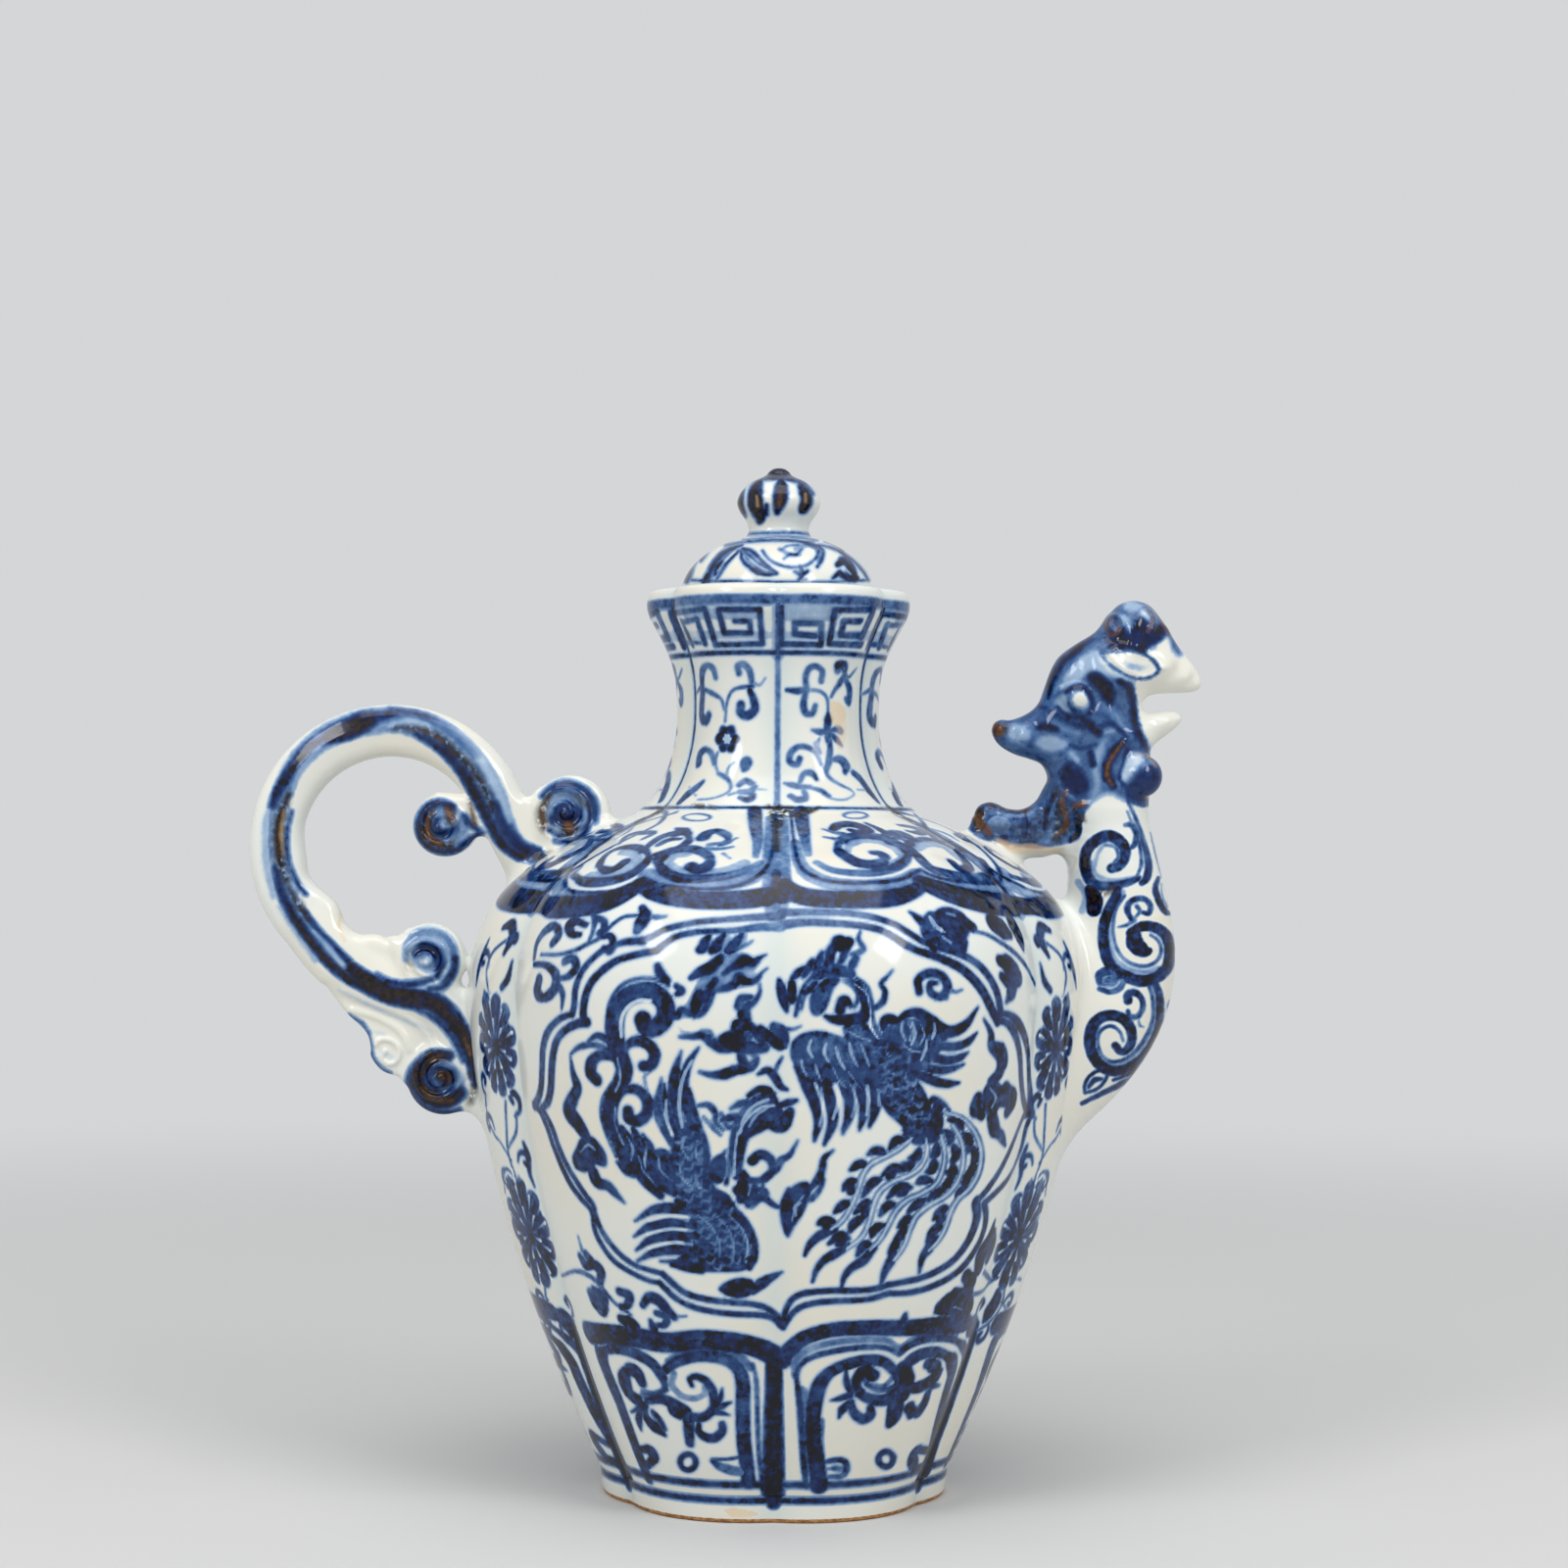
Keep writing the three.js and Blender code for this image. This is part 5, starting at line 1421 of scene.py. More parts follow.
        ((9, 11), 0.98, [970,942, 978,944]), ((6, 6), 0.97, [956,960, 958,962]),
        ((2, 7, 9), 0.82, [929,931, 938,938, 946,946]),
        ((7, 9, 5), 0.86, [975,966, 981,970, 985,961]), ((7, 8), 0.86, [948,958, 953,967]),
        ((6, 8), 0.8, [986,940, 992,946]),
        ((6, 9, 9, 6), 0.97, [756,1163, 766,1155, 778,1149, 788,1143]),
        ((7, 11, 8), 0.97, [789,1127, 793,1136, 795,1145]),
        ((4, 6, 5, 3), 0.88, [764,1118, 774,1112, 784,1112, 792,1122]),
        ((3, 7, 6), 0.72, [746,1131, 754,1127, 762,1125]),
        ((3, 7, 7), 0.72, [736,1143, 744,1141, 752,1139]),
        ((8, 12, 8), 0.92, [757,1200, 758,1212, 756,1224]),
        ((5, 9, 7), 0.9, [770,1210, 769,1220, 764,1229]), ((3, 4, 3), 0.6, [778,1208, 777,1222, 767,1232]),
        ((10, 12), 0.98, [720,1264, 724,1268]), ((8, 9), 0.96, [729,1276, 733,1280]),
        ((9, 9), 0.95, [742,1247, 748,1251]),
        ((8, 8), 0.97, [652,1198, 656,1203]), ((7, 9), 0.97, [692,1226, 696,1229]),
        ((7, 9), 0.96, [710,1223, 716,1226]),
        ((6, 7), 0.95, [716,1188, 719,1193]), ((6, 7), 0.95, [701,1161, 704,1166]),
        ((8, 9), 0.95, [738,1226, 745,1230]),
        ((5, 6, 5), 0.9, [686,1290, 700,1294, 716,1297]),
        ((3, 6, 5, 4), 0.62, [818,1226, 828,1223, 836,1214, 840,1204]),
        ((8, 9, 7, 4), 0.98, [806,1216, 801,1230, 801,1246, 803,1258]),
        ((5, 7, 6, 3), 0.95, [588,1190, 600,1184, 610,1178, 616,1184]),
        ((7, 8), 0.97, [606,1196, 610,1206]),
        # clouds
        ((3, 8, 10, 7), 0.8, [724,955, 719,961, 717,967, 714,969]),
        ((3, 8, 11, 8), 0.86, [739,953, 734,960, 731,966, 727,970]),
        ((3, 8, 11, 8), 0.86, [757,953, 752,960, 748,966, 743,970]),
        ((4, 3, 1), 0.5, [752,968, 762,964, 768,960]),
        ((5, 9, 11, 10, 7), (0.6, 0.85, 0.9, 0.95), [705,998, 714,992, 724,988, 731,982, 735,977]),
        ((4, 6, 9, 11, 8, 3, 1), (0.6, 0.8, 0.95, 0.9, 0.6),
         [738,994, 746,988, 754,984, 760,980, 768,982, 776,977, 782,974]),
        ((4, 7, 7, 8, 9, 7, 5, 2, 1), (0.5, 0.6, 0.8, 0.95, 0.85, 0.6),
         [722,1008, 732,1009, 742,1008, 750,1003, 754,997, 760,1001, 770,1001, 777,993, 783,988]),
        ((8, 10, 9, 8, 8, 6), (0.9, 0.97, 0.9, 0.85, 0.8, 0.8),
         [709,1035, 710,1025, 714,1015, 719,1020, 724,1011, 730,1000]),
        ((4, 6, 5, 6, 5, 6, 5), (0.6, 0.75, 0.6, 0.7),
         [684,1037, 691,1037, 695,1030, 703,1034, 714,1036, 722,1026, 728,1012]),
        ((6, 9, 8), 0.95, [671,986, 674,994, 680,1001]), ((5, 8, 5), 0.75, [690,1006, 695,1011, 691,1014]),
        ((2, 3, 5, 9, 12, 12, 10), (0.6, 0.7, 0.75, 0.85, 0.95),
         [775,1004, 775,1013, 770,1022, 762,1027, 759,1034, 760,1042, 757,1050]),
        ((5, 8, 9), 0.7, [766,1018, 757,1019, 754,1027]),
        ((10, 13, 12, 9), 0.97, [752,1046, 752,1056, 758,1064, 768,1068]),
        ((7, 9, 8, 6), 0.86, [762,1044, 768,1050, 774,1057, 778,1064]),
        ((5, 7, 5), 0.72, [760,1052, 764,1058, 762,1064]),
        ((7, 11, 10, 7), 0.98, [776,1050, 783,1057, 790,1063, 796,1068]),
        ((10, 15, 12, 7), 0.7, [790,1048, 796,1053, 799,1060, 800,1067]),
        ((4, 3, 1), 0.55, [802,1050, 810,1050, 817,1047]),
        ((3, 5, 7, 10, 12, 10), (0.6, 0.6, 0.7, 0.85, 0.9),
         [694,1058, 706,1058, 716,1056, 726,1063, 736,1068, 750,1068]),
        ((12, 15, 12), 0.98, [738,1062, 745,1060, 752,1060]),
        ((3, 4, 3), 0.55, [716,1052, 724,1053, 728,1060]),
        ((12, 12, 9), 0.86, [752,1068, 766,1070, 780,1069]),
        ((8, 9, 10, 8, 5, 4), (0.85, 0.8, 0.75, 0.7, 0.6),
         [757,1068, 757,1080, 762,1088, 769,1086, 772,1080, 768,1077]),
        ((3, 6, 10, 9, 9, 8), (0.6, 0.75, 0.95, 0.85, 0.8),
         [714,1094, 727,1097, 740,1096, 750,1092, 758,1091, 766,1089]),
        ((7, 8), 0.98, [738,1097, 744,1094]),
    ],
    "cloudWashes": [
        (0.36,
         [712,1000, 722,985, 734,975, 760,972, 764,985, 776,981, 770,992, 778,997, 766,1006, 745,1010,
          728,1006, 722,1030,
                706,1038, 686,1040, 684,1034, 700,1024]),
        (0.3, [716,962, 724,954, 732,962, 742,952, 750,960, 762,952, 760,966, 744,972, 720,972]),
        (0.34, [690,1046, 700,1052, 720,1054, 726,1058, 716,1062, 700,1058]),
    ],
    "leftFeathers": [
        ((13, 14, 14, 13, 12), (0.85, 0.75, 0.75, 0.85, 0.95),
         [630,1075, 627,1055, 628,1035, 636,1020, 650,1013, 665,1012, 677,1022, 679,1037, 670,1048,
          660,1049, 656,1041]),
        (2.4, 0.62, [624,1062, 620,1042, 623,1022, 634,1006, 650,999, 668,999, 682,1006]),
        ((11, 12, 12, 11, 9, 7), 0.85,
         [629,1060, 633,1078, 637,1092, 632,1108, 624,1122, 622,1140, 627,1158, 634,1175, 645,1192]),
        (2.2, 0.6, [623,1070, 630,1084, 631,1096, 623,1108, 615,1122, 614,1140, 620,1160, 629,1180]),
        ((3, 8, 8, 7), (0.7, 0.8, 0.85, 0.95),
         [636,1078, 640,1067, 651,1062, 662,1066, 668,1076, 664,1087, 656,1088]),
        ((3, 7, 8, 7), (0.7, 0.8, 0.8, 0.9), [631,1086, 624,1078, 612,1077, 604,1084, 603,1095, 609,1102]),
        ((1, 4, 4, 2), 0.68, [582,1076, 590,1069, 602,1066, 614,1068, 624,1074]),
        ((2, 5, 4), 0.7, [600,1063, 609,1057, 619,1061, 627,1071]),
        ((3, 7, 8, 8, 7), (0.7, 0.75, 0.8, 0.85, 0.95),
         [628,1124, 637,1113, 650,1112, 660,1122, 660,1136, 651,1144, 642,1141, 641,1134]),
        ((1, 2, 1), 0.45, [666,1092, 658,1098, 659,1108, 662,1116]),
        ((5, 9, 8, 5), 0.75, [634,1152, 641,1166, 636,1180, 644,1196]),
        ((3, 9, 10, 8, 5), 0.75, [646,1152, 653,1168, 649,1186, 658,1204, 674,1220]),
        ((2, 6, 8, 5), 0.7, [656,1158, 664,1172, 664,1190, 674,1208, 688,1218]),
        ((2, 5, 4), 0.7, [630,1186, 640,1196, 652,1200]),
        ((4, 7, 6, 1), 0.62, [686,1168, 677,1150, 671,1132, 674,1112, 675,1100]),
        ((3, 6, 5, 1), 0.8, [692,1160, 684,1142, 679,1124, 678,1106]),
        ((5, 8, 7, 1), 0.78, [698,1160, 691,1134, 687,1110, 690,1090, 695,1073]),
        ((5, 7, 6, 1), 0.74, [706,1152, 699,1124, 698,1102, 703,1084, 713,1069]),
        ((3, 5, 4), 0.7, [716,1156, 708,1134, 702,1112]),
        ((6, 8, 6, 1), 0.78, [710,1238, 686,1233, 666,1235, 648,1246]),
        ((6, 8, 6, 1), 0.76, [710,1250, 684,1248, 662,1252, 647,1262]),
        ((6, 8, 6, 1), 0.78, [712,1263, 686,1261, 664,1265, 649,1276]),
        ((6, 8, 6, 1), 0.8, [712,1277, 690,1275, 668,1278, 650,1287]),
        ((4, 6, 4, 1), 0.85, [745,1295, 718,1293, 696,1288, 674,1287]),
        (3.4, 0.78, [748,1232, 762,1248, 770,1266, 771,1282, 765,1294]),
        ((3, 4, 4, 3), 0.7, [741,1208, 745,1190, 747,1170, 750,1150, 760,1131, 774,1119, 790,1116]),
        ((6, 9, 9, 7), (0.75, 0.85, 0.9, 0.85), [752,1200, 753,1180, 757,1162, 768,1146, 782,1138]),
        ((2, 5, 6, 5, 2), 0.72, [774,1096, 783,1092, 790,1098, 796,1108, 803,1112]),
        ((1, 3, 2), 0.6, [789,1100, 793,1088, 798,1079]),
        ((4, 5, 2), 0.8, [796,1128, 805,1125, 813,1123]), ((3, 6, 5), 0.75, [800,1140, 806,1134, 804,1146]),
        ((2, 5, 4, 2), 0.6, [713,1128, 723,1128, 730,1136, 730,1145, 738,1153]),
        ((2, 3, 2), 0.55, [718,1140, 727,1150, 735,1158]),
        ((2, 4, 5, 3), 0.62, [736,1136, 743,1150, 755,1146, 764,1132]),
        ((7, 6, 5, 4), (0.9, 0.8, 0.75, 0.7),
         [768,1184, 776,1178, 786,1183, 788,1194, 780,1203, 766,1205, 758,1196]),
        ((5, 6, 4, 1), 0.75, [780,1202, 792,1192, 797,1184, 806,1178, 814,1164]),
        ((6, 7, 4, 1), 0.78, [752,1214, 764,1226, 778,1222, 790,1230, 798,1233]),
        ((3, 5, 2), 0.7, [768,1212, 780,1216, 784,1226]),
        ((1, 5, 8, 9, 6), (0.6, 0.8, 0.9, 0.9),
         [582,1078, 585,1096, 589,1110, 584,1122, 581,1134, 590,1147, 598,1160]),
        ((6, 7, 5, 1), 0.82, [603,1192, 609,1206, 620,1210, 629,1219, 637,1227]),
        ((7, 8, 5, 1), 0.75, [768,1316, 778,1309, 788,1303, 798,1298]),
        ((3, 6, 5, 4, 1), 0.8, [824,1216, 835,1203, 839,1192, 841,1182, 850,1174]),
        ((1, 4, 6, 6, 5), 0.82, [1004,1040, 1011,1054, 1012,1068, 1021,1080, 1020,1094, 1011,1104]),
        ((4, 8, 5, 1), 0.8, [1010,1064, 1021,1072, 1024,1086, 1016,1096]),
        ((7, 9, 7), 0.88, [998,1122, 996,1132, 1002,1138]),
        ((8, 8, 5), 0.85, [1026,1112, 1033,1122, 1028,1134]),
        ((7, 8, 5, 1), 0.8, [1012,1138, 1015,1152, 1022,1160, 1026,1169]),
        ((5, 6, 6, 5, 3), 0.78,
         [938,1012, 937,1000, 948,993, 961,996, 967,1008, 960,1017, 950,1013, 949,1004, 956,1003]),
        ((3, 1), 0.5, [966,1006, 974,1012, 982,1010]), ((4, 3), 0.6, [955,1018, 966,1018]),
    ],
    "leftVeins": [
        ((2, 3, 1.4), 0.6, [949,936, 955,945, 964,951]), ((1.4, 2), 0.5, [962,956, 970,962]),
        ((1.4, 2), 0.5, [966,932, 974,934]),
        (2.2, 0.75, [634,1058, 634,1040, 641,1027, 652,1021, 664,1021]),
        ((1.4, 1.6), 0.6, [630,1080, 633,1100, 628,1114]),
        ((1, 1.5), 0.5, [628,1130, 628,1148, 636,1168]),
        (1.5, 0.7, [749,1200, 750,1178, 753,1158, 763,1141, 777,1130, 790,1128]),
        ((1, 1.5, 1), 0.5, [698,1160, 696,1172, 702,1182]),
        ((1, 1.5, 1), 0.5, [712,1164, 710,1178, 716,1188]),
        ((1, 1.5, 1), 0.5, [694,1190, 696,1202, 704,1210]),
        ((1, 1.5, 1), 0.5, [710,1196, 712,1210, 722,1216]),
        ((1, 1.5, 1), 0.5, [672,1182, 674,1194, 682,1202]),
        ((1, 1.5), 0.45, [712,1240, 726,1252, 734,1268, 734,1286]),
        ((1, 1.5), 0.45, [728,1240, 742,1252, 748,1268, 748,1288]),
        ((1, 1.5), 0.55, [744,1240, 757,1254, 763,1270, 761,1288]),
        ((1, 1.5, 1), 0.5, [592,1176, 600,1168, 608,1174]),
        ((1, 1.4, 1), 0.5, [808,1246, 812,1232, 820,1220]),
        ((1, 1.5, 1), 0.5, [640,1160, 646,1172, 644,1184]),
        ((1, 1.5, 1), 0.5, [652,1180, 656,1194, 666,1206]),
        ((1, 1.4, 1), 0.5, [1010,1110, 1016,1120, 1012,1130]),
        ((1, 1.4), 0.4, [702,1246, 684,1242, 664,1245]),
        ((1.8, 2.2, 2), 0.6, [755,1156, 760,1140, 770,1128, 784,1122]),
        ((1.4, 1.8, 1.4), 0.5, [764,1150, 772,1138, 784,1130]),
        ((2, 2.4, 2), 0.6, [812,1240, 811,1232, 816,1228]),
        ((2, 2.4, 1.4), 0.6, [686,1158, 680,1140, 680,1122]),
        ((2, 2.6, 1.6), 0.6, [696,1150, 693,1126, 697,1100, 706,1082]),
        ((2, 2.4, 1.6), 0.55, [704,1242, 684,1241, 662,1246]),
        ((2, 2.4, 1.6), 0.55, [706,1256, 684,1254, 660,1260]),
        ((2, 2.4, 1.6), 0.5, [706,1270, 686,1268, 662,1274]),
    ],
}
blots = phoenixes["rightBlots"] + phoenixes["leftBlots"]
# Which blots have scales, and their turn and size
scaled = ((1, 62, 9), (7, 95, 9.5), (8, 60, 11), (9, 70, 10))
drawBlots(bodyCanvas, blots, frontAndBack)
drawBlots(bodyCanvas, phoenixes["cloudWashes"], frontAndBack, "wash")
drawStrokes(bodyCanvas, phoenixes["rightFeathers"] + phoenixes["leftMarks"], frontAndBack)
drawStrokes(bodyCanvas, phoenixes["leftFeathers"], frontAndBack, wider=1.35)
for tail in phoenixes["tails"]:
    drawStrokes(bodyCanvas, plume(*tail), frontAndBack)
    drawStrokes(bodyCanvas, [(2.2, 0.6, tail[0])], frontAndBack, "lift")
for number, lean, size in scaled:
    arcs, flecks = scales(blots[number][1], lean, size)
    drawStrokes(bodyCanvas, flecks, frontAndBack)
    drawStrokes(bodyCanvas, arcs, frontAndBack, "lift")
drawStrokes(bodyCanvas, phoenixes["rightVeins"], frontAndBack, "lift")
drawStrokes(bodyCanvas, phoenixes["leftVeins"], frontAndBack, "lift", wider=1.5)
print("phoenixes drawn")

# Sprays in the corners outside the cartouche
sprays = [
    ((1.5, 2.5, 2.5, 1.5), 0.62, [552,974, 570,974, 586,970, 600,963, 612,957, 622,946, 636,936, 652,934]),
    ((2, 3, 4), 0.65, [600,963, 605,950, 606,936, 600,927]),
    ((3, 6, 6, 4), 0.82, [592,954, 584,953, 581,945, 587,940, 598,944]),
    ((3, 5, 5), 0.75, [606,946, 608,938, 616,940, 616,950, 612,952]),
    ((3, 5, 6, 5), 0.75, [614,956, 622,955, 626,962, 622,970, 616,968]),
    ((2, 4, 5, 4), 0.7, [545,978, 548,962, 556,950, 566,945, 570,954, 564,962]),
    ((5, 9, 9, 5), (0.7, 0.85, 0.7), [655,926, 658,934, 654,942, 650,950]),
    ((2, 4, 1), 0.5, [662,934, 670,936, 680,935]),
    ((3, 6, 6, 5), 0.72, [545,984, 557,985, 567,995, 565,1010, 555,1018, 548,1012, 550,1000]),
    ((3, 5, 6, 5), 0.72, [570,999, 580,996, 588,987, 584,978, 576,981]),
    ((4, 4, 1), 0.65, [568,1003, 574,1014, 573,1030]),
    ((1, 2), 0.5, [590,1262, 594,1276]),
    ((3, 6, 6, 5), 0.8, [592,1282, 598,1291, 607,1291, 613,1298, 612,1308]),
    ((4, 5), 0.75, [598,1280, 604,1288]),
    ((1.5, 2.5, 2, 1.5), 0.6, [573,1302, 588,1297, 603,1303, 615,1315, 628,1330, 644,1342]),
    ((5, 9, 7), 0.7, [603,1320, 609,1328, 614,1336]), ((4, 5), 0.7, [606,1316, 616,1322, 617,1334]),
    ((5, 6, 5), 0.8, [632,1318, 642,1322, 640,1332, 634,1334]),
    ((5, 8, 7, 5), 0.75, [656,1332, 662,1324, 672,1327, 680,1336, 688,1344]),
    ((2, 1), 0.5, [682,1338, 692,1343, 700,1343]), ((5, 9, 7), 0.85, [634,1346, 642,1350, 648,1354]),
    ((4, 6, 3), 0.7, [670,1340, 680,1344, 678,1352, 670,1352]),
    ((1.5, 2.2, 2.2, 1.6), 0.62, [985,949, 1005,953, 1020,961, 1035,972, 1047,986, 1056,1004]),
    ((9, 10, 4), 0.95, [1014,942, 1022,947, 1030,953]),
    ((2, 9, 8, 2), 0.92, [1026,930, 1034,944, 1040,956, 1044,968]),
    ((6, 10, 8), 0.85, [1020,980, 1028,984, 1036,992]),
    ((4, 8, 7, 2), 0.82, [1026,988, 1033,1000, 1032,1012, 1027,1022]),
    ((5, 7, 3), 0.8, [1036,990, 1039,998, 1034,1006]), ((4, 6), 0.85, [1022,996, 1028,1002]),
    ((2, 5, 1), 0.6, [930,932, 938,938, 946,946]),
    ((8, 10, 9), 0.92, [960,1334, 972,1326, 984,1330]), ((6, 9, 8), 0.9, [974,1318, 986,1322, 988,1336]),
    ((8, 9, 6), 0.92, [986,1302, 990,1310, 984,1322]), ((3, 7, 4), 0.85, [955,1338, 966,1338, 980,1340]),
    ((1.5, 2, 2, 1.5), 0.6, [988,1322, 1002,1318, 1010,1308, 1020,1303, 1034,1303, 1042,1306]),
    ((7, 10, 7, 1), 0.95, [999,1294, 1002,1280, 1009,1266, 1015,1246]),
    ((5, 8, 4), 0.85, [1008,1284, 1012,1272, 1014,1258]),
    ((3, 8, 8, 2), 0.9, [1018,1318, 1016,1328, 1010,1338, 1004,1348]),
    ((1.5, 2), 0.6, [1012,1308, 1004,1298]),
]
drawStrokes(bodyCanvas, sprays, frontAndBack, wider=1.3)

# Lotus scrolls on the two side lobes: two dark blooms on a climbing stem each side of the handle and the
# spout, drawn in mm across and up from each bloom

lotus = {
    "centre": 0.375 * math.pi,  # 67.5 degrees: half way between the groove and the spout
    "blooms": [(136.5, 15.5), (80.5, 17)],  # height, size
    "petals": [  # count, start and end as shares of the size, width and a shift in petals
        (7, 0.1, 0.45, 0.46, 0.2), (9, 0.35, 0.75, 0.48, 0.5), (11, 0.6, 1.0, 0.48, 0),
    ],
    "narrow": 0.72,  # a bloom's width over its height
    "uneven": (0.12, 0.16),  # of the petals' angles and lengths
    "least": 0.92,  # of a petal's length
    "lean": (0.3, 1.12, 0.94),  # petals that point up more than this are longer and the rest shorter
    "gapEnd": 1.03,  # petal lengths
    "swelling": 1.5,  # times the brush's own
}
sidePlaces = [(1, 0), (-1, 0), (1, math.pi), (-1, math.pi)]


def localPath(centre, points):
    # Millimetres across and up the face from a centre of angle and height, as angle and height.
    points = np.asarray(points, float)
    height = heightAt(runAt(centre[1]) + points[:, 1])
    reach = radiusAt(height) * lobeShare(np.full(len(points), centre[0]), grooveAt(height))
    return np.c_[centre[0] + points[:, 0] / reach, height]


def drawLocal(height, strokes, layer="line"):
    # Strokes of width in mm, strength and points in mm from a centre at a height, on all four sides.
    for width, tone, points in strokes:
        places = localPath((lotus["centre"], height), np.reshape(points, (-1, 2)))
        path = smoothLine(places, brush["strokeSteps"])
        half = spread(width, len(path)) / 2 + lotus["swelling"] * brush["swelling"]
        tones = unevenTone(tone, len(path))
        for sense, turn in sidePlaces:
            bodyCanvas.stroke(layer, turned(path, sense, turn), half, tones)


def bloom(size):
    # Rings of pointed petals about a heart. Each petal is a thick stroke outwards, darkest at its
    # root, with a light vein; light gaps part it from the next one.
    def way(turn):
        return np.array([lotus["narrow"] * math.cos(turn), math.sin(turn)]) * size

    strokes, veins = [], []
    unevenTurn, unevenLength = lotus["uneven"]
    steep, longer, shorter = lotus["lean"]
    for count, inner, outer, wide, shift in lotus["petals"]:
        widths = (wide * size * 0.45, wide * size * 0.8, wide * size * 0.5, 0.3)
        for petal in range(count):
            turn = 2 * math.pi * (petal + shift) / count + unevenTurn * (random.random() - 0.5)
            far = outer * (lotus["least"] + unevenLength * random.random())
            far = far * (longer if math.sin(turn) > steep else shorter)
            middle = (inner + far) * 0.5
            out, gap = way(turn), way(turn + math.pi / count)
            points = np.array([out * inner, out * middle, out * (far * 0.85), out * far])
            strokes.append((widths, (0.88, 0.68, 0.56, 0.5), points.ravel()))
            points = np.array([gap * (inner + 0.1), gap * middle, gap * far * lotus["gapEnd"]])
            veins.append(((0.35, 0.6, 1.0), (0.22, 0.42, 0.85), points.ravel()))
            points = np.array([out * (inner + 0.08), out * (inner + far) * 0.52])
            veins.append(((0.3, 0.4), 0.3, points.ravel()))
    return strokes, veins


def curledLeaf(x, y, turn, size, sense=1):
    # A hooked leaf: a thick stroke that bends round to a rolled tip.
    hook = np.array([(0, 0), (0.35, 0.3), (0.8, 0.25), (1.0, -0.15), (0.75, -0.4), (0.55, -0.2)])
    across, along = math.cos(turn), math.sin(turn)
    points = hook * [size, sense * size] @ np.array([[across, along], [-along, across]]) + [x, y]
    widths = (0.5, 0.2 * size, 0.26 * size, 0.24 * size, 0.16 * size)
    return widths, (0.65, 0.75, 0.85, 0.9), points.ravel()


for height, size in lotus["blooms"]:
    strokes, veins = bloom(size)
    drawLocal(height, strokes)
    drawLocal(height, veins, "lift")
    heart = [((1.2 * size, 1.1 * size), 0.5, [0, -0.25 * size, 0, 0.05 * size, 0, 0.3 * size])]
    drawLocal(height, heart, "wash")
stems = [  # height, and the stems and leaves round it: between the blooms, below them and above them
    (108.5, [
        ((0.6, 0.8, 0.8), 0.6, [0,-12, 2,-4, 0,4, -2,12]),
        ((0.5, 0.7, 0.7), 0.6, [1,-6, 6,-1, 10,1, 14,6, 13,12]),
        ((0.5, 0.7, 0.7), 0.6, [1,-2, -5,3, -7,9]),
        ((0.5, 0.8, 0.6), 0.6, [0,-12, 5,-9, 9,-11, 12,-17]),
        curledLeaf(-6, 8, 1.9, 7), curledLeaf(9, 3, 0.4, 7), curledLeaf(-3, -6, 2.8, 6, -1),
        curledLeaf(7, -9, 5.2, 6), curledLeaf(12, 13, 1.4, 6, -1),
        ((1, 2.4, 1.4, 0.4), 0.85, [-8,0, -9,-4, -8,-9, -9,-13]),
    ]),
    (61, [
        ((0.6, 0.8, 0.8), 0.6, [0,5, 2,-1, -2,-6, -8,-8, -11,-5]),
        ((0.5, 0.7), 0.6, [1,0, 6,-3, 8,-9]),
        curledLeaf(-10, -4, 1.9, 6), curledLeaf(-3, -6, 4.6, 6), curledLeaf(7, -6, 5.2, 6, -1),
        curledLeaf(3, -1, 0.3, 6),
    ]),
    (160, [
        ((0.5, 0.8, 0.6), 0.6, [2,-8, 5,-2, 3,4, -3,8]),
        ((1, 3, 3.4, 1.4), 0.88, [-4,4, -6,9, -3,13, 1,12]),
        curledLeaf(4, 0, 0.6, 6.5), curledLeaf(-4, 7, 2.5, 5, -1),
        ((0.5, 2.2, 2, 0.4), 0.8, [8,8, 10,3, 12,-2, 13,-6]),
        ((0.4, 2.0, 1.6), 0.82, [-9,2, -8,-3, -5,-6]),
    ]),
]
for height, strokes in stems:
    drawLocal(height, strokes)
print("sprays and lotus scrolls drawn")

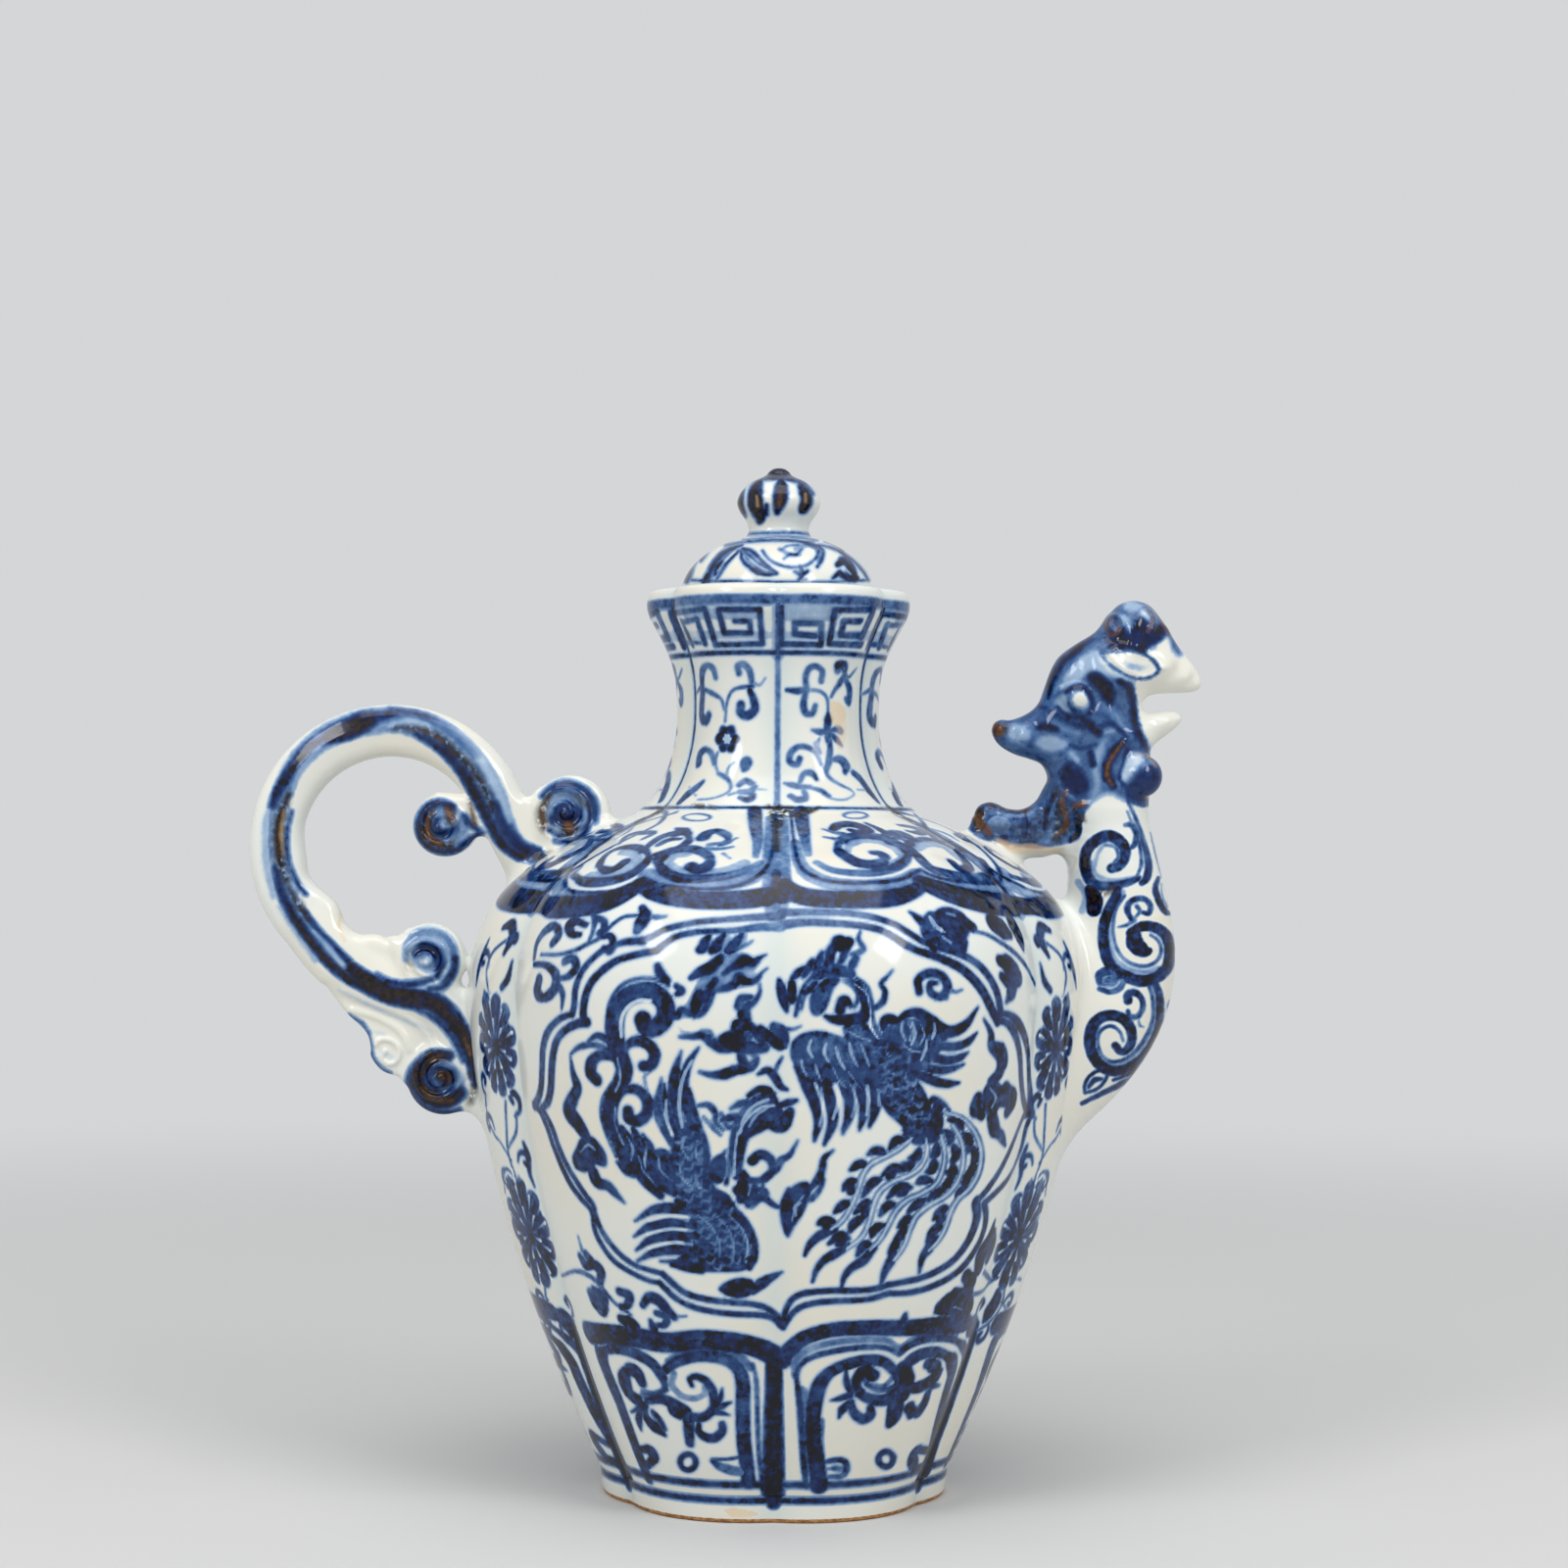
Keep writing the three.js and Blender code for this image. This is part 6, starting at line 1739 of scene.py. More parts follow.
# Lower band: a lappet on each lobe under a broad dark bracket line, with a hanging scroll motif
lappets = {
    "left": [
        ((15, 17, 18, 18, 18, 20), (0.88, 0.9, 0.95, 0.9, 0.95, 0.95),
         [601,1360, 625,1362, 650,1365, 680,1370, 715,1367, 750,1370, 775,1376, 796,1386]),
        ((3, 7, 2), 0.9, [664,1348, 667,1356, 670,1366]),
        ((7, 8, 9, 9, 8), (0.9, 0.85, 0.75, 0.75, 0.7),
         [661,1508, 650,1480, 639,1450, 628,1420, 618,1396, 615,1381, 625,1376, 640,1378, 656,1385,
          668,1394, 676,1406]),
        ((6, 5, 4), (0.7, 0.6, 0.5), [676,1406, 678,1417, 668,1422, 656,1420]),
        ((7, 11, 10, 6), (0.9, 0.95, 0.95, 0.85),
         [655,1411, 650,1401, 642,1398, 637,1406, 641,1420, 652,1428]),
        ((9, 10, 11, 13, 13, 13), (0.75, 0.78, 0.82, 0.9, 0.85, 0.92),
         [679,1398, 690,1390, 706,1385, 724,1384, 742,1388, 754,1398, 758,1414, 758,1440, 759,1470,
          762,1495, 764,1513]),
        ((3.5, 4, 4), (0.5, 0.62, 0.6), [768,1392, 772,1412, 773,1450, 775,1490, 778,1519]),
        ((3, 5, 7, 8, 8, 8), (0.85, 0.9, 0.8, 0.85, 0.8),
         [706,1414, 704,1407, 712,1405, 722,1411, 728,1423, 728,1437, 718,1446, 704,1446]),
        ((6, 9, 12, 10, 7), (0.75, 0.85, 0.95, 0.9, 0.95),
         [660,1430, 676,1428, 692,1436, 702,1446, 703,1460, 704,1473]),
        ((4, 7, 8, 6), (0.9, 0.85, 0.8, 0.75),
         [713,1453, 713,1461, 721,1467, 730,1467, 737,1460, 737,1453]),
        ((1, 5, 6), 0.78, [746,1431, 738,1434, 731,1438]),
        ((1, 5, 6), 0.78, [737,1417, 735,1426, 731,1434]),
        ((1, 4, 5), 0.72, [744,1444, 737,1442, 730,1441]),
        ((3, 6, 8, 3), (0.7, 0.75, 0.9, 0.85), [658,1436, 660,1447, 668,1456, 678,1464]),
        ((3, 4), 0.7, [666,1440, 674,1449, 678,1458]),
        ((1, 5, 6), 0.85, [642,1427, 650,1431, 658,1434]),
        ((1, 5, 6), 0.85, [644,1441, 651,1438, 658,1437]), ((5, 5, 1), 0.9, [653,1440, 652,1450, 654,1459]),
        ((8, 9, 3), 0.75, [684,1430, 688,1440, 694,1447]),
        ((5, 8, 8, 5), 0.88, [655,1479, 663,1480, 667,1487, 662,1494, 657,1494]),
        ((3, 7, 9, 9), (0.85, 0.6, 0.5, 0.45), [727,1491, 734,1496, 745,1500, 757,1502]),
        ((2, 2.5), 0.7, [727,1489, 742,1489, 755,1487]),
        ((3.5, 4.5, 4), (0.7, 0.75, 0.7), [608,1371, 611,1385, 620,1408, 634,1440, 648,1475, 656,1500]),
    ],
    "leftWashes": [
        (6, 0.5, [682,1389, 695,1381, 715,1376, 738,1377, 756,1385, 766,1396]),
        (4, 0.4, [611,1370, 622,1367, 640,1372]),
        (5, 0.45, [688,1402, 686,1413, 694,1423, 706,1427, 717,1424, 719,1416]),
        (4, 0.4, [655,1424, 668,1425, 680,1418]), (5, 0.45, [668,1444, 674,1454]),
    ],
    "leftRing": ((702, 1492), 8, 4.6),
    "right": [
        ((15, 13, 13, 14, 14, 14, 12), (0.95, 0.97, 0.9, 0.95, 0.92, 0.9),
         [803,1380, 822,1365, 850,1357, 885,1355, 925,1355, 962,1352, 986,1350, 994,1355]),
        ((3, 8, 3), 0.85, [924,1341, 922,1349, 920,1358]),
        ((4, 5, 5, 4), (0.75, 0.7, 0.75, 0.7),
         [813,1404, 816,1394, 828,1385, 850,1379, 878,1375, 902,1375, 918,1382]),
        ((5, 6, 6, 5), (0.75, 0.75, 0.8, 0.75),
         [918,1381, 930,1372, 948,1366, 968,1366, 981,1372, 984,1382, 978,1402]),
        ((4.5, 5, 4.5, 5), (0.65, 0.62, 0.6, 0.65), [812,1402, 816,1430, 818,1460, 820,1492, 823,1517]),
        ((16, 14, 13, 14, 10, 10, 10, 9), (0.92, 0.9, 0.95, 0.9, 0.85, 0.8, 0.85, 0.9),
         [836,1517, 833,1490, 829,1462, 831,1436, 836,1414, 846,1401, 862,1393, 884,1388, 902,1390,
          914,1400]),
        ((7, 5, 3), (0.8, 0.6, 0.5), [914,1400, 916,1412, 906,1418, 893,1418, 884,1413]),
        ((9, 9, 9, 10, 10, 10), (0.85, 0.85, 0.85, 0.9, 0.92, 0.92),
         [922,1400, 928,1389, 940,1382, 956,1380, 969,1386, 972,1398, 966,1420, 958,1448, 951,1475,
          944,1502]),
        ((12, 12, 9, 8, 8), (0.98, 0.95, 0.9, 0.85), [891,1404, 883,1399, 876,1405, 874,1415, 882,1425]),
        ((8, 10, 11, 12), (0.8, 0.8, 0.85, 0.9), [876,1422, 890,1428, 904,1428, 918,1420]),
        ((14, 15, 12, 6), (0.95, 0.9, 0.85, 0.95), [912,1424, 914,1436, 912,1446, 908,1453]),
        ((6, 9, 9, 6), (0.75, 0.8, 0.85, 0.92), [868,1430, 871,1441, 880,1448, 888,1444, 888,1436]),
        ((2, 6, 6), 0.8, [863,1399, 864,1411, 869,1421]), ((1, 5, 6), 0.82, [848,1429, 857,1427, 867,1424]),
        ((1, 7, 6), 0.85, [856,1447, 860,1438, 868,1431]),
        ((6, 7, 8, 9, 9), (0.9, 0.85, 0.85, 0.9),
         [950,1397, 947,1391, 954,1391, 955,1402, 947,1411, 934,1416, 922,1414]),
        ((3, 6, 6), 0.8, [960,1399, 956,1405, 950,1410]), ((1, 5, 5), 0.8, [959,1414, 953,1414, 947,1414]),
        ((8, 9, 7, 5), (0.95, 0.9, 0.8, 0.75), [930,1443, 928,1436, 936,1441, 943,1432, 947,1421]),
        ((14, 16, 10), 0.97, [922,1396, 924,1410, 922,1424]),
        ((4, 5, 6, 5, 4), (0.6, 0.65, 0.75, 0.6, 0.5),
         [842,1492, 852,1490, 861,1491, 864,1499, 859,1506, 845,1507]),
         ((3, 3), 0.45, [843,1499, 856,1498]),
        ((4, 7, 8, 5), 0.88, [946,1480, 936,1480, 931,1487, 934,1497, 942,1499]),
    ],
    "rightWashes": [
        (5, 0.45,
         [811,1404, 811,1390, 824,1378, 846,1371, 878,1367, 905,1368, 918,1375, 934,1366, 956,1361,
          976,1363]),
        (6, 0.5, [838,1450, 837,1480, 840,1512]), ((10, 12, 12), 0.42, [818,1420, 822,1460, 825,1500]),
        (4, 0.5, [880,1407, 887,1413, 902,1414, 911,1405]), (4, 0.5, [926,1403, 927,1394, 935,1388]),
        (5, 0.4, [852,1498, 860,1500]),
    ],
    "rightRing": ((904, 1489), 7.5, 5),
    "chip": [738,1541, 748,1539, 762,1541, 774,1545, 762,1549, 745,1548],
    # a pixel, half width in mm, strength
    "footLines": (((720, 1514), 0.9, 0.72), ((720, 1530), 0.75, 0.78)),
    "grooveTop": 1382,  # rows
    "grooveFoot": 1534,
    "bodyGrooves": [  # half widths in mm, strengths, layer
        ((3.7, 3.5, 3.2, 2.8, 2.4), 0.62, "wash"),
        ((2.5, 2.3, 2.1, 2.0, 2.1), (0.9, 0.85, 0.95, 0.97), "line"),
    ],
    "footGrooves": [((1.4, 2.5), 0.85, "line"), ((2.4, 3.7), 0.6, "wash")],
}
for name in ("left", "right"):
    drawStrokes(bodyCanvas, lappets[name], everyOther, wider=1.05, stronger=0.94)
    drawStrokes(bodyCanvas, lappets[name + "Washes"], everyOther, "wash", wider=1.3)
    centre, size, width = lappets[name + "Ring"]
    drawStrokes(bodyCanvas, [(width, 0.85, roundPixels(centre, size, size, ringTurns))], everyOther)
for (x, y), half, tone in lappets["footLines"]:
    for canvas in (bodyCanvas, footCanvas):
        drawRing(canvas, pixelHeight(x, y), half, tone)
        drawRing(canvas, pixelHeight(x, y), half * 2, 0.3, "wash")
for half, tone, layer in lappets["bodyGrooves"]:
    drawGroove(bodyCanvas, seams[0], grooveHeight(lappets["grooveTop"]), half, tone, layer)
for half, tone, layer in lappets["footGrooves"]:
    drawGroove(footCanvas, grooveHeight(lappets["grooveFoot"]), seams[0] + 1, half, tone, layer)
drawBlots(footCanvas, [(0.3, lappets["chip"])], layer="amber")
print("lappets drawn")

# Neck: a flower scroll on each lobe under a key fret

neckDrawings = {
    "left": [
        ((4, 5, 5, 5, 4), (0.7, 0.6, 0.62, 0.65, 0.7),
         [730,691, 728,683, 722,679, 717,684, 716,694, 717,704]),
        ((1, 3), 0.6, [710,708, 716,700]),
        ((3, 4, 2.5, 1.5), 0.65, [717,703, 724,706, 731,710, 736,714, 739,724]),
        ((5, 5.5, 6, 5), (0.7, 0.8, 0.9, 0.85), [717,706, 716,719, 716,731, 720,736, 723,730]),
        ((5, 6, 6, 5), (0.75, 0.6, 0.6, 0.65), [754,687, 753,680, 759,678, 765,685, 767,696]),
        ((4, 3, 2, 1.5, 1.5), 0.66, [768,700, 760,701, 750,703, 744,710, 741,722, 740,736]),
        ((5, 7, 8, 8, 7), (0.75, 0.8, 0.85, 0.95, 0.9),
         [765,704, 769,714, 770,724, 763,730, 756,727, 756,719]),
        ((3, 2, 1), 0.5, [768,696, 775,699, 781,692]),
        ((2, 2, 1.5), 0.55, [732,768, 730,779, 733,790]),
        ((3, 4, 3, 1.6, 1.4, 1.2, 1), (0.65, 0.6, 0.5, 0.5),
         [733,789, 741,794, 745,799, 745,806, 738,811, 725,815, 712,816]),
        ((5, 5, 5, 4), (0.7, 0.65, 0.68, 0.6), [713,779, 714,770, 720,765, 726,769, 729,779]),
        ((1, 1.5, 1.5), 0.45, [741,796, 743,784, 749,778]),
        ((4, 6, 5), (0.65, 0.6, 0.65), [754,801, 761,797, 768,800]),
        ((5, 6, 4), (0.7, 0.65, 0.5), [770,803, 765,808, 754,808]), ((1.5, 1.5), 0.5, [754,808, 744,811]),
        ((3, 6, 6, 4), 0.7, [755,814, 763,816, 768,812, 764,808]), ((2, 1), 0.4, [770,805, 782,806]),
        ((3, 5, 6, 5), (0.7, 0.75, 0.9, 0.95), [717,798, 709,805, 701,811, 694,818]),
        ((1, 1.5), 0.4, [703,803, 710,812]),
    ],
    "leftBlots": [
        (0.52, [757,774, 764,772, 768,778, 764,785, 758,788, 755,781]),
    ],
    "right": [
        ((5, 5, 5.5, 5, 5), (0.55, 0.62, 0.7, 0.68),
         [838,695, 839,685, 832,680, 825,683, 822,692, 823,703]),
        ((3, 6, 6), (0.85, 0.75, 0.65), [803,704, 813,705, 824,704]),
        ((5, 6, 6, 5, 4), (0.7, 0.75, 0.75, 0.7), [822,706, 820,718, 822,727, 829,728, 832,720]),
        ((3, 2.5, 2), 0.55, [829,704, 838,706, 844,713, 845,726]),
        ((6, 8, 8, 4), (0.7, 0.85, 0.85, 0.6), [855,684, 856,679, 861,679, 862,686]),
        ((2, 2, 1), 0.55, [862,686, 866,691, 874,682]),
        ((4, 5, 3, 1.5), 0.7, [861,690, 857,697, 852,704, 848,711]),
        ((4, 5, 5, 3), 0.65, [863,694, 867,704, 866,716, 863,713]),
        ((2, 7, 5), (0.9, 0.95, 0.85), [845,728, 845,735, 845,741]),
        ((2, 6, 5), 0.65, [829,745, 837,747, 844,746]), ((6, 8, 5), 0.72, [844,740, 845,748, 845,756]),
        ((3, 6, 5), 0.65, [847,746, 854,744, 858,746]), ((4, 5, 1), 0.62, [849,750, 854,755, 859,761]),
        ((5, 5, 6, 5), (0.6, 0.6, 0.65, 0.6), [846,754, 847,764, 846,776, 843,786]),
        ((2, 5, 4), 0.5, [836,754, 833,760, 836,768]),
        ((4, 7, 8, 4), (0.6, 0.65, 0.75, 0.75), [849,775, 857,775, 863,781, 862,788]),
        ((4, 3, 2, 1.2, 1.2, 1.4, 2), (0.6, 0.55, 0.45, 0.45, 0.55),
         [842,784, 846,793, 856,800, 868,806, 871,811, 862,816, 849,815, 840,810]),
        ((3, 4, 2.5), 0.65, [846,812, 838,807, 825,803]),
        ((3, 4, 5, 6, 6, 5), (0.6, 0.6, 0.62, 0.7),
         [838,780, 833,769, 825,763, 815,762, 807,768, 806,777, 813,780, 816,774]),
        ((3, 6, 5, 4), (0.8, 0.65, 0.6, 0.6), [833,795, 828,789, 820,790, 816,799]),
        ((1, 5, 5, 3), 0.7, [800,799, 808,801, 818,803, 827,803]),
        ((4, 6, 6, 4), 0.62, [806,812, 814,816, 822,814, 820,806]),
        ((4, 5, 6, 4), (0.75, 0.7, 0.85, 0.9), [871,789, 878,795, 886,806, 895,817]),
        ((1, 1.5), 0.4, [875,806, 886,806]),
    ],
    "flower": {
        "centre": (742, 754),
        "size": 14.5,
        "petals": 6,
        "lobeDepth": 0.14,
        "narrow": 0.8,  # its width over its height
        "fills": [("wash", 0.94, 0.62), ("lift", 0.36, 0.72)],  # layer, share of the size, strength
    },
    "fretLeft": [
        (5, (0.8, 0.75, 0.7, 0.85), [698,660, 684,626, 719,621, 730,658]),
        (4.5, (0.7, 0.6, 0.6, 0.9), [706,657, 696,635, 711,632, 719,656]),
        (3, 0.6, [701,656, 716,656]),
        (5, (0.85, 0.75, 0.8, 0.75, 0.7),
         [730,658, 778,657, 775,622, 733,622, 739,646, 766,646, 765,634, 750,634]),
    ],
    "fretRight": [
        (5.5, (0.8, 0.85, 0.75, 0.7, 0.8, 0.75),
         [797,620, 797,657, 838,658, 838,636, 811,636, 811,647, 832,649]),
        (5.5, (0.85, 0.8, 0.75, 0.8, 0.75),
         [879,658, 846,657, 852,623, 892,622, 880,649, 858,648, 861,634, 878,634]),
    ],
    "fretWashes": [(20, 0.26, [800,624, 850,624]), (12, 0.2, [700,626, 772,626]),
        (8, 0.2, [800,648, 890,648]), (8, 0.18, [700,648, 790,648])],
    "bands": [  # a pixel, half width in mm, strength, layer
        ((740, 611), 1.3, 0.36, "line"), ((740, 666), 0.7, 0.72, "line"), ((740, 612), 2.0, 0.3, "wash"),
    ],
    "grooves": [  # half widths in mm, strengths, and which grooves, from the front round
        ((0.9, 0.8, 0.8, 0.8), (0.42, 0.46, 0.44, 0.5), [0, 3]),
        ((0.52, 0.5, 0.55, 0.7), (0.75, 0.8, 0.75, 0.85), [1, 2, 4, 5]),
    ],
    "fretEnds": ((740, 616), (740, 668)),  # pixels at the fret's top and base
    "fretGroove": ((2.0, 2.2), 0.2),  # half widths in mm, strength
    "rootGroove": ((3.0, 1.8), 1.0),
    "rootSmears": (0.26, (0.2, 0.8, 1.0, 0.8, 0.2), 0.9),  # half angle, half widths in mm, strength
    "stains": [
        (0.33, [847,716, 856,716, 863,724, 863,736, 857,744, 850,740, 847,730]),
        (0.2, [857,736, 864,736, 864,752, 859,766, 853,760, 854,748]),
    ],
}
drawBlots(neckCanvas, neckDrawings["leftBlots"], everyOther)


def drawFlower(flower):
    # A flower in wash with a light heart, its edge lobed by a cosine, and a dark touch in each petal.
    around = np.linspace(0, 2 * math.pi, 48, endpoint=False)
    for layer, share, tone in flower["fills"]:
        far = flower["size"] * share * (1 + flower["lobeDepth"] * np.cos(flower["petals"] * around))
        edge = roundPixels(flower["centre"], flower["narrow"] * far, far, around)
        drawBlots(neckCanvas, [(tone, edge)], everyOther, layer)
    for petal in range(flower["petals"]):
        turns = 2 * math.pi * petal / flower["petals"] + np.linspace(-0.34, 0.34, 5)
        arc = roundPixels(flower["centre"], 0.62 * flower["size"], 0.78 * flower["size"], turns)
        drawStrokes(neckCanvas, [((3, 5.5, 3), 0.62 + 0.2 * (petal % 2), arc)], everyOther)


drawFlower(neckDrawings["flower"])
for name, fret in (("left", "fretLeft"), ("right", "fretRight")):
    drawStrokes(neckCanvas, neckDrawings[name], everyOther, wider=1.02, stronger=0.8)
    drawStrokes(neckCanvas, neckDrawings[fret], everyOther, smooth=False, stronger=0.84)
drawStrokes(neckCanvas, neckDrawings["fretWashes"], everyOther, "wash", smooth=False)
for (x, y), half, tone, layer in neckDrawings["bands"]:
    drawRing(neckCanvas, pixelHeight(x, y), half, tone, layer)
fretTop, fretBase = (pixelHeight(*pixel) for pixel in neckDrawings["fretEnds"])
for half, tone, grooves in neckDrawings["grooves"]:
    drawGroove(neckCanvas, collarRing, fretTop, half, tone, grooves=grooves)
drawGroove(neckCanvas, fretBase, fretTop, *neckDrawings["fretGroove"], "wash", grooves=[0, 3])
drawGroove(neckCanvas, neckRing - 0.5, collarRing, *neckDrawings["rootGroove"], "iron")
# The ring turns brown where it crosses a groove
smearAngle, smearHalf, smearTone = neckDrawings["rootSmears"]
smearTurns = np.linspace(-smearAngle, smearAngle, 9)
for canvas in (bodyCanvas, neckCanvas):
    for groove in range(vessel["lobes"]):
        smear = np.c_[groove * sixth + smearTurns, np.full(len(smearTurns), collarRing)]
        canvas.stroke("iron", smear, spread(smearHalf, len(smear)), np.full(len(smear), smearTone))
drawBlots(neckCanvas, neckDrawings["stains"], layer="amber")
print("neck drawn")

# Lid, spout, head and handle: drawn flat from the side in the photograph's pixels, alike on both sides

class SidePaint(Layers):
    # A skin's corners as the pixels they are seen at, with both sides seen from the front.
    def __init__(self, corners):
        eye, right, up, ahead = cameraAxes()
        away = np.c_[corners[:, 0], -np.abs(corners[:, 1]), corners[:, 2]] - eye
        scale = shot["focal"] / (away @ ahead)
        middle = shot["frame"] / 2
        self.places = np.c_[middle + scale * (away @ right), middle - scale * (away @ up)]
        super().__init__(len(corners), float)

    def near(self, path, margin):
        # The corners seen within a margin of a path's box.
        low, high = path.min(0) - margin, path.max(0) + margin
        return np.flatnonzero(((self.places > low) & (self.places < high)).all(1))

    def strokes(self, layer, drawn):
        # A few stretches of each stroke at a time.
        for width, tone, pixels in drawn:
            path = smoothLine(np.reshape(pixels, (-1, 2)), brush["strokeSteps"])
            half, tones = spread(width, len(path)) / 2, spread(tone, len(path))
            for part in stretchesOf(path):
                chosen = self.near(path[part], half[part].max() + brush["sideReach"])
                if len(chosen):
                    gap, strength = gapToPath(self.places[chosen], path[part], half[part], tones[part])
                    self.lay(layer, chosen, gap * brush["sidePixel"], strength)

    def blots(self, layer, drawn):
        # Filled outlines.
        for tone, pixels in drawn:
            path = smoothLine(np.reshape(pixels, (-1, 2)), brush["blotSteps"], closed=True)
            chosen = self.near(path, brush["sideReach"])
            closed = np.vstack([path, path[:1]])
            places = self.places[chosen]
            gap = gapToOutline(places, closed, places[:, 0], places[:, 1], closed)
            self.lay(layer, chosen, gap * brush["sidePixel"], tone)


lidPaint = {
    "washes": [
        ((3, 9, 12, 13, 10, 6), (0.4, 0.45, 0.4, 0.42, 0.45),
         [757,556, 745,560, 735,570, 728,580, 722,590, 719,594]),
        ((3, 10, 13, 10, 4), (0.4, 0.45, 0.4, 0.45), [758,560, 765,570, 772,578, 783,583, 792,585]),
        ((3, 7, 7, 4), 0.4, [716,562, 708,574, 704,586, 702,593]),
        ((4, 7, 6), 0.35, [822,555, 834,560, 836,572]),
        ((5, 9, 9, 6), 0.5, [858,570, 866,577, 868,586, 872,592]),
        ((4, 5, 4), 0.3, [795,560, 806,566, 816,566]),
        ((5, 7, 5), 0.3, [812,560, 822,556, 830,553]),
        ((3,), 0.45, [700,603, 750,608, 800,609, 850,607, 890,603]),
    ],
    "lines": [
        ((2, 3, 3, 2), 0.72, [740,556, 760,553, 780,551, 800,551, 820,553, 834,557]),
        ((2, 2.4, 2.4, 2), 0.66, [778,562, 784,570, 794,576, 808,579, 822,577, 832,570, 836,562]),
        ((1.6, 2.4, 2), 0.6, [800,570, 806,566, 812,566, 818,561]),
        ((1.4, 2), 0.5, [796,561, 804,557, 814,556]),
        ((2, 3.4, 3), 0.72, [835,556, 840,563, 838,572, 834,578]),
        ((3, 6, 5), 0.7, [816,578, 818,584, 817,591]),
        ((2, 5, 3), 0.85, [811,583, 818,586, 824,583]), ((3, 4), 0.8, [815,592, 822,592]),
        ((2, 3.4, 3.4, 2), 0.78, [757,556, 742,562, 731,572, 724,584, 718,594]),
        ((2, 3, 3, 2), 0.74, [754,562, 744,572, 736,583, 731,592]),
        ((3, 5, 3), 0.9, [726,582, 722,588, 718,594]),
        ((3, 5, 3), 0.85, [738,574, 732,580, 730,586]),
        ((2, 3.4, 3, 1.4), 0.8, [758,560, 768,563, 780,575, 793,585]),
        ((2, 3.4, 3, 2), 0.8, [756,562, 758,572, 768,581, 780,586, 793,585]),
        ((3, 5), 0.85, [766,580, 774,584]),
        ((1.2, 1.6), 0.5, [760,562, 770,572, 782,580]), ((3, 5, 4), 0.85, [705,580, 702,588, 700,593]),
        ((2, 3, 3), 0.78, [722,557, 712,566, 706,577]), ((2, 3), 0.7, [727,556, 720,566, 715,572]),
        ((2, 3, 3, 2), 0.75, [836,556, 852,560, 868,570, 880,582, 886,592]),
        ((2, 4, 3), 0.82, [842,552, 852,555, 860,562]),
        ((5, 9, 8, 5), 0.92, [855,576, 862,572, 868,578, 872,586]),
        ((6, 8, 5), 0.95, [858,586, 866,590, 874,590]),
        ((3, 5), 0.9, [850,590, 857,584]),
        ((2, 2.2, 2), 0.7, [706,592, 730,593, 760,593, 800,594, 840,594, 884,592]),
        ((2, 2.4, 2), 0.62, [762,545, 780,544, 800,543.5, 816,544, 830,546]),
        ((1.8, 2.2, 1.8), 0.6, [758,551, 780,549, 800,548, 820,549, 834,551]),
        # knob: a blue ring, and petals that run down from it
        ((6, 8, 8, 6), 0.66, [752,500, 762,491, 775,487, 795,486, 812,489, 822,496, 828,504]),
        ((3, 7, 8, 6, 2), (0.85, 0.92, 0.97, 0.95), [759,494, 755,506, 754,516, 757,524, 760,527]),
        ((7, 14, 15, 14, 9, 5), (0.8, 0.92, 0.97, 0.97, 0.95),
         [775,491, 771,502, 771,514, 774,522, 776,528, 775,532]),
        ((4, 6), 0.97, [782,516, 781,524]),
        ((6, 13, 15, 12, 7, 4), (0.8, 0.92, 0.97, 0.95), [797,490, 797,500, 796,510, 794,518, 793,523]),
        ((6, 11, 12, 9, 4), (0.75, 0.92, 0.97, 0.95), [816,492, 821,502, 823,511, 820,519, 818,522]),
        ((8, 15, 18, 12, 6), 0.85, [790,476, 792,479, 795,482]),
        ((3, 5, 3), 0.9, [774,488, 784,482, 790,478]),
        ((3, 5, 3), 0.9, [800,479, 808,484, 815,489]),
    ],
    "lifts": [
        ((1.2, 2, 1.4), 0.6, [750,563, 740,572, 732,583]),
        ((1.2, 2, 1.2), 0.55, [763,568, 772,576, 783,582]),
        ((1.2, 1.8), 0.6, [861,578, 868,586]), ((1.4, 2, 1.4), 0.5, [783,494, 785,504, 784,512]),
    ],
    "iron": [
        ((8, 13, 13, 8), 0.9, [772,500, 771,512, 774,524, 775,531]),
        ((8, 12, 9), 0.9, [797,502, 795,512, 793,520]),
        ((6, 10, 7), 0.9, [822,502, 823,511, 819,519]), ((4, 7, 5), 0.9, [756,504, 755,514, 759,524]),
        ((8, 14, 10), 0.95, [788,478, 795,475, 802,479]), ((5, 6), 0.6, [806,487, 784,486]),
    ],
    "amber": [((3, 4), 0.35, [772,506, 773,516]), ((4, 6, 4), 0.5, [796,502, 796,510, 795,516]),
              ((3, 4), 0.3, [822,504, 822,512])],
}
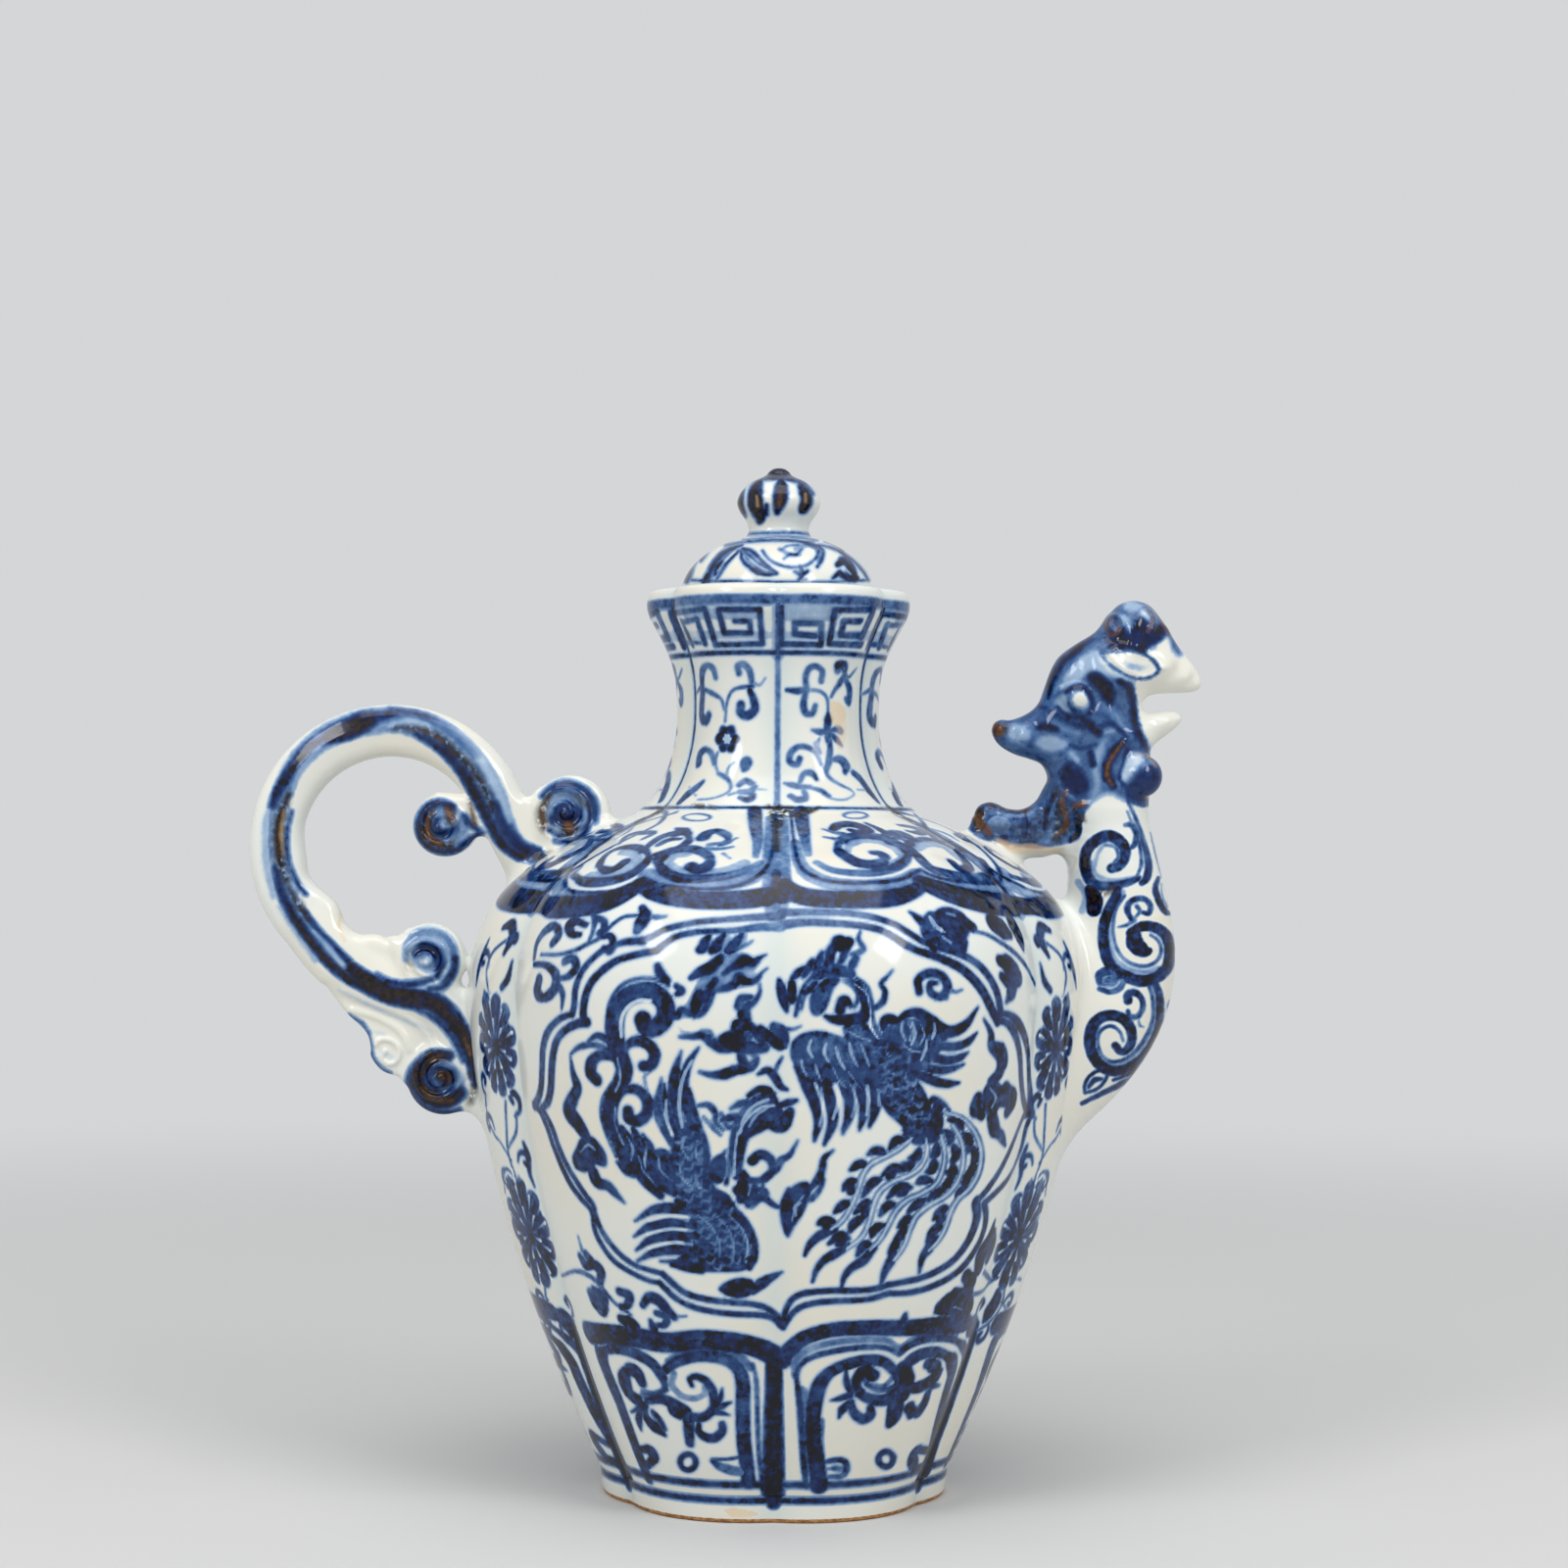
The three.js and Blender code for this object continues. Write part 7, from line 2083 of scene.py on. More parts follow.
headPaint = {
    "washBlots": [
        (0.6,
         [1156,606, 1178,611, 1192,630, 1200,648, 1207,668, 1199,668, 1194,660, 1190,651, 1184,655,
          1177,662,
                1168,666, 1156,664, 1143,668, 1131,667, 1124,671, 1130,680, 1144,690, 1157,696, 1158,710,
                1160,726,
                1164,741, 1170,754, 1176,766, 1192,790, 1184,815, 1170,823, 1158,822, 1149,819, 1138,813,
                1128,811,
                1117,818, 1108,829, 1104,842, 1102,855, 1090,861, 1060,866, 1030,862, 1000,856, 984,838,
                994,812,
                1040,818, 1058,800, 1060,788, 1050,780, 1010,766, 1003,745, 1012,728, 1045,722, 1058,704,
                1066,678,
                1092,650, 1118,636, 1126,622, 1140,608]),
    ],
    "overStrokes": [
        ((4, 7, 7, 4), (0.8, 0.95, 0.9, 0.7), [1076,692, 1083,677, 1093,668, 1104,658, 1114,652]),
        ((3, 5, 4), (0.7, 0.85, 0.7), [1070,712, 1072,696, 1078,682]),
        ((5, 8, 8, 7, 5), (0.75, 0.85, 0.85, 0.85, 0.8),
         [1142,695, 1152,702, 1156,718, 1158,736, 1163,750, 1170,764]),
        ((3, 5, 5, 4, 4, 4, 3), (0.9, 0.95, 0.85, 0.85, 0.8),
         [1088,706, 1096,701, 1106,703, 1113,711, 1115,721, 1110,729, 1099,732, 1087,729, 1079,722]),
        ((2, 3, 3), (0.5, 0.7, 0.8), [1090,712, 1091,719, 1096,726]),
        ((1.8, 2.2, 2.2, 2.6, 3.0), (0.7, 0.8, 0.8, 0.85, 0.9),
         [1124,667, 1131,677, 1144,686, 1158,692, 1171,692, 1180,687, 1183,683]),
        ((1.8, 2, 2.6, 3.4), (0.6, 0.7, 0.85, 0.92),
         [1124,667, 1140,664, 1158,665, 1170,669, 1178,676, 1182,682]),
        ((4, 8, 8, 4), (0.14, 0.26, 0.22, 0.1), [1146,676, 1154,680, 1163,681, 1172,680]),
        ((7, 9, 8), (0.8, 0.95, 0.9), [1106,733, 1114,742, 1121,748]), ((5, 7), 0.9, [1113,768, 1116,780]),
        ((3, 4, 3), 0.75, [1122,742, 1132,738, 1142,744, 1150,752]),
        ((2, 3), 0.6, [1092,760, 1104,764, 1118,760]),
        ((7, 10, 10, 9, 6), 0.95, [1146,757, 1137,767, 1131,780, 1130,792, 1136,803]),
        ((3, 4, 3), 0.75, [1150,764, 1146,778, 1142,794, 1150,804]),
        ((5, 7, 5), 0.9, [1060,742, 1068,741, 1078,744]),
        (1.3, 0.9, [1046,828, 1048,840, 1047,852]), ((4, 5, 3), 0.85, [1075,812, 1068,830, 1066,846]),
        ((5, 6, 4), 0.85, [1098,836, 1101,848, 1092,858]), ((2, 3), 0.7, [1154,818, 1166,822, 1173,820]),
        ((3, 4), 0.6, [1060,720, 1075,728, 1095,738, 1110,742]),
        ((4, 5, 3), 0.7, [1092,790, 1100,800, 1098,812]),
    ],
    "overBlots": [
        (0.72,
         [1126,648, 1131,652, 1140,648, 1145,640, 1152,645, 1158,636, 1164,630, 1170,634, 1172,646,
          1178,638,
                1187,640, 1189,651, 1180,657, 1171,661, 1168,669, 1158,665, 1146,662, 1139,666, 1131,660]),
        (0.8, [1111,689, 1119,686, 1128,691, 1136,700, 1138,712, 1133,720, 1126,714, 1119,703, 1112,696]),
        (0.62, [1157,797, 1164,788, 1173,780, 1182,786, 1184,800, 1177,813, 1163,819, 1152,815, 1149,806]),
        (0.75, [1082,786, 1094,776, 1106,788, 1110,806, 1098,812, 1086,804]),
    ],
    "liftBlots": [
        (0.62,
         [1084,692, 1096,677, 1105,668, 1118,663, 1127,672, 1136,684, 1143,691, 1130,690, 1119,685,
          1110,686,
                1104,694, 1092,700, 1080,704]),
        (0.98, [1104,704, 1110,709, 1111,717, 1106,723, 1098,722, 1094,716, 1095,708]),
        (0.6, [1079,711, 1088,708, 1095,716, 1095,726, 1085,727, 1077,719]),
        (0.72, [1141,790, 1144,777, 1152,770, 1163,768, 1168,775, 1162,783, 1156,791, 1149,798, 1142,799]),
        (0.35, [1166,780, 1176,776, 1181,784, 1176,792, 1168,788]),
        (0.4, [1152,808, 1164,813, 1174,806, 1164,803]),
        (0.98, [1126,668, 1140,666, 1158,667, 1172,672, 1180,682, 1172,690, 1156,690, 1140,682, 1130,675]),
        (0.55, [1029,742, 1040,738, 1051,744, 1051,754, 1038,757, 1027,752]),
        (0.5, [1056,756, 1070,749, 1088,755, 1090,762, 1074,768, 1060,764]),
        (0.3, [1008,838, 1018,832, 1030,838, 1028,850, 1016,852, 1008,846]),
        (0.55, [1148,612, 1160,613, 1168,620, 1158,624, 1147,622]),
        (0.5, [1141,628, 1150,627, 1156,636, 1153,643, 1146,636]),
        (0.75, [1163,621, 1170,622, 1174,630, 1170,633, 1163,628]),
        (0.7, [1186,648, 1192,650, 1194,660, 1190,668, 1184,662]),
    ],
    "liftStrokes": [
        ((6, 10, 8, 6), (0.3, 0.5, 0.45, 0.3), [1130,752, 1122,766, 1118,784, 1120,802, 1113,816]),
        ((6, 9, 6), 0.5, [1092,768, 1098,776, 1096,786]), ((4, 7, 4), 0.45, [1126,748, 1134,746, 1141,742]),
        ((4, 8, 8, 4), 0.3, [1128,722, 1138,730, 1146,742, 1152,752]),
        ((3, 5, 3), 0.45, [1158,804, 1168,808, 1178,806]),
        ((4, 6, 4), 0.35, [1076,706, 1082,698, 1092,690]), ((4, 6), 0.35, [1020,744, 1030,752, 1044,760]),
        ((5, 6), 0.35, [1074,738, 1086,744, 1100,748]), ((4, 5, 4), 0.5, [1075,852, 1084,846, 1078,838]),
    ],
    "iron": [
        ((6, 8, 5), 0.6, [1113,690, 1122,697, 1129,708]), ((6, 7, 6), 0.6, [1132,652, 1142,656, 1152,654]),
        ((4, 5), 0.6, [1164,634, 1166,650, 1165,664]), ((14, 16), 1.0, [1014,746, 1021,744]),
        ((5, 7), 0.6, [1062,742, 1074,744]), ((8, 9), 0.7, [1108,738, 1118,746]),
        ((7, 8), 0.6, [1078,672, 1094,664, 1104,660]),
        ((12, 18, 18, 12), 0.8, [1078,808, 1082,824, 1084,840, 1078,856]),
        ((8, 10), 0.9, [1096,822, 1104,836]),
        ((20, 24, 26, 20), 0.5, [1066,836, 1056,848, 1036,853, 1012,850]),
        ((12, 16), 1.0, [998,826, 1000,842]),
        ((5, 6, 5), 0.8, [1008,820, 1030,827, 1050,826]), ((4, 5), 0.6, [1172,772, 1180,784]),
    ],
    "amber": [
        ((2, 4, 4, 3), (0.9, 1.0, 1.0, 0.9), [1146,759, 1137,769, 1131,781, 1130,792, 1135,801]),
        ((3, 4.5, 4.5, 3.5), (0.8, 0.95, 0.9, 0.8),
         [1138,629, 1131,634, 1130,642, 1136,647, 1142,643, 1140,637]),
        ((2, 4, 4, 3), (0.7, 0.85, 0.9), [1170,622, 1175,629, 1175,638, 1171,644]),
        ((3, 5, 3), 0.85, [1184,635, 1190,641, 1193,648]),
        ((8, 10, 7), 0.7, [1013,740, 1020,745, 1018,750]),
        ((4, 6, 6, 6, 4), 0.85, [1089,806, 1084,820, 1088,834, 1086,846, 1078,852]),
        ((6, 8), 0.9, [1097,822, 1105,820]),
        ((2, 3, 3, 2), 0.5, [1003,818, 1020,824, 1046,828, 1062,815]),
        ((8, 12, 8), 0.5, [996,832, 1002,842, 1010,850]),
        ((7, 12, 12, 9, 5), 0.34, [1018,858, 1036,866, 1052,866, 1070,868, 1086,866]),
        ((3, 4, 3), 0.34, [1060,868, 1084,872, 1098,876, 1094,888]),
        ((2, 3, 2), 0.3, [1160,768, 1172,773, 1179,782]),
    ],
}
spoutPaint = {
    "washes": [
        (6, 0.36, [1146,910, 1136,928, 1131,952, 1136,975, 1150,988, 1168,992, 1182,988]),
        (5, 0.34, [1175,1006, 1180,1030, 1173,1056, 1158,1078, 1140,1088, 1122,1081, 1115,1064, 1120,1048]),
        (6, 0.34, [1113,880, 1119,893, 1136,899, 1156,896]), (8, 0.3, [1100,900, 1108,914, 1104,930]),
        (5, 0.3, [1126,862, 1120,872, 1117,884]), (3, 0.3, [1160,848, 1164,866, 1166,884]),
    ],
    "lines": [
        ((3, 5, 7, 8, 6), (0.6, 0.7, 0.8, 0.9, 0.92),
         [1151,818, 1160,838, 1167,860, 1172,882, 1170,896, 1165,901]),
        ((2, 4, 4, 3), (0.5, 0.62, 0.6, 0.6), [1150,828, 1159,848, 1164,868, 1164,884, 1160,894]),
        ((4, 7, 7, 4), (0.6, 0.75, 0.75, 0.6), [1148,842, 1155,842, 1160,851, 1158,861, 1153,866]),
        ((10, 10, 11, 12, 12, 11, 11, 11, 10, 8, 6),
         (0.78, 0.7, 0.72, 0.78, 0.9, 0.95, 0.85, 0.68, 0.62, 0.7),
         [1134,886, 1141,884, 1147,877, 1148,866, 1141,857, 1130,853, 1118,858, 1109,868, 1107,882,
          1111,896, 1119,903,
          1134,904, 1150,901, 1162,896]),
        ((3, 4, 3), 0.6, [1128,862, 1138,865, 1141,874, 1137,880]),
        ((8, 11, 11, 11, 12, 12, 12, 12, 12, 11, 10, 10),
         (0.9, 0.8, 0.82, 0.85, 0.88, 0.82, 0.78, 0.88, 0.95, 0.96, 0.95),
         [1141,904, 1138,916, 1131,930, 1126,946, 1126,963, 1130,979, 1138,990, 1150,997, 1166,1001,
          1181,997, 1191,987,
          1194,972, 1191,957, 1182,948, 1170,945, 1161,947, 1154,953]),
        ((14, 18, 16, 10, 6), 0.95, [1157,952, 1158,962, 1163,968, 1169,971, 1173,970]),
        ((3, 3.6, 4, 4, 4, 3), (0.6, 0.58, 0.6, 0.62, 0.65),
         [1148,914, 1140,926, 1136,942, 1137,960, 1143,974, 1154,983,
          1168,986, 1180,981, 1185,970, 1182,960, 1174,954]),
        ((4, 7, 6, 6, 6, 4), (0.85, 0.75, 0.7, 0.72, 0.8),
         [1156,940, 1151,931, 1152,922, 1160,917, 1169,918, 1174,925, 1172,932, 1166,931]),
        ((2, 4, 4), 0.62, [1141,946, 1150,944, 1158,939]), ((3, 5), 0.6, [1157,938, 1163,930, 1160,925]),
        ((4, 7, 7, 4), 0.78, [1182,896, 1179,907, 1183,920, 1189,930, 1193,932]),
        ((1.6, 2), 0.5, [1185,902, 1186,914, 1191,925]),
        ((7, 10, 10, 8), (0.85, 0.85, 0.75, 0.8),
         [1122,1002, 1122,995, 1130,991, 1138,992, 1138,999, 1130,1000]),
        ((5, 6, 7, 6), (0.85, 0.7, 0.65, 0.6), [1122,1009, 1133,1012, 1143,1008, 1147,998]),
        ((4, 4, 3), 0.65, [1124,1004, 1136,1005, 1142,999]),
        ((7, 8, 8, 8, 8, 9, 10, 11, 12, 12, 12, 11, 11, 11, 10, 9, 8, 8),
         (0.75, 0.85, 0.92, 0.92, 0.9, 0.85, 0.9, 0.9, 0.88, 0.85, 0.9, 0.92, 0.9, 0.95, 0.96, 0.9, 0.85,
          0.9),
         [1178,1001, 1183,1015, 1184,1033, 1181,1052, 1173,1069, 1161,1083, 1148,1091, 1135,1093, 1123,1087,
          1115,1076,
          1112,1062, 1114,1049, 1121,1040, 1133,1036, 1145,1039, 1153,1048, 1155,1060, 1151,1070, 1144,1073,
          1138,1067]),
        ((3, 4, 4, 4, 4, 4, 3), 0.64,
         [1171,1003, 1176,1020, 1176,1040, 1169,1058, 1157,1074, 1145,1082, 1133,1083, 1124,1076,
          1120,1063, 1123,1052, 1133,1047, 1142,1052, 1146,1062]),
        ((9, 8, 6, 6, 6, 5), (0.92, 0.85, 0.75, 0.7, 0.75, 0.7),
         [1151,1021, 1151,1015, 1158,1013, 1165,1019, 1166,1029, 1161,1037, 1153,1037, 1151,1032]),
        ((2, 3, 2), 0.55, [1161,1037, 1163,1046, 1167,1048]),
        ((3, 5, 4, 4, 5), (0.8, 0.85, 0.7, 0.75, 0.85),
         [1198,1018, 1193,1025, 1194,1036, 1189,1044, 1184,1050, 1191,1050, 1197,1039]),
        (3.4, 0.88,
         [1107,1115, 1107,1106, 1113,1097, 1123,1092, 1130,1095, 1126,1105, 1118,1112, 1108,1115]),
        ((4, 6, 3), 0.72, [1111,1109, 1117,1102, 1125,1101]),
        ((4, 6, 5, 3), 0.9, [1180,1070, 1167,1086, 1152,1096, 1136,1102]),
        ((2, 5, 6, 5, 4), 0.88, [1180,1078, 1164,1094, 1144,1106, 1122,1117, 1104,1126]),
        ((2, 2.4, 2.4, 2), 0.55, [1189,902, 1196,928, 1200,958, 1202,988, 1200,1010]),
        ((2, 2.4), 0.5, [1174,850, 1180,875, 1186,894]),
        ((12, 17, 15), 0.97, [1113,908, 1117,919, 1116,928]),
    ],
    "iron": [((10, 14, 12), 0.95, [1113,910, 1117,920, 1116,926]), ((8, 10), 0.8, [1124,912, 1134,908]),
             ((4, 6), 0.6, [1154,953, 1162,947]),
             ((5, 7), 0.6, [1108,868, 1107,880]), ((4, 6, 4), 0.6, [1136,1094, 1150,1094])],
}
handlePaint = {
    "washes": [
        ((46, 46), 0.42, [452,842, 456,844]), ((42, 42), 0.4, [577,828, 580,830]),
        ((42, 42), 0.36, [438,971, 441,973]),
        ((48, 48), 0.45, [448,1104, 451,1106]),
        ((20, 24, 30, 34, 36, 34, 30, 27, 29, 27, 24, 22, 21, 21, 21, 21, 22, 23, 23, 23, 22, 21, 22, 23,
          24, 19, 14, 10),
         (0.5, 0.55, 0.5, 0.42, 0.4, 0.4, 0.42, 0.46, 0.5, 0.5, 0.44, 0.4, 0.4, 0.4, 0.4, 0.38, 0.38, 0.42,
          0.42, 0.45, 0.6, 0.7),
         [548,874, 526,864, 511,842, 501,816, 487,790, 468,766, 440,746, 410,736, 380,736, 350,744, 325,757,
          305,776, 291,800,
          284,825, 281,850, 282,878, 289,904, 301,930, 318,955, 340,978, 362,995, 390,1011, 416,1018,
          441,1024, 458,1037,
          470,1054, 478,1074, 484,1096]),
        ((6, 11, 12, 8), 0.24, [277,812, 271,845, 273,885, 279,915]),
        ((4, 7, 6), 0.3, [284,925, 302,952, 322,980]),
        ((9, 13, 13, 12, 11, 8), (0.35, 0.4, 0.42, 0.5, 0.55, 0.6),
         [414,978, 417,963, 429,953, 443,952, 456,959, 463,973, 462,990, 452,1002]),
        ((5, 8, 5), 0.16, [346,1010, 378,1026, 410,1040, 440,1052]), ((5, 7), 0.14, [378,1052, 392,1055]),
        ((6, 9), 0.14, [388,1072, 400,1080]),
    ],
    "lines": [
        ((5, 9, 10, 9, 8, 7), (0.6, 0.8, 0.85, 0.85, 0.85, 0.9),
         [425,749, 452,766, 472,788, 486,813, 499,838, 511,860, 530,874]),
        ((3, 6, 7, 5), 0.62, [398,724, 432,730, 462,746, 486,770]),
        ((9, 12, 10), (0.6, 0.7, 0.8), [506,822, 515,846, 531,864, 548,870]),
        ((5, 10, 18, 20, 12), (0.6, 0.72, 0.88, 0.9, 0.8), [405,728, 388,731, 372,736, 353,745, 334,752]),
        ((6, 8, 8, 6), (0.7, 0.85, 0.85, 0.8), [334,750, 314,765, 298,785, 284,806, 278,822]),
        ((2, 4, 4, 4), 0.78, [298,828, 293,850, 294,876, 303,900, 312,912]),
        ((3, 4, 3), 0.6, [312,772, 302,790, 296,812]),
        ((4, 7, 8, 8, 8, 9), (0.8, 0.9, 0.92, 0.95, 0.95),
         [281,885, 288,912, 300,936, 315,957, 333,980, 352,997, 374,1008]),
        ((3, 5, 5, 6), 0.85, [311,930, 326,950, 341,966, 356,981]),
        ((12, 20, 20, 20, 18, 16, 14, 11, 9), 0.95,
         [358,988, 376,1003, 398,1014, 420,1019, 440,1022, 456,1034, 470,1053, 480,1076, 486,1104]),
        ((3, 8, 8, 5), 0.78, [384,994, 402,1004, 424,1004, 440,1000]),
        ((5, 8, 8, 5), 0.7, [446,1014, 463,1032, 474,1052, 482,1078]),
        ((3, 6, 6, 5), 0.74, [424,1029, 446,1041, 462,1059, 473,1082]),
        # scrolls: upper inner, upper outer, lower inner, lower outer
        ((4, 6, 7, 7, 6, 5), 0.92,
         [462,822, 450,818, 436,823, 428,836, 428,851, 436,863, 450,869, 466,867, 480,857, 491,850]),
        ((4, 7, 6), 0.78, [445,836, 446,846, 455,851, 463,846]),
        ((3, 5, 4), 0.9, [474,832, 481,842, 490,848]),
        ((5, 10, 11, 10, 6), (0.7, 0.75, 0.72, 0.7),
         [553,812, 565,804, 580,801, 596,808, 606,821, 607,838]),
        ((3, 5, 6, 5, 4), 0.93, [600,818, 602,834, 596,850, 583,859, 567,858]),
        ((10, 18, 20), 0.68, [566,836, 575,832, 583,836]),
        ((2, 3, 3, 2), 0.85, [566,826, 578,820, 590,826, 593,838]),
        ((2, 3, 2), 0.9, [560,846, 570,853, 582,852]),
        ((4, 9, 10, 8, 5), 0.9, [424,973, 433,967, 444,971, 449,983, 446,996]),
        ((3, 6, 6), 0.85, [465,978, 462,994, 452,1007, 438,1009]),
        ((6, 9, 10, 9, 6), (0.7, 0.75, 0.75, 0.8, 0.7),
         [432,1078, 420,1094, 420,1114, 431,1129, 449,1136, 468,1133]),
        ((10, 15, 16, 15, 12), 0.93,
         [458,1077, 442,1078, 429,1090, 427,1107, 438,1121, 456,1124, 470,1116]),
        ((4, 6, 7, 6), 0.6, [446,1088, 438,1098, 441,1110, 452,1115, 463,1110]),
        ((12, 16), 0.93, [450,1096, 456,1100]),
        ((2, 2.6, 3, 2.6), 0.7, [356,1036, 371,1046, 377,1060, 380,1078, 389,1090, 398,1095]),
    ],
    "lifts": [
        ((3, 8, 9, 9, 6), (0.3, 0.45, 0.5, 0.5, 0.4), [440,734, 466,748, 490,774, 508,806, 520,838]),
        ((3, 6, 6), 0.4, [398,740, 416,736, 436,740]),
        ((3, 5, 5, 3), 0.5, [326,763, 309,781, 299,802, 297,822]),
        ((3, 6, 6, 4), 0.45, [320,950, 335,965, 346,980, 354,988]),
        ((2, 3, 3), 0.5, [452,844, 464,840, 470,826]),
        ((2, 3), 0.5, [588,842, 597,838, 598,824]), ((4, 6), 0.8, [430,981, 434,982]),
        ((2, 4, 3), 0.5, [466,1084, 471,1098, 466,1110]),
    ],
    "iron": [
        ((6, 10, 11, 10, 8), 0.95, [402,743, 427,744, 448,753, 467,770, 484,788, 497,810, 503,826]),
        ((10, 16, 12), 0.85, [378,738, 362,742, 346,748]),
        ((7, 13, 14, 13, 10), 1.0, [295,810, 287,830, 284,852, 286,878, 292,898]),
        ((5, 11, 8), 0.95, [294,905, 304,922, 314,938]),
        ((4, 7, 7, 7), 0.85, [300,938, 318,962, 338,984, 356,998]),
        ((8, 14, 16, 14, 12, 10, 8), 0.85,
         [358,986, 378,1004, 404,1016, 432,1021, 456,1034, 472,1054, 481,1080]),
        ((12, 16, 16, 12), 1.0, [438,832, 434,846, 442,860, 458,862]), ((10, 12), 0.9, [458,826, 462,838]),
        ((5, 7), 0.95, [479,816, 484,840]),
        ((8, 12, 12), 0.95, [560,812, 553,828, 556,844]), ((8, 9), 0.8, [590,812, 600,822]),
        ((16, 20), 1.0, [579,842, 581,846]),
        ((5, 8), 0.6, [416,972, 418,986]),
        ((9, 14, 15, 14, 10), 0.97, [456,1077, 440,1079, 428,1092, 427,1108, 440,1121, 458,1124]),
        ((14, 18), 0.9, [450,1097, 454,1101]), ((6, 9, 8), 0.9, [480,1096, 484,1110, 480,1124]),
        ((6, 9, 8), 0.9, [530,872, 546,875, 560,872]),
    ],
    "amber": [
        ((3, 6, 6, 5), 0.75, [444,824, 436,838, 438,854, 450,862]), ((6, 9), 0.8, [456,826, 461,836]),
        ((2, 4), 0.8, [480,818, 485,842]),
        ((8, 10), 0.85, [579,841, 582,846]), ((3, 6, 6), 0.5, [560,814, 553,830, 557,844]),
        ((3, 5, 3), 0.4, [290,826, 287,850, 289,872]),
        ((3, 5, 4), 0.35, [350,926, 346,944, 352,960]), ((3, 6, 5), 0.5, [430,1110, 444,1122, 462,1122]),
        ((3, 5), 0.45, [474,1060, 480,1076]),
        ((3, 6), 0.5, [452,1076, 440,1080]), ((2, 4, 3), 0.5, [418,744, 438,748, 454,758]),
        ((6, 8), 0.5, [451,1096, 456,1102]),
    ],
}
domeSide, knobSide = SidePaint(domeCorners), SidePaint(knobCorners)
spoutSide, handleSide = SidePaint(spoutCorners), SidePaint(handleCorners)
layerLists = {"wash": "washes", "line": "lines", "lift": "lifts", "iron": "iron", "amber": "amber"}
for side, paint in ((domeSide, lidPaint), (knobSide, lidPaint), (handleSide, handlePaint)):
    for layer, name in layerLists.items():
        side.strokes(layer, paint[name])
spoutSide.blots("wash", headPaint["washBlots"])
spoutSide.strokes("wash", spoutPaint["washes"])
spoutSide.strokes("over", spoutPaint["lines"] + headPaint["overStrokes"])
spoutSide.blots("over", headPaint["overBlots"])
spoutSide.blots("lift", headPaint["liftBlots"])
spoutSide.strokes("lift", headPaint["liftStrokes"])
spoutSide.strokes("iron", headPaint["iron"] + spoutPaint["iron"])
spoutSide.strokes("amber", headPaint["amber"])
print("lid, spout, head and handle drawn")

# The drawings go on to the pieces. Grooves hold thicker, bluer glaze; the foot's edge, underside and
# bore are bare.

pools = {"strength": 0.5, "width": 5}  # the width in mm
bareEdge = {"height": 1.5, "fade": 0.5}  # up to where the foot is bare, and over what height that ends


def grooveShare(corners):
    # One in the grooves, falling off as a bell.
    turn = np.mod(np.arctan2(corners[..., 0], -corners[..., 1]) + sixth / 2, sixth) - sixth / 2
    return np.exp(-(turn * np.hypot(corners[..., 0], corners[..., 1]) / pools["width"]) ** 2)


def paintRows(canvas, first, count):
    # The layers of some of a canvas's rows, flat.
    rows = slice(first, first + count)
    paint = canvas.flat(rows)
    paint["pool"] = pools["strength"] * grooveShare(canvas.corners[rows]).ravel()
    return paint


def paintPiece(piece, paint, before=0):
    # The layers on a piece's corners, after some unpainted ones.
    count = len(piece.data.vertices)
    whole = {}
    for name, values in paint.items():
        blank = brush["far"] if name in layerNames else 0.0
        rest = np.full(count - before - len(values), blank)
        whole[name] = np.r_[np.full(before, blank), values, rest]
    setPaint(piece, whole)


first = 0
for name, rows in zip(bodyGrid["names"], bodyRows):
    under = bodyGrid["underRows"] * bodyGrid["columns"] if first == 0 else 0
    paintPiece(vesselPieces[name], paintRows(bodyCanvas, first, len(rows)), under)
    first += len(rows)
paintPiece(vesselPieces["neck_wall"], paintRows(neckCanvas, 0, len(neckOuter)))
paintPiece(vesselPieces["lip_wall"], paintRows(neckCanvas, len(neckOuter), len(lipOuter)))
footPaint = paintRows(footCanvas, 0, len(footOuter))
footBare = np.clip((bareEdge["height"] - footCanvas.corners[..., 2]) / bareEdge["fade"], 0, 1).ravel()
footPaint["bare"] = np.r_[footBare, np.ones(len(footInner) * bodyGrid["footColumns"])]
paintPiece(vesselPieces["foot_rim"], footPaint)

# How soft the edges of strokes are: the head is softer than the spout below it
headSoft = np.clip((brush["softBelow"] - spoutSide.places[:, 1]) / brush["softRows"], 0, 1)
for piece, side, soft in ((spoutPiece, spoutSide, headSoft), (handlePiece, handleSide, 0.6),
                          (lidDome, domeSide, 0.0), (lidKnob, knobSide, 0.15)):
    paint = side.flat()
    paint["soft"] = soft + np.zeros(len(side.places))
    paintPiece(piece, paint)

# Finishes


def colour(red, green, blue):
    # A screen colour of 0 to 255 as the linear light that a shader wants.
    values = [channel / 255 for channel in (red, green, blue)]
    return [v / 12.92 if v <= 0.04045 else ((v + 0.055) / 1.055) ** 2.4 for v in values] + [1]


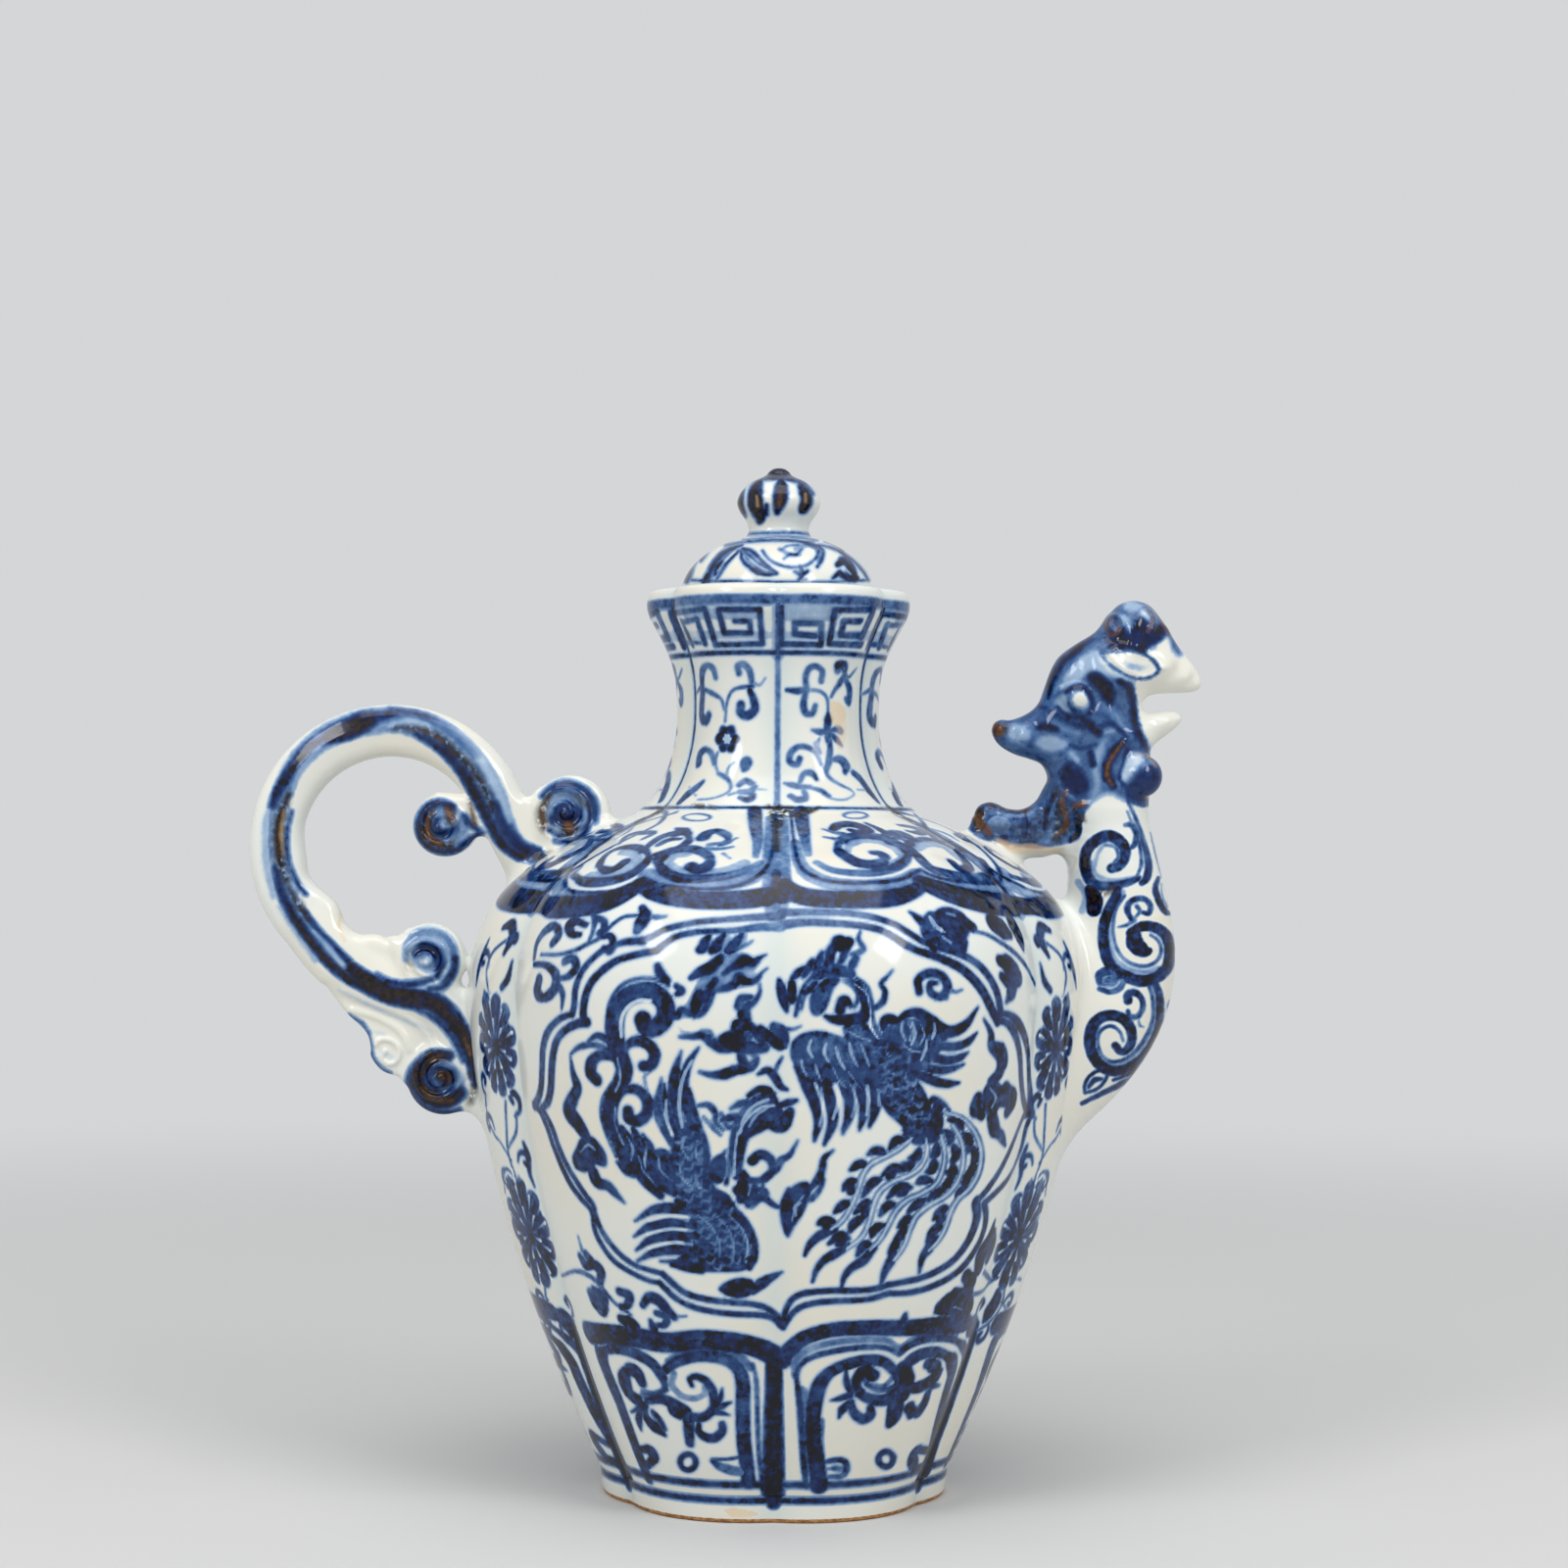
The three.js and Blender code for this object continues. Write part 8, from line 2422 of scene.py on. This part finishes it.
glaze = {
    "white": (230, 233, 227),
    "pool": (204, 219, 219),  # where the glaze lies thick
    "warm": (232, 228, 214),
    "pale": (161, 185, 211),
    "middle": (83, 118, 164),
    "strong": (28, 66, 118),
    "deep": (4, 30, 84),
    "darkest": (2, 6, 20),
    "iron": (46, 31, 20),
    "ironBlack": (10, 8, 10),
    "amber": (104, 66, 32),
    "stain": (228, 190, 128),  # the pale rust of the glaze's weakest amber
    "clay": (196, 150, 96),
    "clayDark": (150, 98, 56),
    "ramp": [  # density, colour
        (0.0, "white"), (0.2, "pale"), (0.45, "middle"), (0.66, "strong"), (0.86, "deep"), (1.0, "darkest"),
    ],
    "edges": {  # mm that a layer bleeds outwards and pales inwards, and its share of a piece's softness
        "wash": (0.6, 0.8, 1.0),
        "line": (0.55, 0.55, 1.0),
        "lift": (0.3, 0.3, 1.0),
        "over": (0.55, 0.55, 0.4),
        "iron": (0.8, 1.0, 1.0),
        "amber": (0.3, 0.8, 0.4),
    },
    "noises": {  # size in mm, detail, and the levels that it is faded between
        "waver": (1.6, 3),
        "patches": (6, 3, 0.28, 0.72),
        "finePatches": (1.9, 2),
        "heaps": (2.2, 2, 0.42, 0.72),
        "heapedPlaces": (9, 2, 0.35, 0.65),
        "tint": (60, 2, 0.35, 0.7),
        "iron": (2.2, 4, 0.34, 0.5),
        "ironTone": (1.5, 3, 0.4, 0.62),
        "speckle": (1.1, 4, 0.36, 0.56),
        "clay": (1.4, 4, 0.35, 0.65),
        "gloss": (3, 3, 0.3, 0.7),
        "ripple": (9, 2),
        "pits": (0.9, 2),
    },
    "softness": {"edge": 0.9, "core": 1.1, "waver": 0.7, "mottling": 0.5, "heaps": 0.7},  # of soft pieces
    "patchShares": (0.62, 0.38),  # of the broad and the fine patches
    "halo": 0.21,  # the pale blue beside every stroke
    "haloReach": (1.5, 0.3),  # mm from the stroke where it starts and is full
    "mottling": (0.64, 1.24),  # the cobalt's least and most
    "heaps": 0.65,  # the most that is added where cobalt lies heaped
    "heapsFrom": (0.46, 0.8),  # density where heaps start and are full
    "waver": 0.4,  # mm that the edges of strokes waver
    "roughness": (0.08, 0.13),
    "clayRoughness": 0.82,
    "shine": 0.34,
    "refraction": 1.52,
    "ripple": (0.05, 0.35),  # depth in mm, strength
    "pits": (0.012, 0.3),
}


def glazeColour(name):
    # One of the glaze's colours.
    return colour(*glaze[name])


class Shader:
    # A short way to add nodes to a material and link them.
    def __init__(self, name):
        self.material = bpy.data.materials.new(name)
        self.material.use_nodes = True
        self.nodes = self.material.node_tree.nodes
        self.links = self.material.node_tree.links
        self.surface = self.nodes["Principled BSDF"]

    def add(self, kind, **values):
        node = self.nodes.new(kind)
        for name, value in values.items():
            setattr(node, name, value)
        return node

    def plug(self, socket, value):
        # A number or colour is set on the socket; anything else is linked to it.
        if isinstance(value, (int, float, tuple, list)):
            socket.default_value = value
        else:
            self.links.new(value, socket)

    def math(self, operation, first, second=0.0, third=0.0, clamp=False):
        node = self.add("ShaderNodeMath", operation=operation, use_clamp=clamp)
        for socket, value in zip(node.inputs, (first, second, third)):
            self.plug(socket, value)
        return node.outputs[0]

    def times(self, first, second, clamp=False):
        return self.math("MULTIPLY", first, second, clamp=clamp)

    def rest(self, value, clamp=False):
        # One less the value.
        return self.math("SUBTRACT", 1.0, value, clamp=clamp)

    def scaled(self, value, scale, offset):
        return self.math("MULTIPLY_ADD", value, scale, offset)

    def paint(self, name):
        # A painted layer's numbers on the mesh.
        return self.add("ShaderNodeAttribute", attribute_name=name).outputs["Fac"]

    def objectPlace(self):
        return self.add("ShaderNodeTexCoord").outputs["Object"]

    def noise(self, place, size, detail):
        # Noise whose features are about a size in millimetres.
        node = self.add("ShaderNodeTexNoise")
        self.links.new(place, node.inputs["Vector"])
        node.inputs["Scale"].default_value = 1000 / size
        node.inputs["Detail"].default_value = detail
        return node.outputs["Fac"]

    def fade(self, value, low, high, out=(0.0, 1.0), smooth=True):
        # The value's way from low to high, as its way between two other numbers.
        node = self.add("ShaderNodeMapRange")
        node.interpolation_type = "SMOOTHSTEP" if smooth else "LINEAR"
        for socket, number in zip(node.inputs[1:5], (low, high, *out)):
            self.plug(socket, number)
        self.plug(node.inputs[0], value)
        return node.outputs[0]

    def ramp(self, value, stops):
        node = self.add("ShaderNodeValToRGB")
        elements = node.color_ramp.elements
        while len(elements) < len(stops):
            elements.new(0.5)
        for element, (place, shade) in zip(elements, stops):
            element.position = place
            element.color = shade
        self.plug(node.inputs[0], value)
        return node.outputs[0]

    def mix(self, share, first, second):
        node = self.add("ShaderNodeMix", data_type="RGBA")
        self.plug(node.inputs[0], share)
        self.plug(node.inputs[6], first)
        self.plug(node.inputs[7], second)
        return node.outputs[2]

    def bump(self, height, distance, strength, after=None):
        # A relief of a height in millimetres, on top of another bump if given.
        node = self.add("ShaderNodeBump")
        node.inputs["Distance"].default_value = distance / 1000
        node.inputs["Strength"].default_value = strength
        self.plug(node.inputs["Height"], height)
        if after is not None:
            self.links.new(after, node.inputs["Normal"])
        return node.outputs[0]


class PaintedGlaze(Shader):
    # Cobalt painted under a clear glaze. Each layer is a distance to its strokes in millimetres,
    # negative inside, and a strength; layers add up as washes do, and the sum picks the colour.
    def __init__(self, name):
        super().__init__(name)
        self.place = self.objectPlace()
        self.soft = self.paint("soft")
        self.waver = self.math("SUBTRACT", self.plainGrain("waver"), 0.5)
        self.waverWidth = self.scaled(self.soft, glaze["softness"]["waver"], glaze["waver"])
        self.finish(self.bareClay(self.burntMarks(self.glazed())))

    def plainGrain(self, name):
        # One of the glaze's noises.
        return self.noise(self.place, *glaze["noises"][name][:2])

    def grain(self, name, out=(0.0, 1.0)):
        # One of the glaze's noises, faded between two of its levels.
        return self.fade(self.plainGrain(name), *glaze["noises"][name][2:], out)

    def lessWhenSoft(self, name):
        # One, or less on soft pieces by the named softness.
        return self.scaled(self.soft, -glaze["softness"][name], 1.0)

    def layer(self, name):
        # Full inside by the core's depth, nothing beyond the edge; softer where the piece says so.
        edge, core, share = glaze["edges"][name]
        softness = glaze["softness"]
        distance = self.scaled(self.waver, self.waverWidth, self.paint(name))
        mask = self.fade(distance, self.scaled(self.soft, softness["edge"] * share, edge),
                         self.scaled(self.soft, -softness["core"] * share, -core))
        return self.times(mask, self.paint(name + "Tone"))

    def mottling(self):
        # How uneven the cobalt is, by two noises; soft pieces are mottled less.
        broadShare, fineShare = glaze["patchShares"]
        fine = self.times(self.plainGrain("finePatches"), fineShare)
        patches = self.scaled(self.plainGrain("patches"), broadShare, fine)
        uneven = self.fade(patches, *glaze["noises"]["patches"][2:], glaze["mottling"])
        return self.scaled(self.math("SUBTRACT", uneven, 1.0), self.lessWhenSoft("mottling"), 1.0)

    def density(self):
        # How much cobalt lies in the glaze: washes and lines with their halo, less what is lifted out,
        # then what is drawn over that, and dark heaps where it lies thick.
        mottling = self.mottling()
        wash = self.rest(self.times(self.layer("wash"), mottling))
        line = self.rest(self.times(self.layer("line"), mottling))
        beside = self.fade(self.paint("line"), *glaze["haloReach"], (0.0, glaze["halo"]))
        halo = self.times(beside, self.paint("lineTone"))
        laid = self.rest(self.times(self.times(wash, line), self.rest(halo)))
        kept = self.times(laid, self.rest(self.layer("lift")))
        over = self.times(self.layer("over"), mottling)
        density = self.rest(self.times(self.rest(kept), self.rest(over, clamp=True)), clamp=True)
        heaps = self.times(self.grain("heaps"), self.grain("heapedPlaces"))
        heaps = self.times(heaps, self.lessWhenSoft("heaps"))
        heaped = self.times(heaps, self.fade(density, *glaze["heapsFrom"], (0.0, glaze["heaps"])))
        return self.math("ADD", density, heaped, clamp=True)

    def glazed(self):
        # The white glaze, tinted in broad patches and where it pools, with the cobalt's colour on it.
        density = self.density()
        cobalt = self.ramp(density, [(place, glazeColour(name)) for place, name in glaze["ramp"]])
        ground = self.mix(self.grain("tint"), glazeColour("white"), glazeColour("warm"))
        ground = self.mix(self.paint("pool"), ground, glazeColour("pool"))
        return self.mix(self.fade(density, 0.0, 0.2, smooth=False), ground, cobalt)

    def burntMarks(self, body):
        # Iron burnt nearly black, and amber: a weak one is a pale rust stain, a strong one a brown edge.
        iron = self.times(self.layer("iron"), self.grain("iron"), clamp=True)
        ironShade = self.mix(self.grain("ironTone"), glazeColour("iron"), glazeColour("ironBlack"))
        body = self.mix(iron, body, ironShade)
        burnt = self.fade(self.paint("amberTone"), 0.36, 0.48)
        speckle = self.grain("speckle", (self.scaled(burnt, -0.6, 0.95), 1.0))
        amber = self.times(self.times(self.layer("amber"), 1.5), speckle, clamp=True)
        return self.mix(amber, body, self.mix(burnt, glazeColour("stain"), glazeColour("amber")))

    def bareClay(self, body):
        # Clay in two browns where the piece is bare.
        clay = self.mix(self.grain("clay"), glazeColour("clay"), glazeColour("clayDark"))
        self.bare = self.fade(self.scaled(self.waver, 0.5, self.paint("bare")), 0.4, 0.6)
        return self.mix(self.bare, body, clay)

    def finish(self, body):
        # A clear gloss with slow ripples and fine pits; bare clay is matt.
        inputs = self.surface.inputs
        rough = self.grain("gloss", glaze["roughness"])
        rough = self.math("MAXIMUM", rough, self.times(self.bare, glaze["clayRoughness"]))
        ripple = self.bump(self.plainGrain("ripple"), *glaze["ripple"])
        pits = self.bump(self.plainGrain("pits"), *glaze["pits"], after=ripple)
        self.links.new(body, inputs["Base Color"])
        self.links.new(rough, inputs["Roughness"])
        self.links.new(pits, inputs["Normal"])
        inputs["IOR"].default_value = glaze["refraction"]
        inputs["Specular IOR Level"].default_value = glaze["shine"]


porcelain = PaintedGlaze("painted porcelain").material

# The pieces, the nodes that they stand for, their bodies and slots
wholePieces = [
    (vesselPieces["foot_rim"], ["foot_ring"], "ewer", "biscuit"),
    (vesselPieces["body_foot_band"], ["body_lower"], "ewer", "porcelain"),
    (vesselPieces["body_lower_wall"], ["body_lower"], "ewer", "porcelain"),
    (vesselPieces["body_upper_wall"], ["body_upper"], "ewer", "porcelain"),
    (vesselPieces["body_shoulder"], ["body_upper"], "ewer", "porcelain"),
    (vesselPieces["body_neck_root"], ["body_upper"], "ewer", "porcelain"),
    (vesselPieces["neck_wall"], ["neck"], "ewer", "porcelain"),
    (vesselPieces["lip_wall"], ["lip"], "ewer", "porcelain"),
    (spoutPiece, ["spout", "spout_bridge", "phoenix_head", "head_horn", "head_bead_near", "head_bead_far",
                  "head_ear_near", "head_ear_far", "head_eye_near", "head_eye_far"],
     "ewer", "cobalt_porcelain"),
    (handlePiece, ["handle_strap", "handle_scroll_upper_outer", "handle_scroll_upper_inner",
                   "handle_scroll_lower_inner", "handle_scroll_lower_outer", "handle_leaf"],
     "ewer", "cobalt_porcelain"),
    (lidDome, ["lid_dome"], "lid", "porcelain"),
    (lidCollar, ["lid_collar"], "lid", "porcelain"),
    (lidKnob, ["lid_knob"], "lid", "cobalt_porcelain"),
]
for piece, nodes, body, slot in wholePieces:
    piece.data.materials.append(porcelain)
    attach(piece, body)
    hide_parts(*nodes)

# Floor, lamps and camera

studio = {
    "floor": (214, 214, 212),
    "floorReach": 30,  # metres
    "floorRoughness": 0.75,
    "backdrop": (212, 214, 216),  # what the camera, mirrors and glass see of the world and the far floor
    "floorFade": (0.3, 1.4),  # metres from the middle
    "world": (0.95, 0.97, 1.0, 1),
    "worldStrength": 0.36,
    "aim": 0.15,  # metres up the ewer that the lamps point at
    "lamps": [  # place in metres, size, watts
        ((-1.0, -1.15, 1.2), 0.85, 22),
        ((1.0, -1.15, 1.2), 0.85, 22),
        ((0.0, -0.5, 1.7), 1.3, 12),
    ],
}


def seenShare(nodes, links):
    # 1 for camera, glossy and transmission rays, and 0 for those that light the object.
    rays, total = nodes.new("ShaderNodeLightPath"), None
    for name in ("Is Camera Ray", "Is Glossy Ray", "Is Transmission Ray"):
        add = nodes.new("ShaderNodeMath")
        add.operation, add.use_clamp = "ADD", True
        add.inputs[1].default_value = 0
        links.new(rays.outputs[name], add.inputs[0])
        if total is not None:
            links.new(total, add.inputs[1])
        total = add.outputs[0]
    return total


def addFloor():
    # A plain floor. Far from the ewer it passes into the backdrop's colour.
    mesh = bpy.data.meshes.new("floor")
    reach = studio["floorReach"]
    corners = [(-reach, -reach, 0), (reach, -reach, 0), (reach, reach, 0), (-reach, reach, 0)]
    mesh.from_pydata(corners, [], [(0, 1, 2, 3)])
    floor = bpy.data.objects.new("floor", mesh)
    bpy.context.scene.collection.objects.link(floor)
    shade = Shader("floor")
    shade.surface.inputs["Base Color"].default_value = colour(*studio["floor"])
    shade.surface.inputs["Roughness"].default_value = studio["floorRoughness"]
    away = shade.add("ShaderNodeVectorMath", operation="LENGTH")
    shade.links.new(shade.objectPlace(), away.inputs[0])
    share = shade.times(shade.fade(away.outputs["Value"], *studio["floorFade"]),
                        seenShare(shade.nodes, shade.links))
    plain = shade.add("ShaderNodeEmission")
    plain.inputs[0].default_value = colour(*studio["backdrop"])
    choice = shade.add("ShaderNodeMixShader")
    shade.links.new(share, choice.inputs[0])
    shade.links.new(shade.surface.outputs[0], choice.inputs[1])
    shade.links.new(plain.outputs[0], choice.inputs[2])
    shade.links.new(choice.outputs[0], shade.nodes["Material Output"].inputs[0])
    mesh.materials.append(shade.material)


def addLamps():
    # Soft square lamps turned to the ewer, and a world that lights it but looks like the backdrop.
    target = np.array([axisX / 1000, 0, studio["aim"]])
    for place, size, power in studio["lamps"]:
        data = bpy.data.lights.new("softbox", "AREA")
        data.size, data.energy = size, power
        lamp = bpy.data.objects.new("softbox", data)
        bpy.context.scene.collection.objects.link(lamp)
        lamp.location = place
        direction = target - np.array(place)
        length = float(np.linalg.norm(direction))
        lamp.rotation_euler = (math.acos(-direction[2] / length), 0,
                               math.pi - math.atan2(direction[0], -direction[1]))
    world = bpy.data.worlds.new("studio")
    world.use_nodes = True
    background = world.node_tree.nodes["Background"]
    background.inputs[0].default_value = studio["world"]
    background.inputs[1].default_value = studio["worldStrength"]
    nodes, links = world.node_tree.nodes, world.node_tree.links
    seen, choice = nodes.new("ShaderNodeBackground"), nodes.new("ShaderNodeMixShader")
    seen.inputs[0].default_value = colour(*studio["backdrop"])
    links.new(seenShare(nodes, links), choice.inputs[0])
    links.new(background.outputs[0], choice.inputs[1])
    links.new(seen.outputs[0], choice.inputs[2])
    links.new(choice.outputs[0], nodes["World Output"].inputs[0])
    bpy.context.scene.world = world


def addCamera():
    # The photograph's camera, at its place before the vessel's axis.
    data = bpy.data.cameras.new("camera")
    data.sensor_width = 36  # mm
    data.lens = shot["focal"] / shot["frame"] * data.sensor_width
    camera = bpy.data.objects.new("camera", data)
    bpy.context.scene.collection.objects.link(camera)
    eye, right, up, ahead = cameraAxes()
    matrix = np.eye(4)
    matrix[:3, 0], matrix[:3, 1], matrix[:3, 2] = right, up, -ahead
    matrix[:3, 3] = (eye + [axisX, 0, 0]) / 1000
    camera.matrix_world = matrix.T.tolist()
    bpy.context.scene.camera = camera


addFloor()
addLamps()
addCamera()
bpy.context.scene.view_settings.view_transform = "Standard"
print("floor, lamps and camera set")
